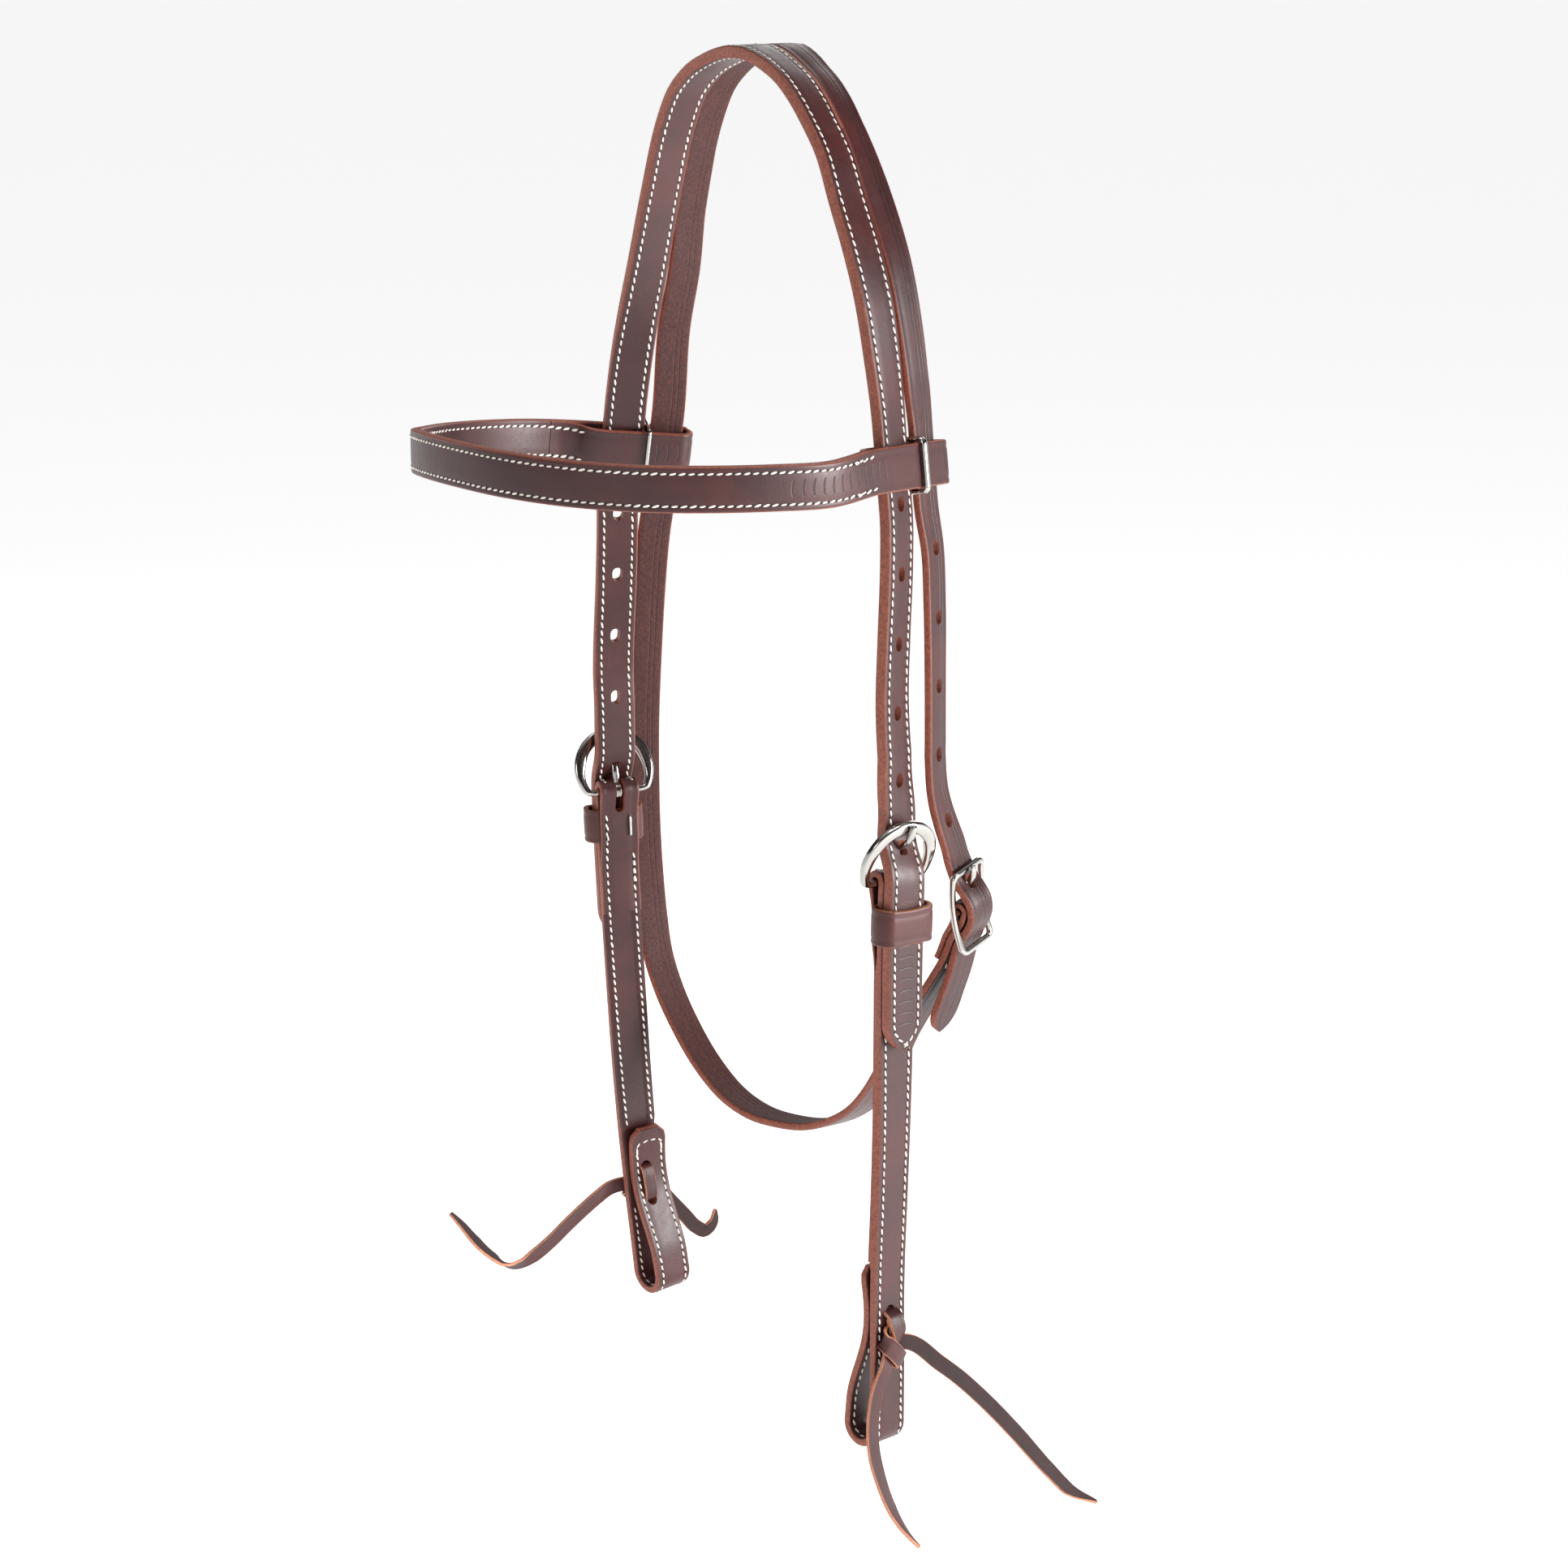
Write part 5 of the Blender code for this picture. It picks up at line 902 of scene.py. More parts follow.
@dataclass(frozen=True)
class Leather(Finish):
    """Strap leather: fine grain, mottled dye, burnished edges and a rough flesh side."""

    grain: Colour = (0.062, 0.0130, 0.0120)
    deep: Colour = (0.036, 0.0080, 0.0085)
    edge: Colour = (0.370, 0.108, 0.060)
    edge_deep: Colour = (0.185, 0.048, 0.031)
    flesh: Colour = (0.085, 0.0210, 0.0145)
    roughness: float = 0.41
    press_depth: float = 0.95
    creases: Tuple[float, ...] = ()
    press: Tuple[Pair, ...] = ()

    RUDDY = (1.55, 1.35, 1.15)
    SCUFFED = (0.20, 0.11, 0.10)
    PRESSED = (0.012, 0.005, 0.005)
    PRESS_BOW, PRESS_PITCH = 55.0, 0.0042

    def dress(self, shader: Any) -> None:
        """Colour, gloss and bump from the piece's lay and side maps."""
        place = self.objects()
        along, across = self.chart("lay")
        edge, back = self.chart("side")
        mottle = self.noise(place, 34.0, 4.0, 0.6)
        fine = self.noise(place, 420.0, 3.0)
        fibre = self.noise(place, 900.0, 4.0, 0.7)
        stretch = self.noise(self.vector(along * 30.0, across * 900.0), 1.0, 2.0)
        marks = self.mark(along, across)
        dye = self.mix(marks * 0.72, self.dye(place, along, across, mottle, stretch), self.PRESSED)
        rim = self.mix(fibre.within(0.30, 0.70), self.edge_deep, self.edge)
        rim = self.mix(self.noise(place, 60.0).within(0.5, 0.8) * 0.4, rim, self.edge_deep)
        suede = self.mix(fibre.within(0.35, 0.7), self.deep, self.flesh)
        self.link(self.mix(edge, self.mix(back, dye, suede), rim), shader.inputs["Base Color"])
        rough = self.roughness + (fine - 0.5) * 0.16 + (mottle - 0.5) * 0.14 + back * 0.30 + edge * 0.16
        self.link(rough, shader.inputs["Roughness"])
        pores = self.cells(place, 1900.0)
        wrinkle = self.noise(self.vector(along * 900.0, across * 260.0), 1.0, 3.0, 0.6)
        height = pores * -0.35 + fine * 0.35 + wrinkle * 0.50 + stretch * 0.12
        height = height * (1.0 - edge * 0.4) + fibre * (back * 1.1 + edge * 0.9) - marks * 2.2
        self.link(self.bump(height, 0.00007, 0.8), shader.inputs["Normal"])
        shader.inputs["Specular IOR Level"].default_value = 0.48

    def dye(self, place: Value, along: Value, across: Value, mottle: Value, stretch: Value) -> Value:
        """The grain side's dye: mottled, ruddier in places, scuffed and streaked down the strap."""
        dye = self.mix(mottle.within(0.32, 0.72), self.deep, self.grain)
        ruddy = tuple(c * k for c, k in zip(self.grain, self.RUDDY))
        dye = self.mix(self.noise(place, 13.0, 2.0).within(0.52, 0.75) * 0.55, dye, ruddy)
        scuff = self.noise(self.vector(along * 25.0, across * 420.0, 3.0), 1.0, 4.0, 0.7)
        dye = self.mix(scuff.within(0.62, 0.80) * 0.09, dye, self.SCUFFED)
        return self.mix(stretch.within(0.45, 0.75) * 0.16, dye, self.deep)

    def mark(self, along: Value, across: Value) -> Value:
        """Creases and rows of bowed presser-foot marks, from 0 to 1 and deeper where they meet."""
        drift = (self.noise(self.vector(along * 55.0, 0.0), 1.0, 2.0) - 0.5) * 0.0006
        total: Any = across * 0.0
        for place in self.creases:
            total = total + (1.0 - ((across + drift - place).size()).within(0.00012, 0.00045))
        for start, end in self.press:
            bow = (across * across) * self.PRESS_BOW
            step = ((along + bow) / self.PRESS_PITCH).part() - 0.5
            line = 1.0 - step.size().within(0.02, 0.10)
            line = line * (1.0 - across.size().within(0.0026, 0.0034))
            line = line * along.within(start, start + 0.004) * (1.0 - along.within(end - 0.014, end))
            total = total + line * self.press_depth
        return total


@dataclass(frozen=True)
class Lace(Leather):
    """Lace leather for the ties: dark grain, nearly black flesh side, pale cut edges."""

    grain: Colour = (0.060, 0.0120, 0.0110)
    deep: Colour = (0.034, 0.0072, 0.0072)
    edge: Colour = (0.66, 0.290, 0.165)
    edge_deep: Colour = (0.46, 0.170, 0.095)
    flesh: Colour = (0.0115, 0.0082, 0.0082)
    roughness: float = 0.46


@dataclass(frozen=True)
class Plate(Finish):
    """Polished nickel plate with faint hairlines."""

    colour: Colour = (0.47, 0.455, 0.43)
    roughness: float = 0.13

    def dress(self, shader: Any) -> None:
        """Metal with fine scratches and a slight haze."""
        place = self.objects()
        haze = self.noise(place, 90.0, 3.0)
        drawn = self.node("ShaderNodeMapping", inputs={"Vector": place, "Scale": (900.0, 2600.0, 900.0)})
        lines = self.noise(drawn, 1.0, 2.0)
        self.link(self.mix(haze.within(0.35, 0.75), self.colour, tuple(c * 0.90 for c in self.colour)),
                  shader.inputs["Base Color"])
        rough = self.roughness + (haze - 0.5) * 0.08 + (lines - 0.5) * 0.05
        self.link(rough, shader.inputs["Roughness"])
        self.link(self.bump(lines + haze * 0.5, 0.00001, 0.35), shader.inputs["Normal"])
        shader.inputs["Metallic"].default_value = 1.0


@dataclass(frozen=True)
class Thread(Finish):
    """Waxed off-white thread with its twist."""

    colour: Colour = (0.86, 0.80, 0.72)

    def dress(self, shader: Any) -> None:
        """Pale, slightly soiled, with a fine twist."""
        place = self.objects()
        soil = self.noise(place, 160.0, 3.0)
        twist = self.node("ShaderNodeTexWave", {"bands_direction": "DIAGONAL"},
                          {"Vector": place, "Scale": 900.0, "Distortion": 2.0}, output="Fac")
        self.link(self.mix(soil.within(0.4, 0.75), self.colour, tuple(c * 0.72 for c in self.colour)),
                  shader.inputs["Base Color"])
        self.link(self.bump(twist, 0.00006, 0.6), shader.inputs["Normal"])
        self.link(0.55 + (soil - 0.5) * 0.2, shader.inputs["Roughness"])


@dataclass(frozen=True)
class HoleShade(Finish):
    """Painted shade of a stitch hole."""

    def dress(self, shader: Any) -> None:
        """Painted shade: nearly black, with a little leather colour mottled in."""
        place = self.objects()
        self.link(self.mix(self.noise(place, 500.0), (0.010, 0.004, 0.004), (0.022, 0.009, 0.008)),
                  shader.inputs["Base Color"])
        shader.inputs["Roughness"].default_value = 0.8


class Wardrobe:
    """The finishes, each made once."""

    def __init__(self) -> None:
        """Make every finish."""
        self.crown = Leather("crown_leather", creases=(0.1028, 0.1008), press=((0.006, 0.060),)).make()
        self.brow = Leather("browband_leather", press=((0.036, 0.092),), press_depth=1.3).make()
        self.cheek = Leather("cheek_leather").make()
        self.keeper = Leather(
            "keeper_leather", grain=(0.080, 0.0120, 0.0105), deep=(0.056, 0.0090, 0.0085),
            edge=(0.36, 0.140, 0.062), edge_deep=(0.18, 0.060, 0.030), roughness=0.36).make()
        self.lace = Lace("lace_leather").make()
        self.nickel = Plate("nickel_plate").make()
        self.steel = Plate("staple_wire", colour=(0.58, 0.58, 0.58), roughness=0.24).make()
        self.thread = Thread("waxed_thread").make()
        # Painted shade for the stitch holes, laid on as dark discs.
        self.hole_shade = HoleShade("painted_hole_shade").make()


class Fitter:
    """Gives each finished piece its material and body, and hides the CAD nodes that it stands for."""

    def __init__(self) -> None:
        """Start with no pieces."""
        self.count = 0

    def fit(self, piece: bpy.types.Object, look: Optional[bpy.types.Material], body: str,
            slot: Optional[Slot] = None, nodes: Iterable[str] = ()) -> bpy.types.Object:
        """Dress and mount one piece.

        Args:
            piece: The finished object.
            look: Its material, or None where it has its own.
            body: CAD body that it rides on.
            slot: Finish that it takes from the record; not used.
            nodes: CAD nodes that it stands for.

        Returns:
            The piece.
        """
        if look is not None:
            piece.data.materials.clear()
            piece.data.materials.append(look)
        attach(piece, body)
        names = list(nodes)
        if names:
            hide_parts(*names)
        self.count += 1
        LOG.info("%s: %d faces on %s", piece.name, len(piece.data.polygons), body)
        return piece


# Crown and throat latch


@dataclass
class Crown:
    """The split crown with its billets, the throat latch and its chape.

    Paths near the buckles are given as shares of the reach from a bar to the far side of its
    frame, and of a lift. The lay map is moved by rear_base across for the rear half and by
    poll_base along for the poll, so that creases and presser marks fall on one part only.
    """

    courses: Courses
    cheek_tail: float = 0.062
    arch_step: float = 0.004
    strap_step: float = 0.004
    billet_step: float = 0.0016
    hole_pitch: float = 0.025
    hole_length: float = 0.0055
    hole_width: float = 0.0040
    ring_reach: float = 0.0231
    throat_tail: float = 0.050
    throat_return: float = 0.025
    fold_ply: float = 0.0022
    fold_radius: float = 0.0015
    throat_reach: float = 0.0158
    rear_base: float = 0.1
    poll_base: float = 0.4
    billet_shares: Tuple[Tuple[float, Optional[float]], ...] = (
        (2.05, None), (1.50, -0.02), (1.15, -0.03), (0.90, -0.03), (0.71, 0.0), (0.56, 0.21), (0.41, 0.52),
        (0.25, 0.82), (0.11, 0.97), (0.0, 1.0), (-0.25, 1.0))
    throat_shares: Tuple[Pair, ...] = (
        (3.8, 0.0), (2.6, 0.16), (1.65, 0.31), (1.08, 0.325), (0.76, 0.43), (0.44, 0.775), (0.19, 0.97),
        (0.0, 1.0), (-0.19, 0.97), (-0.44, 0.785), (-0.76, 0.47), (-1.0, 0.345), (-1.27, 0.375))
    throat_tail_shares: Tuple[Pair, ...] = ((0.45, 0.55), (1.0, 0.80))
    latch_shares: Tuple[Pair, ...] = (
        (0.13, 2.10), (0.32, 1.62), (0.57, 0.80), (0.76, 0.30), (0.92, 0.04), (1.08, 0.0))
    return_shares: Tuple[Pair, ...] = (
        (0.19, 0.38), (0.38, 0.02), (0.57, -0.50), (0.76, -0.97), (0.95, -1.16), (1.14, -1.18))
    rows: List[Row] = field(default_factory=list)

    def billet(self) -> List[Pair]:
        """Grain face of a front billet as (down, lift): behind the ring, over the bar, to its tip."""
        ring_thick, ring_width = 0.003, 0.0048
        behind = (RING_BAR_LIFT + math.sin(RING_TILT) * self.ring_reach
                  - math.cos(RING_TILT) * ring_thick - math.sin(RING_TILT) * ring_width)
        over = STACK + SEAM
        path = [(-h * self.ring_reach, 0.0 if b is None else behind + (over - behind) * b)
                for h, b in self.billet_shares]
        straight = spread(path[-1][0], self.cheek_tail - TIP, self.strap_step)[1:]
        return smoothed(path, self.billet_step) + [(d, over) for d in straight]

    def with_tip(self, path: List[Pair], half: float) -> Tuple[List[Pair], List[float]]:
        """The path continued to a pointed tip, and the half width at each place."""
        halves = [half] * len(path)
        (down, lift), (before, level) = path[-1], path[-2]
        slope = (lift - level) / (down - before)
        for share in tip_places():
            path = path + [(down + TIP * share, lift + TIP * share * slope)]
            halves.append(half * tip_share(share))
        return path, halves

    def leg_cuts(self, leg: Leg, grain: Sequence[Pair], back: Sequence[Pair], halves: Sequence[float],
                 base: float, flesh: float) -> List[Cut]:
        """Sections along a (down, lift) path read from a leg."""
        cuts = sections(leg, grain, back, flesh=flesh, across_base=base)
        for cut, half in zip(cuts, halves):
            cut.half = half
        if halves[-1] < halves[0]:
            for cut, share in zip(cuts[-TIP_STEPS:], tip_places()):
                cut.tip = share
        return cuts

    def front_cuts(self, places: Sequence[float]) -> List[Cut]:
        """Sections of the doubled front half straight along its course."""
        frames = [self.courses.front.frame(s) for s in places]
        return [Cut(point, -outward * STACK, width, WIDTH / 2, s)
                for s, (point, _, outward, width) in zip(places, frames)]

    def rear_cuts(self, course: Course, places: Sequence[float], across: float = 0.0) -> List[Cut]:
        """Sections of the single-ply rear half straight along a course."""
        frames = [course.frame(s) for s in places]
        return [Cut(point + width * across, -outward * PLY, width, THROAT_WIDTH / 2, s, flesh=1.0,
                    across_base=self.rear_base)
                for s, (point, _, outward, width) in zip(places, frames)]

    def front_side(self, side: Side) -> List[Cut]:
        """The front half below the split on one side, tip first."""
        leg, split = self.courses.legs[side], self.courses.splits[side]
        path, halves = self.with_tip(self.billet(), WIDTH / 2)
        back = offset(path, [STACK] * len(path))
        billet = self.leg_cuts(leg, path, back, halves, 0.0, 0.0)
        start = leg.origin + leg.sense * path[0][0]
        cuts = self.front_cuts(spread(split, start, self.strap_step)[1:-1]) + billet
        total = 0.0
        for one, two in zip(cuts, cuts[1:]):
            total += (two.face - one.face).length
            two.along = total
        cuts[0].along = 0.0
        for cut in cuts:
            cut.along = total - cut.along
        return list(reversed(cuts))

    def rear_near(self) -> List[Cut]:
        """The near throat billet, tip first."""
        leg = self.courses.throat_leg
        over = THROAT_BAR_LIFT + self.fold_radius + self.fold_ply + SEAM + PLY
        path = [(-h * self.throat_reach, l * over) for h, l in self.throat_shares]
        last = path[-1][0]
        rest = self.throat_tail - TIP - last
        path += [(last + a * rest, l * over) for a, l in self.throat_tail_shares]
        path, halves = self.with_tip(smoothed(path, self.billet_step), THROAT_WIDTH / 2)
        back = offset(path, [PLY] * len(path))
        billet = self.leg_cuts(leg, path, back, halves, self.rear_base, 1.0)
        start = leg.origin + leg.sense * path[0][0]
        end = float(self.courses.throat.knots[-2])
        strap = self.rear_cuts(self.courses.throat, spread(end, start, self.strap_step)[1:-1])
        return list(reversed(strap + billet))

    def rear_off(self) -> List[Cut]:
        """The off strap, under the throat, to the chape's returned end."""
        leg = self.courses.throat_leg
        reach, ply = self.throat_reach, self.fold_ply
        inner = [(d * reach, l * THROAT_BAR_LIFT) for d, l in self.return_shares]
        inner = smoothed([(self.throat_return, inner[-1][1])] + list(reversed(inner)), self.billet_step)
        fold = arc((0.0, THROAT_BAR_LIFT), self.fold_radius, -180, 0, 18)
        flesh = inner + fold[1:]
        grain = offset(flesh, [-ply] * len(flesh))
        outer = [(d * reach, l * THROAT_BAR_LIFT) for d, l in self.latch_shares]
        outer.append((self.throat_tail + 0.008, 0.0))
        joined = [grain[-1]] + smoothed([grain[-1]] + outer, self.billet_step)[1:]
        ease = [ply + (PLY - ply) * min(i / 8, 1) for i in range(len(joined))]
        below = offset(joined, ease)
        grain, flesh = grain + joined[1:], flesh + below[1:]
        chape = self.leg_cuts(leg, grain, flesh, [THROAT_WIDTH / 2] * len(grain), self.rear_base, 1.0)
        end = leg.origin + leg.sense * grain[-1][0]
        course = self.courses.throat
        latch = self.rear_cuts(course, spread(float(course.knots[1]), end, self.strap_step)[1:-1])
        self.rows += self.chape_rows(chape)
        return latch + list(reversed(chape))

    def chape_rows(self, chape: Sequence[Cut]) -> List[Row]:
        """Stitches that hold the returned end of the throat chape."""
        back = [cut for cut in chape[2:] if cut.along < self.throat_return - 0.011]
        leg = self.courses.throat_leg
        rows = [face_row(back, side) for side in (-1, 1)]
        for side in (-1, 1):
            row = Row()
            for d in spread(0.016, self.throat_return + 0.001, 0.002):
                row.add(leg.at(d, THREAD_LIFT, side * (THROAT_WIDTH / 2 - 0.0021)), leg.outward(d))
            rows.append(row)
        return rows

    def build(self) -> bpy.types.Object:
        """The whole crown and throat latch, punched.

        The front and rear halves are two tubes. Between the splits the walls that face each other are left
        out and the halves are joined over the gap, so that the poll is one wide strap.
        """
        courses = self.courses
        low = spread(courses.crests[0], courses.splits[Side.NEAR], self.arch_step)
        top = spread(courses.crests[1], courses.splits[Side.OFF], self.arch_step)
        stations = list(reversed(low)) + top
        near, off = self.front_side(Side.NEAR), list(reversed(self.front_side(Side.OFF)))
        middle = self.front_cuts(stations)
        rear = self.rear_cuts(courses.front, stations, courses.rear_offset)
        for cut in middle + rear:
            cut.along += self.poll_base
        rear_near, rear_off = self.rear_near(), self.rear_off()
        front = near + middle + off
        self.rows += [face_row(front, side, back) for side in (-1, 1) for back in (False, True)]
        skin = Skin()
        front_rows = [skin.row(c) for c in front]
        rear_rows = [skin.row(c) for c in rear_near + rear + rear_off]
        first, last = len(near), len(near) + len(middle) - 1
        start = len(rear_near)
        corner = Cut.CORNER + 1
        face_end = 2 * corner + len(Cut.FACE_PLACES)
        f_top, f_low = face_end + 2, face_end + corner + 1
        r_low, r_top = 2, corner + 1
        skin.walls(front_rows, open_at=range(f_top, f_low), first=first, last=last)
        skin.walls(rear_rows, open_at=range(r_low, r_top), first=start, last=start + last - first)
        for i in range(first, last):
            a, b = front_rows[i], front_rows[i + 1]
            c, d = rear_rows[i - first + start], rear_rows[i - first + start + 1]
            skin.face((a[f_top], c[r_top], d[r_top], b[f_top]))
            skin.face((a[f_low], b[f_low], d[r_low], c[r_low]))
        for i in (first, last):
            a, c = front_rows[i], rear_rows[i - first + start]
            skin.face([a[k] for k in range(f_top, f_low + 1)] + [c[k] for k in range(r_low, r_top + 1)])
        piece = skin.finish("crown")
        return punch(piece, self.cutters())

    def cutters(self) -> List[bpy.types.Object]:
        """The billets' buckle holes, the passage of each tongue, and the slot in the throat chape."""
        ring = (0.575 * self.ring_reach, RING_BAR_LIFT, self.ring_reach,
                ((0.370, 0.068), (0.612, 0.250)), 0.0048, STACK)
        latch = (0.630 * self.throat_reach, THROAT_BAR_LIFT, self.throat_reach,
                 ((0.400, 0.072), (0.712, 0.215)), 0.0046, PLY)
        throat_leg = self.courses.throat_leg
        legs = {f"{side.value}_holes": (leg, ring) for side, leg in self.courses.legs.items()}
        made = []
        for name, (leg, item) in {**legs, "throat_holes": (throat_leg, latch)}.items():
            first, bar, reach, shares, size, thick = item
            skin = Skin()
            for i in range(1, 6):
                prism(skin, leg, -first - i * self.hole_pitch, -thick - PUNCH_DEPTH,
                      self.hole_length, self.hole_width)
            one, two = [Vector((-h * reach, bar + l * reach)) for h, l in shares]
            along = (two - one).normalized()
            aside = Vector((along.y, -along.x))
            one, two = one - along * 0.0015, two + along * 0.0015
            outline = round_outline(size / 2, 0.0019, 0.0008, 4)
            skin.plain([[leg.at(*(end + aside * a), b) for a, b in outline] for end in (one, two)])
            made.append(skin.finish(name))
        slot, radius = Skin(), self.fold_radius + self.fold_ply + 0.00015
        circle = arc((0.0, THROAT_BAR_LIFT), radius, 0, 360, 24)[:-1]
        slot.plain([[throat_leg.at(d, l, w) for d, l in circle] for w in (-0.0019, 0.0019)])
        return made + [slot.finish("throat_slot")]


# Browband


@dataclass
class Browband:
    """The browband: outer ply turned at both ends, inner ply, and two wire rings."""

    courses: Courses
    step: float = 0.003
    returned: float = 0.052
    wire: float = 0.0020
    ring_width: float = 0.0030
    ring_room: float = 0.0011
    wire_gap: float = 0.0004
    ramp: Tuple[Pair, ...] = ((1.0, 0.0), (0.66, 0.16), (0.33, 0.72), (0.0, 1.0))
    rows: List[Row] = field(default_factory=list)

    @property
    def space(self) -> float:
        """Room between the plies of a loop."""
        return STACK + 2 * self.courses.layout.loop_clearance

    def fold(self, side: Side) -> Tuple[float, float, float]:
        """Gap between the straps, room behind them, and the loop's end, on one side."""
        lay = self.courses.layout
        gap, room = ((lay.near_gap, lay.near_turn_room) if side is Side.NEAR
                     else (lay.off_gap, -lay.off_turn_tuck))
        return gap, room, room + THROAT_WIDTH + gap + WIDTH

    def turn_cuts(self, side: Side) -> List[Cut]:
        """The returned end and its turn, from the returned ply's end to the outer ply."""
        _, _, end = self.fold(side)
        lift = GLUED + self.space
        flesh = [(self.returned, GLUED)]
        flesh += [(end + WIDTH * a, GLUED + self.space * d) for a, d in self.ramp]
        flesh = smoothed([(-a, -d) for a, d in flesh], self.step)
        glue = [abs(p[1] + GLUED) < 0.0002 for p in flesh]
        flesh += [(d, -lift) for d in spread(flesh[-1][0], 0.0, self.step)[1:-1]]
        glue += [False] * (len(flesh) - len(glue))
        steps = 20
        bend = arc((0.0, -PLY - self.space / 2), self.space / 2, 180, 0, steps)
        shift = bend[0][1] + lift
        flesh += [(d, l - shift * (1 - i / steps)) for i, (d, l) in enumerate(bend)]
        glue += [False] * len(bend)
        depths = [LINER + (FOLD_PLY - LINER) * clamp((abs(l) - GLUED) / self.space * 1.4)
                  for _, l in flesh]
        depths = depths[:-6] + [FOLD_PLY + (PLY - FOLD_PLY) * i / 6 for i in range(1, 7)]
        leg = Leg(self.courses.brow, self.courses.brow_turns[side], side.sense)
        cuts = sections(leg, offset(flesh, depths), flesh, flesh=1.0)
        for cut, glued in zip(cuts, glue):
            cut.round_back = GLUED_ROUND if glued else EDGE_ROUND
        return cuts

    def build(self) -> bpy.types.Object:
        """Both plies as one piece."""
        brow = self.courses.brow
        near, off = self.turn_cuts(Side.NEAR), self.turn_cuts(Side.OFF)
        turns = self.courses.brow_turns
        starts = [turns[s] - s.sense * self.returned for s in Side]
        loop_start, loop_end = [turns[s] - s.sense * (self.fold(s)[2] + WIDTH * 0.9) for s in Side]
        first, last = turns.values()
        band = []
        for s in spread(first, last, self.step)[1:-1]:
            point, _, outward, width = brow.frame(s)
            glued = clamp(min(s - loop_start, loop_end - s) / PARTING)
            band.append(Cut(point, -outward * (PLY + SEAM * glued), width, WIDTH / 2, s - first,
                            flesh=1.0, round_back=EDGE_ROUND * (1 - glued) + GLUED_ROUND))
        skin = Skin()
        skin.body(near + band + list(reversed(off)))
        lining = []
        for s in spread(starts[0] + SEAM, starts[1] - SEAM, self.step):
            point, _, outward, width = brow.frame(s)
            lining.append(Cut(point - outward * STACK, outward * LINER, width, WIDTH / 2, s - first,
                              round_back=GLUED_ROUND))
        skin.body(lining)
        inner = [c for c in band if loop_start - 0.001 < first + c.along < loop_end + 0.001]
        for side in (-1, 1):
            outer = face_row(inner, side)
            self.rows += [outer, backstitch(outer, 0), backstitch(outer, -1), face_row(lining, side)]
            for cuts, whose in ((near, Side.NEAR), (off, Side.OFF)):
                until = self.returned - self.fold(whose)[2] - WIDTH * 0.55
                held = face_row([c for c in cuts if c.along < until], side)
                self.rows += [held, backstitch(held, -1)]
        return skin.finish("browband")

    def ring(self, side: Side) -> bpy.types.Object:
        """A bent wire ring round both plies, between the straps."""
        gap, room, _ = self.fold(side)
        middle = self.courses.brow_turns[side] - side.sense * (room + THROAT_WIDTH + gap / 2)
        slack = self.wire / 2 + self.wire_gap
        depth = PLY + self.space + FOLD_PLY
        outline = round_outline(depth / 2 + slack, WIDTH / 2 + slack, self.wire, 7)
        brow = self.courses.brow
        path = [brow.at(middle, -depth / 2 + a, b) for a, b in outline]
        skin = Skin()
        along = brow.frame(middle)[1]
        wide = min(self.ring_width, gap - self.ring_room)
        rings = wire_rings(path, self.wire / 2, 16, True, along)
        for point, ring in zip(path, rings):
            for k, place in enumerate(ring):
                rise = (place - point).dot(along)
                ring[k] = place + along * rise * (wide / self.wire - 1)
        skin.plain(rings, closed=True)
        return skin.finish(f"{side.value}_brow_ring", sharp=WIRE_SHARP)


def wire_rings(path: Sequence[Vector], radius: float, sides: int, closed: bool,
               flat: Vector) -> List[List[Vector]]:
    """Round outlines along a path; flat is a direction that the path never follows."""
    rings, count = [], len(path)
    for i, point in enumerate(path):
        after = path[(i + 1) % count] if closed else path[min(i + 1, count - 1)]
        before = path[i - 1] if closed else path[max(i - 1, 0)]
        travel = (after - before).normalized()
        side = travel.cross(flat).normalized()
        rise = side.cross(travel).normalized()
        rings.append([point + (side * math.cos(a) + rise * math.sin(a)) * radius
                      for a in (math.tau * (k + 0.5) / sides for k in range(sides))])
    return rings


# Cheek straps


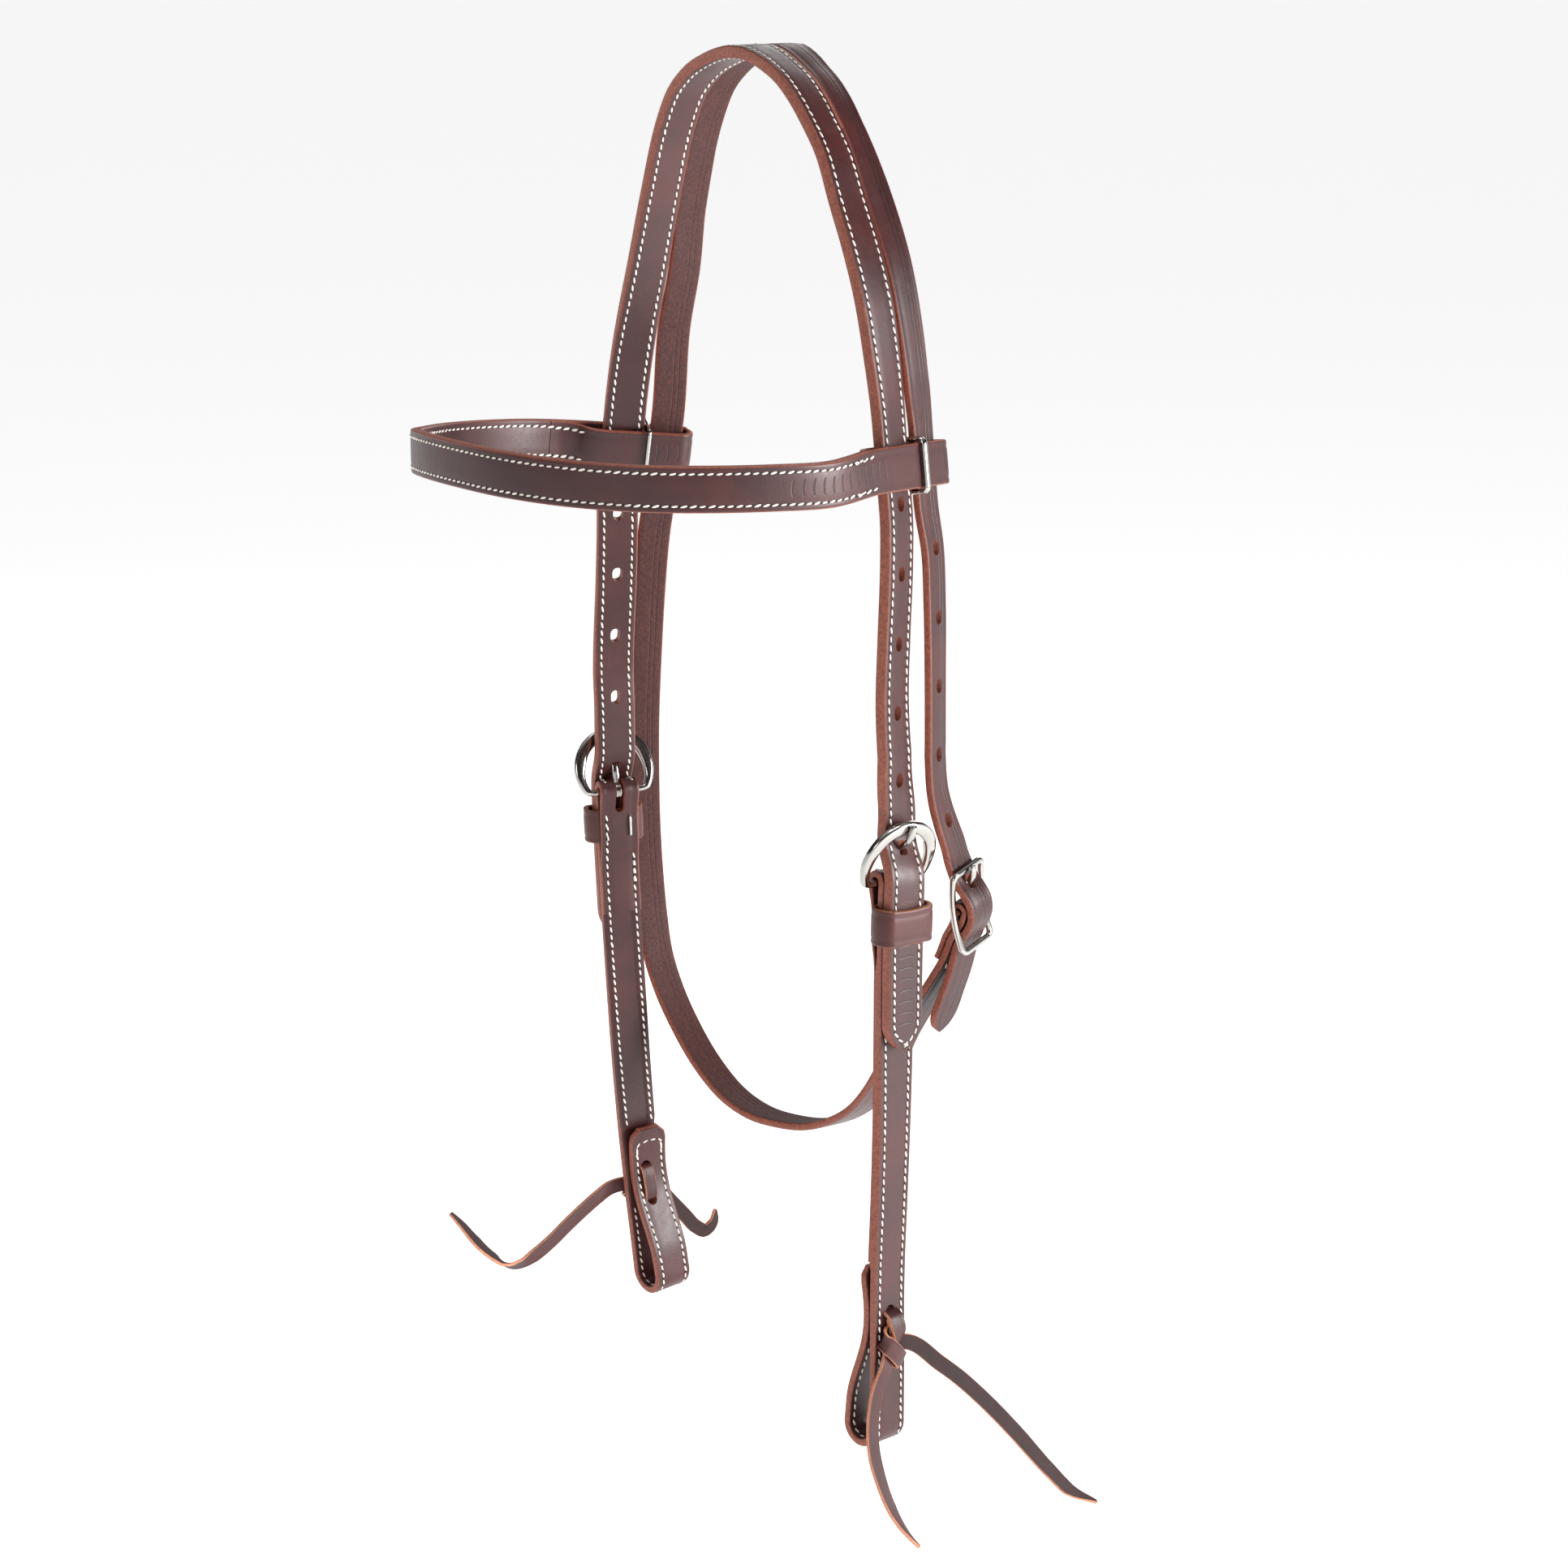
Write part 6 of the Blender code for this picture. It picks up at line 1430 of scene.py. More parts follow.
@dataclass
class Cheek:
    """One cheek strap: chape, cheek, bit loop and tab, with its inner ply, keeper and staple."""

    courses: Courses
    side: Side
    chape_return: float = 0.051
    keeper_drop: float = 0.0145
    keeper_height: float = 0.0135
    keeper_ply: float = 0.0022
    keeper_inner: float = 0.0014
    keeper_room: float = 0.0006
    keeper_bulge: float = 0.0018
    fold_radius: float = 0.0019
    tab_top: float = 0.071
    tab_end: float = 0.006
    loop_depth: float = 0.0165
    tie_hole: float = 0.0046
    flare: float = 0.0028
    staple_wire: float = 0.0010
    staple_reach: float = 0.004
    step: float = 0.003
    loop_shares: Tuple[Pair, ...] = ((0.62, 0.10), (0.50, 0.36), (0.40, 0.62), (0.30, 0.84))
    rows: List[Row] = field(default_factory=list)

    @property
    def leg(self) -> Leg:
        """The leg that this strap hangs on."""
        return self.courses.legs[self.side]

    @property
    def bottom(self) -> float:
        """Heel bar to the bottom of the bit loop."""
        return DROP - self.side.bar_drop

    def chape(self) -> Tuple[List[Pair], List[float], List[float]]:
        """Flesh path of the returned end and fold, its depths, and how free its back edge is."""
        top = self.keeper_drop - self.keeper_height / 2 - SEAM
        end = self.keeper_drop + self.keeper_height / 2 + SEAM
        deep = -PLY - self.keeper_inner - 2 * SEAM
        rough = [(self.chape_return, -GLUED, LINER, 0),
                 (end + self.keeper_height * 0.60, -GLUED, LINER, 0),
                 (end + self.keeper_height * 0.28, (deep - GLUED) / 2, LINER, 1),
                 (end, deep, LINER * 1.15, 1), (top, deep, LINER * 1.3, 1),
                 (top - self.fold_radius, deep - (self.fold_radius - 0.0006) * 0.5, FOLD_PLY * 0.85, 1)]
        steps = 20
        turn = arc((0.0, RING_BAR_LIFT), self.fold_radius, -180, 0, steps)
        rough += [(d, l, FOLD_PLY + (PLY - FOLD_PLY) * i / steps, 1) for i, (d, l) in enumerate(turn)]
        dense: List[Tuple[float, ...]] = []
        for one, two in zip(rough, rough[1:]):
            span = math.hypot(two[0] - one[0], two[1] - one[1])
            for t in spread(0, 1, self.step / max(span, 1e-6))[:-1]:
                dense.append(tuple(a + (b - a) * t for a, b in zip(one, two)))
        dense.append(rough[-1])
        for _ in range(2):
            dense = [dense[0]] + [tuple((a + 2 * b + c) / 4 for a, b, c in zip(p, q, r))
                                  for p, q, r in zip(dense, dense[1:], dense[2:])] + [dense[-1]]
        return [(d, l) for d, l, _, _ in dense], [p[2] for p in dense], [p[3] for p in dense]

    def loop(self) -> Tuple[List[Pair], List[Pair]]:
        """Grain and flesh paths of the bit loop and its tab, from the plain cheek on."""
        bottom, radius = self.bottom, self.loop_depth / 2
        top, closed = bottom - self.tab_top, -GLUED - PLY
        grain = [(d, 0.0) for d in spread(top, bottom - radius, self.step)][:-1]
        grain += arc((bottom - radius, -radius), radius, 0, 180, 30)
        inner = [(bottom - radius, -self.loop_depth)]
        inner += [(bottom - self.tab_top * s, closed + (-self.loop_depth - closed) * t)
                  for s, t in reversed(self.loop_shares)]
        inner += [(bottom - self.tab_top * 0.76, closed),
                  (bottom - self.tab_top * 0.86, closed - self.flare * 0.25),
                  (top, closed - self.flare)]
        grain += smoothed(inner, self.step)[1:]
        return grain, offset(grain, [PLY] * len(grain))

    def build(self) -> bpy.types.Object:
        """Both plies as one piece, with slot and tie holes."""
        leg, bottom = self.leg, self.bottom
        flesh, depths, free = self.chape()
        grain = offset(flesh, [-d for d in depths])
        low_grain, low_flesh = self.loop()
        middle = spread(0.0, bottom - self.tab_top, self.step)[1:-1]
        glued = [clamp((d - self.keeper_drop - self.keeper_height) / PARTING) for d in middle]
        mid_grain = [(d, 0.0) for d in middle]
        mid_flesh = [(d, -PLY - SEAM * g) for d, g in zip(middle, glued)]
        free = free + [1 - g for g in glued] + [1.0] * len(low_grain)
        grain, flesh = grain + mid_grain + low_grain, flesh + mid_flesh + low_flesh
        skew = 0.002 if self.side is Side.OFF else 0.0
        turn = len(grain) - len(low_grain) + 18
        cuts = sections(leg, grain, flesh)
        for i, cut in enumerate(cuts):
            cut.round_back = GLUED_ROUND + (EDGE_ROUND - GLUED_ROUND) * free[i]
            cut.shift = skew * clamp((i - turn) / (len(grain) - turn - 3))
            left = cuts[-1].along - cut.along
            if left < self.tab_end:
                cut.half = WIDTH / 2 * (1 - max(1 - left / self.tab_end, 0) ** 2.6 * 0.42)
        start, end = self.chape_return + SEAM, bottom - self.tab_top - SEAM
        downs = [d for d in spread(start, end + 0.012, self.step) if d <= end + 1e-6]
        lining = sections(leg, [(d, -STACK) for d in downs], [(d, -GLUED) for d in downs],
                          round_back=GLUED_ROUND)
        for cut, down in zip(lining, downs):
            cut.along = down
        skin = Skin()
        skin.body(cuts)
        skin.body(lining)
        self.stitches(cuts, lining, len(grain) - len(low_grain))
        return punch(skin.finish(f"{self.side.value}_cheek"), self.cutters())

    def stitches(self, cuts: Sequence[Cut], lining: Sequence[Cut], low: int) -> None:
        """Two rows down the cheek, on its lining, on the returned end and inside, and one round the tab.

        Args:
            cuts: The strap's sections, from the returned end to the tab's.
            lining: The inner ply's sections.
            low: Where the bit loop's sections begin.
        """
        start = next(i for i, c in enumerate(cuts) if c.along > self.chape_return + 0.004) + 2
        until = cuts[-1].along - INSET - 0.0056
        outside = [c for c in cuts[start:] if c.along < until]
        first, last = cuts[low + 2].along + 0.028, cuts[-1].along - 0.030
        inside = [c for c in cuts[low + 2:] if first < c.along < last]
        for side in (-1, 1):
            until = self.chape_return - (0.0085 if side < 0 else 0.0270)
            held = face_row([c for c in cuts[1:] if c.along < until], side)
            self.rows += [face_row(outside, side), face_row(lining, side), held, backstitch(held, -1),
                          face_row(inside, side, True)]
        end = cuts[-2]
        around = Row()
        reach, bend, back = WIDTH / 2 - INSET, 0.0026, INSET + 0.0004
        travel = (cuts[-1].face - cuts[-4].face).normalized()
        corners = [(-reach, bend + 0.002), (-reach, bend)]
        corners += [(-reach + bend * (1 - math.cos(t)), bend * (1 - math.sin(t)))
                    for t in (math.radians(a) for a in (20, 45, 70, 90))]
        corners += [(-a, d) for a, d in reversed(corners)]
        for a, d in corners:
            place = end.face - travel * (d + back - 0.0002) + end.width * (a + end.shift)
            around.add(place - end.depth.normalized() * THREAD_LIFT, -end.depth)
        self.rows.append(around)

    def cutters(self) -> List[bpy.types.Object]:
        """The tongue's slot over the fold and the two tie holes."""
        above = self.fold_radius + PLY + PUNCH_DEPTH
        below = 0.0135 - self.fold_radius - PLY
        fold, ties = Skin(), Skin()
        prism(fold, self.leg, (below - above) / 2, RING_BAR_LIFT - above, above + below, 0.0038)
        for place in TIE_HOLES:
            prism(ties, self.leg, self.bottom - place, -self.loop_depth - PUNCH_DEPTH,
                  self.tie_hole * 1.001, self.tie_hole)
        return [fold.finish(f"{self.side.value}_slot"), ties.finish(f"{self.side.value}_tie_holes")]

    def keeper(self) -> bpy.types.Object:
        """The fixed keeper round the billet's tail."""
        leg = self.leg
        outer = STACK + SEAM + self.keeper_room
        base = PLY + SEAM
        half = WIDTH / 2 + self.keeper_room
        mid = (outer - base) / 2
        outline = round_outline((outer + base) / 2, half, self.keeper_room * 1.6, 5)
        loop = []
        for one, two in zip(outline, outline[1:] + outline[:1]):
            pieces = max(1, round(math.hypot(two[0] - one[0], two[1] - one[1]) / 0.0012))
            for k in range(pieces):
                a, b = [p + (q - p) * k / pieces for p, q in zip(one, two)]
                share = clamp((a + mid + base) / (outer + base))
                bulge = self.keeper_bulge * math.sin(math.pi * share) * min(abs(b) / half, 1) ** 3
                loop.append((mid + a, b + math.copysign(bulge, b)))
        cuts, count, along = [], len(loop), 0.0
        top, low = self.keeper_drop - self.keeper_height / 2, self.keeper_drop + self.keeper_height / 2
        for i, (lift, across) in enumerate(loop):
            before, after = loop[i - 2], loop[(i + 2) % count]
            travel = Vector((after[0] - before[0], after[1] - before[1])).normalized()
            normal = Vector((travel.y, -travel.x))
            share = clamp((lift + base) / (outer + base))
            ply = self.keeper_inner + (self.keeper_ply - self.keeper_inner) * share
            far = (lift + normal.x * ply, across + normal.y * ply)
            if share < 0.02:
                far = (-base - self.keeper_inner, far[1])
            middle = (top + low) / 2
            face = leg.at(middle, *far)
            width = (leg.at(low, *far) - leg.at(top, *far)).normalized()
            along += (face - cuts[-1].face).length if cuts else 0.0
            arch = 0.0006 * max(share - 0.5, 0) * 2 * (1 - (across / half) ** 2)
            cuts.append(Cut(face, leg.at(middle, lift, across) - face, width,
                            (self.keeper_height - arch) / 2, along, shift=arch / 2, round_face=0.0005,
                            round_back=0.0004, flesh=1.0))
        skin = Skin()
        skin.body(cuts, closed=True)
        return skin.finish(f"{self.side.value}_keeper_loop")

    def staple(self) -> bpy.types.Object:
        """The staple that holds the keeper's ends."""
        leg, wire = self.leg, self.staple_wire
        surface = -PLY - self.keeper_inner - 2 * SEAM - LINER * 1.3
        crown = surface - SEAM - wire / 2
        legs = [(wire / 2, crown), (wire * 0.12, crown + wire * 0.2), (0.0, crown + wire * 0.55),
                (0.0, crown + 0.0012 + wire / 2)]
        top, low = self.keeper_drop - self.staple_reach, self.keeper_drop + self.staple_reach
        path = [(top + a, lift) for a, lift in reversed(legs)] + [(low - a, lift) for a, lift in legs]
        points = [leg.at(d, l, 0.0042) for d, l in path]
        across = leg.course.frame(leg.origin + leg.sense * self.keeper_drop)[3]
        skin = Skin()
        skin.plain(wire_rings(points, wire / 2, 12, False, across))
        return skin.finish(f"{self.side.value}_staple", sharp=WIRE_SHARP)


# Buckles


def band(center: Vector, direction: Vector, rise: Vector, width: float, thick: float,
         chamfer: float) -> List[Vector]:
    """An eight-cornered section: width along direction, thickness along rise."""
    w, t = width / 2, thick / 2
    c = min(w, t) * chamfer
    corners = ((-w, -t + c), (-w + c, -t), (w - c, -t), (w, -t + c),
               (w, t - c), (w - c, t), (-w + c, t), (-w, t - c))
    return [center + direction * a + rise * b for a, b in corners]


def rounded(piece: bpy.types.Object) -> bpy.types.Object:
    """Subdivide a cast or bent piece and keep the result."""
    step = piece.modifiers.new("rounding", "SUBSURF")
    step.levels = step.render_levels = 2
    flatten(piece)
    piece.data.shade_smooth()
    return piece


@dataclass
class RoundBuckle:
    """A cast ring with a straight heel bar, and its tongue."""

    courses: Courses
    side: Side
    radius: float = 0.0165
    width: float = 0.0048
    heel: float = 0.0030
    thick: float = 0.0030
    bar: float = 0.0032
    bar_offset: float = 0.0090
    tongue_thick: float = 0.0022
    tongue_shares: Tuple[Pair, ...] = (
        (0.175, -0.16), (0.29, -0.36), (0.43, -0.40), (0.59, -0.14), (0.735, 0.60), (0.876, 0.99),
        (1.00, 1.02), (1.12, 0.98))

    @property
    def frame(self) -> Matrix:
        """Place of the heel bar."""
        return self.courses.legs[self.side].matrix(0, RING_BAR_LIFT)

    def ring(self) -> bpy.types.Object:
        """The ring and its bar."""
        tilt = Matrix.Rotation(-RING_TILT, 3, "X")
        mid, heel = self.radius - self.width / 2, self.radius - self.heel / 2
        corner = math.acos(self.bar_offset / heel)
        rings, steps = [], 44
        for i in range(steps + 1):
            turn = corner + (math.tau - 2 * corner) * i / steps
            ease = min(min(i, steps - i) / (steps / 2) * 2.2, 1)
            ease = ease * ease * (3 - 2 * ease)
            size, wide = heel + (mid - heel) * ease, self.heel + (self.width - self.heel) * ease
            center = Vector((-size * math.sin(turn), 0, self.bar_offset - size * math.cos(turn)))
            outward = Vector((-math.sin(turn), 0, -math.cos(turn)))
            rings.append(band(center, outward, Vector((0, 1, 0)), wide * 1.03, self.thick * 1.05, 0.46))
        inner = heel * math.sin(corner) - self.heel
        for x in (inner, inner / 3, -inner / 3, -inner):
            rings.append(band(Vector((x, 0, 0)), Vector((0, 0, -1)), Vector((0, 1, 0)), self.bar * 1.02,
                              self.bar * 1.02, 0.586))
        skin = Skin()
        skin.plain([[tilt @ p for p in ring] for ring in rings], closed=True)
        return rounded(skin.finish(f"{self.side.value}_ring_buckle", self.frame))

    def tongue(self) -> bpy.types.Object:
        """The tongue, curled round the bar and resting on the ring."""
        reach = self.bar_offset + self.radius - self.width / 2
        rest = self.thick / 2 + TONGUE_GAP + self.tongue_thick / 2
        return make_tongue(f"{self.side.value}_buckle_tongue", self.frame, self.bar / 2, reach,
                           RING_TILT, rest, self.tongue_thick, self.tongue_shares)


def make_tongue(name: str, frame: Matrix, bar_radius: float, reach: float, tilt: float, rest: float,
                thick: float, shares: Sequence[Pair]) -> bpy.types.Object:
    """A flat tongue curled round its bar.

    Args:
        name: Piece name.
        frame: Place of the bar's axis.
        bar_radius: Radius of the bar.
        reach: Bar to the far side of the frame.
        tilt: Lean of the frame.
        rest: Height of the tongue's middle over the frame's plane at its tip.
        thick: Thickness of the tongue.
        shares: Its line as shares of reach and rest.

    Returns:
        The tongue.
    """
    curl, width = 0.0014, 0.0028
    radius = bar_radius + 0.0003 + curl / 2
    path, sizes = [], []
    for i in range(15):
        turn = math.radians(20 - 22 * i)
        path.append(Vector((0, radius * math.cos(turn), radius * math.sin(turn))))
        sizes.append((width, curl))
    lean = Matrix.Rotation(-tilt, 3, "X")
    for k, (along, rise) in enumerate(shares):
        path.append(lean @ Vector((0, rise * rest, along * reach)))
        narrow = 1 if k < len(shares) - 1 else 0.72
        sizes.append((width * narrow, curl + (thick - curl) * min((k + 1) / 3, 1)))
    rings, across = [], Vector((1, 0, 0))
    for i, (point, (wide, depth)) in enumerate(zip(path, sizes)):
        travel = (path[min(i + 1, len(path) - 1)] - path[max(i - 1, 0)]).normalized()
        rings.append(band(point, across, across.cross(travel).normalized(), wide, depth, 0.5))
    skin = Skin()
    skin.plain(rings)
    return rounded(skin.finish(name, frame))


@dataclass
class ThroatBuckle:
    """A bowed rectangular frame with a centre bar, and its tongue."""

    courses: Courses
    width: float = 0.0200
    height: float = 0.0340
    wire: float = 0.0024
    bow: float = 0.0020
    corner: float = 0.0024
    tongue_thick: float = 0.0018
    tongue_shares: Tuple[Pair, ...] = (
        (0.20, 0.30), (0.33, 0.28), (0.46, 0.20), (0.61, 0.42), (0.75, 0.86), (0.89, 1.04), (1.02, 1.06),
        (1.15, 1.0))

    @property
    def frame(self) -> Matrix:
        """Place of the centre bar."""
        return self.courses.throat_leg.matrix(0, THROAT_BAR_LIFT)

    def build(self) -> bpy.types.Object:
        """The frame and its bar."""
        rod = self.wire / 2
        reach = self.height / 2 - rod
        outline = round_outline(self.width / 2 - rod, reach, self.corner, 8)
        path = [Vector((a, 0, b)) for a, b in outline]
        dense = []
        for i, point in enumerate(path):
            after = path[(i + 1) % len(path)]
            pieces = max(1, round((after - point).length / 0.0012))
            for k in range(pieces):
                spot = point.lerp(after, k / pieces)
                spot.y = self.bow * (spot.z / reach) ** 2
                dense.append(spot)
        skin = Skin()
        rings, sides, power = [], 16, 3.2
        for i, point in enumerate(dense):
            travel = (dense[(i + 1) % len(dense)] - dense[i - 1]).normalized()
            side = travel.cross(Vector((0, 1, 0))).normalized()
            rise = side.cross(travel).normalized()
            ring = []
            for k in range(sides):
                x, y = math.cos(math.tau * k / sides), math.sin(math.tau * k / sides)
                square = (abs(x) ** power + abs(y) ** power) ** (-1 / power)
                ring.append(point + (side * x * square * 0.96 + rise * y * square * 0.90) * rod)
            rings.append(ring)
        skin.plain(rings, closed=True)
        side = self.width / 2 - rod
        bar = [Vector((x, 0, 0)) for x in spread(-side, side, 0.004)]
        skin.plain(wire_rings(bar, rod * 0.98, 16, False, Vector((0, 1, 0))))
        return skin.finish("throat_frame", self.frame, sharp=WIRE_SHARP)

    def tongue(self) -> bpy.types.Object:
        """The tongue, resting on the upper end bar."""
        reach = (self.height - self.wire) / 2
        rest = self.wire / 2 + TONGUE_GAP + self.tongue_thick / 2
        return make_tongue("throat_buckle_tongue", self.frame, self.wire / 2, reach,
                           math.atan2(self.bow, reach), rest, self.tongue_thick, self.tongue_shares)


# Ties


@dataclass
class Thong:
    """A flat lace along a smooth line."""

    line: Sequence[Vector]
    normal: Vector
    width: float = 0.0060
    thick: float = 0.0014
    step: float = 0.0012
    twists: Sequence[Pair] = ()
    facings: Sequence[Vector] = ()
    tip: float = 0.0
    flesh: float = 1.0

    @property
    def course(self) -> Course:
        """The lace's line, with its facings where they are given."""
        return Course(self.line, self.facings or [Vector((0, 0, 1))] * len(self.line))

    def route(self) -> List[Vector]:
        """Places along the middle of the lace."""
        course = self.course
        return [course.at(s, 0, 0) for s in spread(0, course.length, self.step)]

    def cuts(self) -> List[Cut]:
        """Sections, their normals carried along without twist and then turned by the twists given."""
        route, course = self.route(), self.course
        cuts, normal, along = [], self.normal.copy(), 0.0
        total = sum((b - a).length for a, b in zip(route, route[1:]))
        places = [p for p, _ in self.twists] or [0.0, 1.0]
        turns = [t for _, t in self.twists] or [0.0, 0.0]
        for i, point in enumerate(route):
            travel = (route[min(i + 1, len(route) - 1)] - route[max(i - 1, 0)]).normalized()
            if self.facings:
                normal = course.frame(course.length * i / (len(route) - 1))[3]
            normal = (normal - travel * normal.dot(travel)).normalized()
            along += (point - route[i - 1]).length if i else 0.0
            share = along / total
            turn = math.radians(float(np.interp(share, places, turns)))
            facing = Matrix.Rotation(turn, 3, travel) @ normal
            width = facing.cross(travel).normalized()
            half, shift = self.width / 2, 0.0
            if self.tip and total - along < self.tip:
                lost = (1 - (total - along) / self.tip) * 0.72
                half, shift = half * (1 - lost), -half * lost * 0.5
            cuts.append(Cut(point + facing * self.thick / 2, -facing * self.thick, width, half, along,
                            shift=shift, round_face=0.0003, round_back=0.0003, flesh=self.flesh))
        return cuts


@dataclass
class Tie:
    """A thong tied through the cheek strap and its tab: bar inside, knot outside, two loose ends."""

    courses: Courses
    side: Side
    sink: float = 0.0020
    tab_lean: float = 0.049
    knot_over: Tuple[Tuple[float, ...], ...] = (
        (0.0, 7.05, -2.8, 0, 1, 0), (0.0, 6.90, 0.3, 0, 1, 0), (0.1, 5.7, 2.3, 0, 0.7, 0.7),
        (0.3, 2.8, 3.6, 0, 0.2, 1), (0.9, -0.8, 3.9, 0.1, 0, 1), (1.6, -4.0, 3.0, 0.4, -0.2, 1),
        (1.8, -5.6, 1.8, 0.3, -0.5, 1), (0.8, -6.8, 0.8, 0, -1, 0.4), (0.0, -7.25, -2.5, 0, -1, 0))
    knot_cross: Tuple[Tuple[float, ...], ...] = (
        (-0.4, -0.8, 1.2, 0, 0, -1), (-3.6, -1.6, 1.3, -0.6, 0, -1), (-5.5, -2.8, 2.3, -1, 0.2, 0),
        (-4.9, -4.2, 3.7, -0.6, 0.2, 1), (-2.5, -6.9, 4.6, -0.1, -0.1, 1), (0.6, -10.2, 4.2, 0.2, -0.2, 1),
        (2.9, -12.6, 2.8, 0.6, -0.5, 0.6), (3.1, -13.0, 1.4, 0.6, -0.5, -0.5), (1.8, -11.8, 0.9, 0, 0, -1))
    knot_core: Tuple[Tuple[float, ...], ...] = (
        (0.0, 4.6, 1.2, 0, 0, 1), (0.0, 1.2, 1.9, 0, 0, 1), (0.2, -3.0, 2.0, 0, 0, 1),
        (0.2, -7.5, 1.6, 0, 0, 1), (0.2, -11.0, 1.1, 0, 0, 1))

    @property
    def leg(self) -> Leg:
        """The leg that the tie is on."""
        return self.courses.legs[self.side]

    @property
    def middle(self) -> float:
        """Heel bar to the middle of the two holes."""
        return DROP - self.side.bar_drop - sum(TIE_HOLES) / 2

    def spot(self, across: float, up: float, lift: float) -> Vector:
        """A place beside the knot, in millimetres rearward, up and outward."""
        return self.leg.at(self.middle - up * MM, lift * MM, across * MM)

    def knot(self) -> bpy.types.Object:
        """The crossing laces outside, the legs through the holes and the bar on the tab."""
        skin = Skin()
        out = self.leg.outward(self.middle)
        up = (self.spot(0, 1, 0) - self.spot(0, 0, 0)).normalized()
        rear = out.cross(up)
        if (self.spot(1, 0, 0) - self.spot(0, 0, 0)).dot(rear) <= 0:
            rear = -rear
        for points, wide, deep in ((self.knot_over, 0.0068, 0.0015), (self.knot_cross, 0.0066, 0.0014),
                                   (self.knot_core, 0.0050, 0.0018)):
            faces = [rear * f[0] + up * f[1] + out * f[2] for f in (p[3:] for p in points)]
            skin.body(Thong([self.spot(*p[:3]) for p in points], out, width=wide, thick=deep,
                            step=0.0008, facings=faces).cuts())
        inner = -(2 * PLY + SEAM)
        bar = [(0.0, 7.25, -1.0), (0.0, 7.2, inner / MM + 1.2), (0.0, 7.0, inner / MM - 0.6),
               (0.0, 5.0, inner / MM - 1.5), (0.0, 0.0, inner / MM - 2.1), (0.0, -5.0, inner / MM - 1.8),
               (0.0, -7.0, inner / MM - 0.8), (0.0, -7.2, inner / MM + 1.2), (0.0, -7.25, -1.0)]
        bar = [(a, u, l - self.tab_lean * max(-u, 0)) for a, u, l in bar]
        skin.body(Thong([self.spot(*p) for p in bar], up, width=0.0052, step=0.0008).cuts())
        return skin.finish(f"{self.side.value}_knot")


@dataclass(frozen=True)
class TailRoute:
    """A loose end.

    Attributes:
        name: Piece name.
        node: CAD node that it stands for.
        tucked: Its line beside the knot, as (down, lift, across).
        points: The rest of its line, in space.
        twists: Its turn in degrees at shares of its length.
        grain_out: Whether its grain side faces outward at the knot.
    """

    name: str
    node: str
    tucked: Tuple[Spot, ...]
    points: Tuple[Spot, ...]
    twists: Tuple[Pair, ...]
    grain_out: bool


# Thread


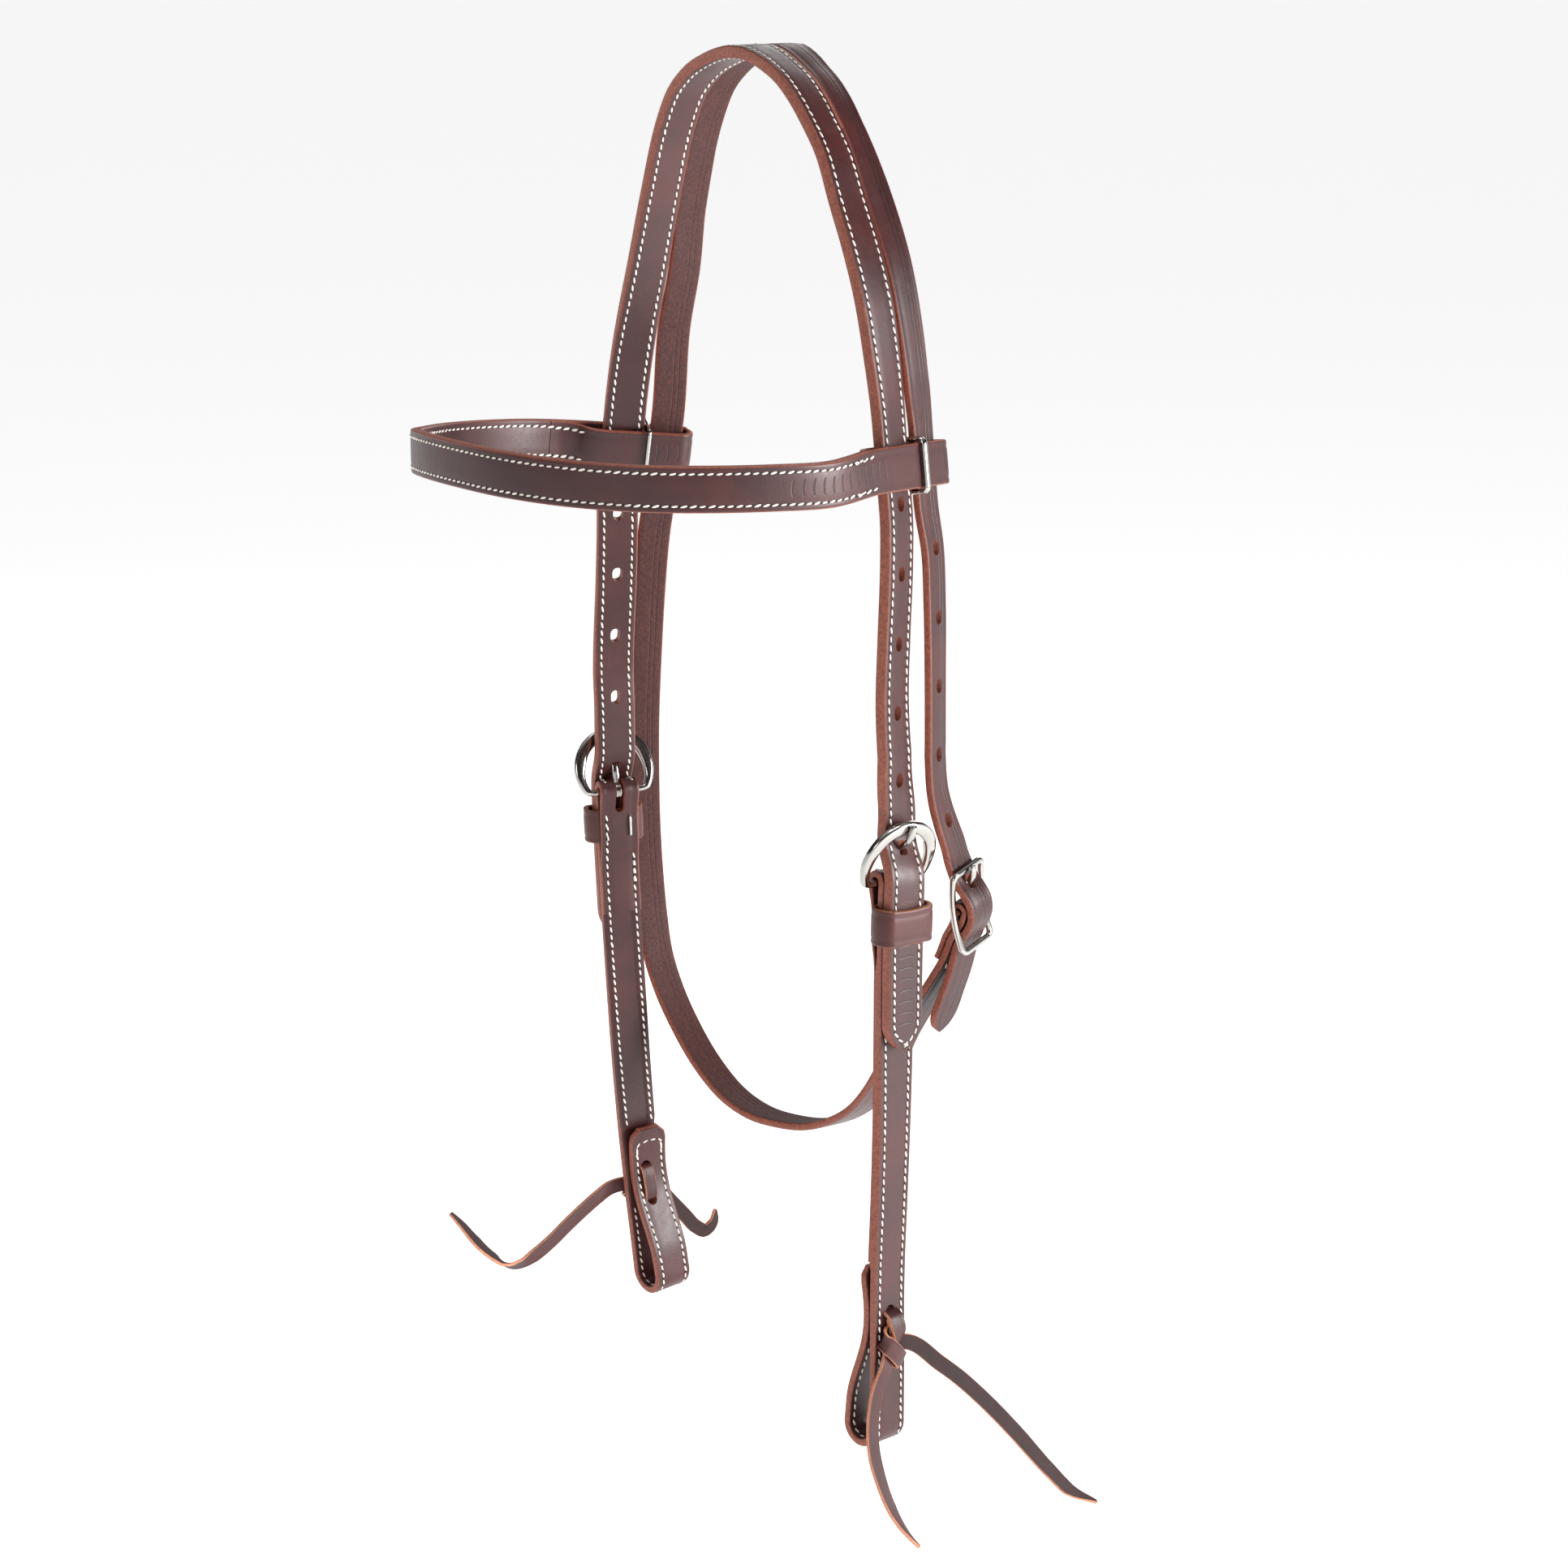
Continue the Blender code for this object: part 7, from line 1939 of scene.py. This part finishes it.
class StitchRows:
    """Stitches along rows, made with Geometry Nodes."""

    def __init__(self, wardrobe: Wardrobe) -> None:
        """Build the node tree.

        Args:
            wardrobe: Finishes of the thread and of the painted shade in its holes.
        """
        # The thread, and the painted shade of the stitch holes.
        self.looks = {"Thread": wardrobe.thread, "Hole Shade": wardrobe.hole_shade}
        self.tree = self._tree()

    def _tree(self) -> Any:
        """Capsule stitches and dark discs of painted hole shade, evenly along each row."""
        tree = bpy.data.node_groups.new("stitch_rows", "GeometryNodeTree")
        face = tree.interface
        face.new_socket("Geometry", in_out="INPUT", socket_type="NodeSocketGeometry")
        for name, value in (("Pitch", 0.0032), ("Stitch Length", 0.0026), ("Thread Width", 0.00082),
                            ("Thread Height", 0.00062), ("Slant", 0.20), ("Hole Width", 0.00085)):
            made = face.new_socket(name, in_out="INPUT", socket_type="NodeSocketFloat")
            made.default_value = value
        seed = face.new_socket("Seed", in_out="INPUT", socket_type="NodeSocketInt")
        seed.default_value = 7
        for name in ("Thread", "Hole Shade"):
            face.new_socket(name, in_out="INPUT", socket_type="NodeSocketMaterial")
        face.new_socket("Geometry", in_out="OUTPUT", socket_type="NodeSocketGeometry")
        nodes, links = tree.nodes, tree.links
        source, target = nodes.new("NodeGroupInput"), nodes.new("NodeGroupOutput")

        def add(kind: str, settings: Optional[Dict[str, Any]] = None,
                inputs: Optional[Dict[Any, Any]] = None) -> Any:
            made = nodes.new(kind)
            for key, value in (settings or {}).items():
                setattr(made, key, value)
            for key, value in (inputs or {}).items():
                if isinstance(value, bpy.types.NodeSocket):
                    links.new(value, made.inputs[key])
                else:
                    made.inputs[key].default_value = value
            return made

        curve = add("GeometryNodeMeshToCurve", inputs={0: source.outputs["Geometry"]})
        even = add("GeometryNodeResampleCurve", {"mode": "LENGTH"},
                   {"Curve": curve.outputs[0], "Length": source.outputs["Pitch"]})
        tangent = add("GeometryNodeInputTangent")
        out = add("GeometryNodeInputNamedAttribute", {"data_type": "FLOAT_VECTOR"}, {"Name": "outward"})
        first = add("FunctionNodeAlignRotationToVector", {"axis": "X"}, {"Vector": tangent.outputs[0]})
        second = add("FunctionNodeAlignRotationToVector", {"axis": "Z", "pivot_axis": "X"},
                     {"Rotation": first.outputs[0], "Vector": out.outputs["Attribute"]})
        jitter = add("FunctionNodeRandomValue", {"data_type": "FLOAT"},
                     {2: -0.09, 3: 0.09, "Seed": source.outputs["Seed"]})
        slant = add("ShaderNodeMath", {"operation": "ADD"},
                    {0: source.outputs["Slant"], 1: jitter.outputs[1]})
        turn = add("FunctionNodeAxisAngleToRotation",
                   inputs={"Axis": (0, 0, 1), "Angle": slant.outputs[0]})
        rotate = add("FunctionNodeRotateRotation", {"rotation_space": "LOCAL"},
                     {0: second.outputs[0], 1: turn.outputs[0]})
        size = add("ShaderNodeCombineXYZ", inputs={0: source.outputs["Stitch Length"],
                                                  1: source.outputs["Thread Width"],
                                                  2: source.outputs["Thread Height"]})
        half = add("ShaderNodeVectorMath", {"operation": "SCALE"}, {0: size.outputs[0], "Scale": 0.5})
        ball = add("GeometryNodeMeshUVSphere", inputs={"Segments": 8, "Rings": 6, "Radius": 1.0})
        capsule = add("GeometryNodeTransform",
                      inputs={"Geometry": ball.outputs[0], "Scale": half.outputs[0]})
        stitch = add("GeometryNodeSetShadeSmooth", inputs={"Geometry": capsule.outputs[0]})
        grow = add("FunctionNodeRandomValue", {"data_type": "FLOAT"},
                   {2: 0.90, 3: 1.08, "Seed": source.outputs["Seed"]})
        thread = add("GeometryNodeInstanceOnPoints", inputs={
            "Points": even.outputs[0], "Instance": stitch.outputs[0], "Rotation": rotate.outputs[0],
            "Scale": grow.outputs[1]})
        real = add("GeometryNodeRealizeInstances", inputs={0: thread.outputs[0]})
        dressed = add("GeometryNodeSetMaterial", inputs={"Geometry": real.outputs[0],
                                                        "Material": source.outputs["Thread"]})
        # Dark discs between the stitches: painted shade of the stitch holes, not a colour of the leather.
        disc = add("GeometryNodeMeshCircle", {"fill_type": "NGON"}, {"Vertices": 8, "Radius": 0.5})
        wide = add("ShaderNodeCombineXYZ", inputs={0: source.outputs["Hole Width"],
                                                  1: source.outputs["Hole Width"], 2: 1.0})
        away = add("ShaderNodeMath", {"operation": "MULTIPLY"}, {0: source.outputs["Pitch"], 1: 0.5})
        place = add("ShaderNodeCombineXYZ", inputs={0: away.outputs[0], 1: 0.0, 2: -THREAD_LIFT * 0.6})
        hole = add("GeometryNodeTransform", inputs={"Geometry": disc.outputs[0], "Scale": wide.outputs[0],
                                                   "Translation": place.outputs[0]})
        holes = add("GeometryNodeInstanceOnPoints", inputs={
            "Points": even.outputs[0], "Instance": hole.outputs[0], "Rotation": second.outputs[0]})
        real_hole_shades = add("GeometryNodeRealizeInstances", inputs={0: holes.outputs[0]})
        dark = add("GeometryNodeSetMaterial", inputs={"Geometry": real_hole_shades.outputs[0],
                                                     "Material": source.outputs["Hole Shade"]})
        join = add("GeometryNodeJoinGeometry")
        links.new(dressed.outputs[0], join.inputs[0])
        links.new(dark.outputs[0], join.inputs[0])
        links.new(join.outputs[0], target.inputs[0])
        return tree

    def build(self, name: str, rows: Sequence[Row]) -> bpy.types.Object:
        """Thread for one body's rows.

        Args:
            name: Piece name.
            rows: Rows of stitches.

        Returns:
            A plain mesh of stitches and dark discs of painted shade at the stitch holes.
        """
        mesh = bpy.data.meshes.new(name)
        places, edges, outs = [], [], []
        for row in rows:
            if len(row.places) < 2:
                continue
            start = len(places)
            places += [tuple(p) for p in row.places]
            outs += [tuple(o) for o in row.outs]
            edges += [(start + i, start + i + 1) for i in range(len(row.places) - 1)]
        mesh.from_pydata(places, edges, [])
        layer = mesh.attributes.new("outward", "FLOAT_VECTOR", "POINT")
        layer.data.foreach_set("vector", [c for o in outs for c in o])
        obj = stand(name, mesh)
        step = obj.modifiers.new("stitches", "NODES")
        step.node_group = self.tree
        for item in self.tree.interface.items_tree:
            if item.name in self.looks:
                step[item.identifier] = self.looks[item.name]
        return flatten(obj)


# Studio


@dataclass(frozen=True)
class Studio:
    """Camera, soft lights, a pale surround and the pale floor."""

    azimuth: float = 55.0
    elevation: float = 14.0
    distance: float = 1.5
    lens: float = 90.0
    target: Spot = (0.0, 0.0148, -0.2743)
    lamps: Tuple[Tuple[str, Spot, float, float], ...] = (
        ("key", (1.50, 1.04, 0.02), 0.80, 46.0), ("front", (0.9, -1.9, 0.6), 0.6, 6.5),
        ("top", (0.1, -0.1, 1.9), 0.9, 9.0), ("rear", (-1.3, 1.5, 0.6), 0.9, 9.0),
        ("side", (-1.9, -0.6, 0.4), 0.6, 5.0))
    surround_stops: Tuple[Pair, ...] = (
        (0.0, 1.0), (0.565, 1.0), (0.62, 0.04), (0.84, 0.03), (0.93, 0.50), (1.0, 0.50))
    floor_reach: float = 60.0
    floor_level: float = -0.72
    floor_white: float = 0.93
    floor_glow: float = 0.68

    def aim(self, obj: bpy.types.Object, place: Vector, back: Vector) -> None:
        """Put a camera or lamp in its place, its own -Z away from back."""
        obj.location = place
        obj.rotation_mode = "QUATERNION"
        obj.rotation_quaternion = (-back).to_track_quat("-Z", "Y")

    def camera(self) -> None:
        """The camera at the photograph's angle."""
        a, e = math.radians(self.azimuth), math.radians(self.elevation)
        back = Vector((math.sin(a) * math.cos(e), -math.cos(a) * math.cos(e), math.sin(e)))
        data = bpy.data.cameras.new("camera")
        data.lens, data.sensor_width = self.lens, 36.0
        data.clip_start, data.clip_end = 0.01, 50.0
        cam = stand("camera", data)
        self.aim(cam, Vector(self.target) + back * self.distance, back)
        bpy.context.scene.camera = cam

    def lights(self) -> None:
        """Large soft lights, each as (name, place, size, watts)."""
        for name, place, size, power in self.lamps:
            data = bpy.data.lights.new(name, "AREA")
            data.shape, data.size, data.energy = "SQUARE", size, power
            self.aim(stand(name, data), Vector(place), Vector(place) - Vector(self.target))

    def surround(self) -> None:
        """A surround that is pale below and above and dark between, by height."""
        world = bpy.data.worlds.new("surround")
        bpy.context.scene.world = world
        world.use_nodes = True
        nodes, links = world.node_tree.nodes, world.node_tree.links
        spot, split, scale, ramp = [nodes.new(kind) for kind in (
            "ShaderNodeTexCoord", "ShaderNodeSeparateXYZ", "ShaderNodeMapRange", "ShaderNodeValToRGB")]
        scale.inputs["From Min"].default_value = -1.0
        links.new(spot.outputs["Generated"], split.inputs[0])
        links.new(split.outputs["Z"], scale.inputs["Value"])
        links.new(scale.outputs[0], ramp.inputs[0])
        elements = ramp.color_ramp.elements
        while len(elements) < len(self.surround_stops):
            elements.new(0.5)
        for element, (place, level) in zip(elements, self.surround_stops):
            element.position, element.color = place, (level, level, level, 1)
        links.new(ramp.outputs[0], nodes["Background"].inputs["Color"])

    def floor(self) -> None:
        """A plain pale floor below the tails."""
        mesh = bpy.data.meshes.new("studio_floor")
        reach, level, white = self.floor_reach, self.floor_level, self.floor_white
        mesh.from_pydata([(-reach, -reach, level), (reach, -reach, level), (reach, reach, level),
                          (-reach, reach, level)], [], [(0, 1, 2, 3)])
        look = bpy.data.materials.new("studio_paper")
        look.use_nodes = True
        shader = look.node_tree.nodes["Principled BSDF"]
        for name, value in (("Base Color", (white, white, white, 1)), ("Roughness", 0.9),
                            ("Specular IOR Level", 0.1), ("Emission Color", (1, 1, 1, 1)),
                            ("Emission Strength", self.floor_glow)):
            shader.inputs[name].default_value = value
        mesh.materials.append(look)
        stand("studio_floor", mesh)

    def build(self) -> None:
        """The whole studio."""
        self.camera()
        self.lights()
        self.surround()
        self.floor()
        view = bpy.context.scene.view_settings
        view.view_transform, view.look = "Standard", "None"
        view.exposure = 0.0


TAILS: Dict[Side, Tuple[TailRoute, ...]] = {
    Side.NEAR: (
        TailRoute("near_lace_rear", "near_tie_tail_rear",
                  ((0.0030, 0.0020, 0.0020), (0.0040, 0.0031, 0.0060)),
                  ((0.1003, 0.0157, -0.4776), (0.1007, 0.0235, -0.4843),
                   (0.1012, 0.0365, -0.4972), (0.1012, 0.0515, -0.5137), (0.1012, 0.0686, -0.5338),
                   (0.1012, 0.0803, -0.5461), (0.1012, 0.0930, -0.5545)),
                  ((0.0, 0.0), (0.6, -8.0), (0.85, -28.0), (1.0, -60.0)), False),
        TailRoute("near_lace_lower", "near_tie_tail_lower",
                  ((0.0050, 0.0014, -0.0012), (0.0080, 0.0024, -0.0034), (0.0111, 0.0033, -0.0055)),
                  ((0.1003, -0.0130, -0.4815), (0.1003, -0.0150, -0.4920), (0.1003, -0.0146, -0.5060),
                   (0.1010, -0.0118, -0.5180), (0.1012, -0.0063, -0.5315), (0.1018, 0.0010, -0.5430),
                   (0.1022, 0.0050, -0.5480)),
                  ((0.0, 0.0), (0.5, -6.0), (0.85, -34.0), (1.0, -58.0)), True)),
    Side.OFF: (
        TailRoute("off_lace_front", "off_tie_tail_front",
                  ((0.0002, 0.0020, -0.0030), (0.0, 0.0033, -0.0065)),
                  ((-0.1005, -0.0026, -0.4640), (-0.1005, -0.0080, -0.4665), (-0.1005, -0.0150, -0.4705),
                   (-0.1005, -0.0229, -0.4755), (-0.1005, -0.0318, -0.4815), (-0.1005, -0.0400, -0.4858),
                   (-0.1005, -0.0461, -0.4876), (-0.1005, -0.0515, -0.4868), (-0.1005, -0.0586, -0.4818),
                   (-0.1005, -0.0664, -0.4737), (-0.1005, -0.0733, -0.4640), (-0.1005, -0.0774, -0.4585)),
                  ((0.0, 0.0), (0.50, -6.0), (0.60, -50.0), (0.68, -115.0), (1.0, -160.0)), False),),
}


class Headstall:
    """The whole headstall."""

    def __init__(self) -> None:
        """Work out the courses and the finishes."""
        self.courses = Courses(Layout())
        self.wardrobe = Wardrobe()
        self.fitter = Fitter()
        self.straps_rows: List[Row] = []
        self.brow_rows: List[Row] = []

    def leather(self) -> None:
        """Crown, throat latch, browband, cheeks and keepers."""
        fit, looks = self.fitter.fit, self.wardrobe
        crown = Crown(self.courses)
        fit(crown.build(), looks.crown, "straps", Slot.STRAP, ("crown_strap", "crown_liner"))
        self.straps_rows += crown.rows
        brow = Browband(self.courses)
        fit(brow.build(), looks.brow, "browband", Slot.STRAP, ("browband_strap", "browband_liner"))
        self.brow_rows += brow.rows
        for side in Side:
            fit(brow.ring(side), looks.nickel, "browband", Slot.NICKEL, (f"{side.value}_browband_ring",))
            cheek = Cheek(self.courses, side)
            fit(cheek.build(), looks.cheek, "straps", Slot.STRAP,
                (f"{side.value}_cheek_strap", f"{side.value}_cheek_liner"))
            self.straps_rows += cheek.rows
            fit(cheek.keeper(), looks.keeper, "straps", Slot.STRAP, (f"{side.value}_keeper",))
            fit(cheek.staple(), looks.steel, "straps", Slot.STEEL, (f"{side.value}_keeper_staple",))

    def hardware(self) -> None:
        """Buckles and tongues."""
        fit, looks = self.fitter.fit, self.wardrobe
        for side in Side:
            buckle = RoundBuckle(self.courses, side)
            fit(buckle.ring(), looks.nickel, "straps", Slot.NICKEL, (f"{side.value}_cheek_buckle",))
            fit(buckle.tongue(), looks.nickel, f"{side.value}_tongue", Slot.NICKEL,
                (f"{side.value}_cheek_tongue",))
        throat = ThroatBuckle(self.courses)
        fit(throat.build(), looks.nickel, "straps", Slot.NICKEL, ("throat_buckle",))
        fit(throat.tongue(), looks.nickel, "throat_latch_tongue", Slot.NICKEL, ("throat_tongue",))

    def ties(self) -> None:
        """Knots and loose ends."""
        fit, looks = self.fitter.fit, self.wardrobe
        for side in Side:
            tie = Tie(self.courses, side)
            fit(tie.knot(), looks.lace, "straps", Slot.THONG, (f"{side.value}_tie",))
            for tail in TAILS[side]:
                line = [tie.leg.at(tie.middle + tie.sink + d, l, a) for d, l, a in tail.tucked]
                line += [Vector(p) for p in tail.points]
                facing = tie.leg.outward(tie.middle) * (1 if tail.grain_out else -1)
                thong = Thong(line, facing, twists=tail.twists, tip=0.020)
                skin = Skin()
                skin.body(thong.cuts())
                piece = fit(skin.finish(tail.name), looks.lace, "straps", Slot.THONG, (tail.node,))
                route = thong.route()
                length = sum((b - a).length for a, b in zip(route, route[1:]))
                tuple(route[0])
                [tuple(p) for p in route]
        self.short_tail()

    def short_tail(self) -> None:
        """The off tie's short end, curled up at its tip."""
        tie = Tie(self.courses, Side.OFF)
        down = tie.middle + 0.021 * 0.15
        shares = ((-0.14, -0.03, -0.04), (0.0, 0.0, 0.02), (0.14, 0.02, 0.18), (0.30, 0.04, 0.40),
                  (0.48, 0.05, 0.64), (0.64, 0.06, 0.84), (0.76, 0.05, 0.92), (0.86, 0.02, 0.84),
                  (0.89, -0.02, 0.68))
        size = 0.036
        line = [tie.leg.at(down + size * fall, SEAM + 0.0026 + size * lift, 0.0058 + size * back)
                for back, lift, fall in shares]
        thong = Thong(line, tie.leg.outward(tie.middle), tip=0.008, twists=((0, 0), (0.75, 8), (1, 35)))
        skin = Skin()
        skin.body(thong.cuts())
        self.fitter.fit(skin.finish("off_lace_rear"), self.wardrobe.lace, "straps", Slot.THONG,
                        ("off_tie_tail_rear",))

    def thread(self) -> None:
        """Every row of stitches, one mesh for each body."""
        rows = StitchRows(self.wardrobe)
        for name, lines, body in (("strap_thread", self.straps_rows, "straps"),
                                  ("browband_thread", self.brow_rows, "browband")):
            self.fitter.fit(rows.build(name, lines), None, body)

    def build(self) -> None:
        """Every piece in order."""
        for step in (self.leather, self.hardware, self.ties, self.thread):
            LOG.info("making %s", step.__name__)
            step()
        LOG.info("%d pieces", self.fitter.count)


def main() -> None:
    """Load the frame, build the studio and the headstall."""
    logging.basicConfig(level=logging.INFO, format="%(name)s: %(message)s")
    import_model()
    Studio().build()
    Headstall().build()


if __name__ == "__main__":
    main()
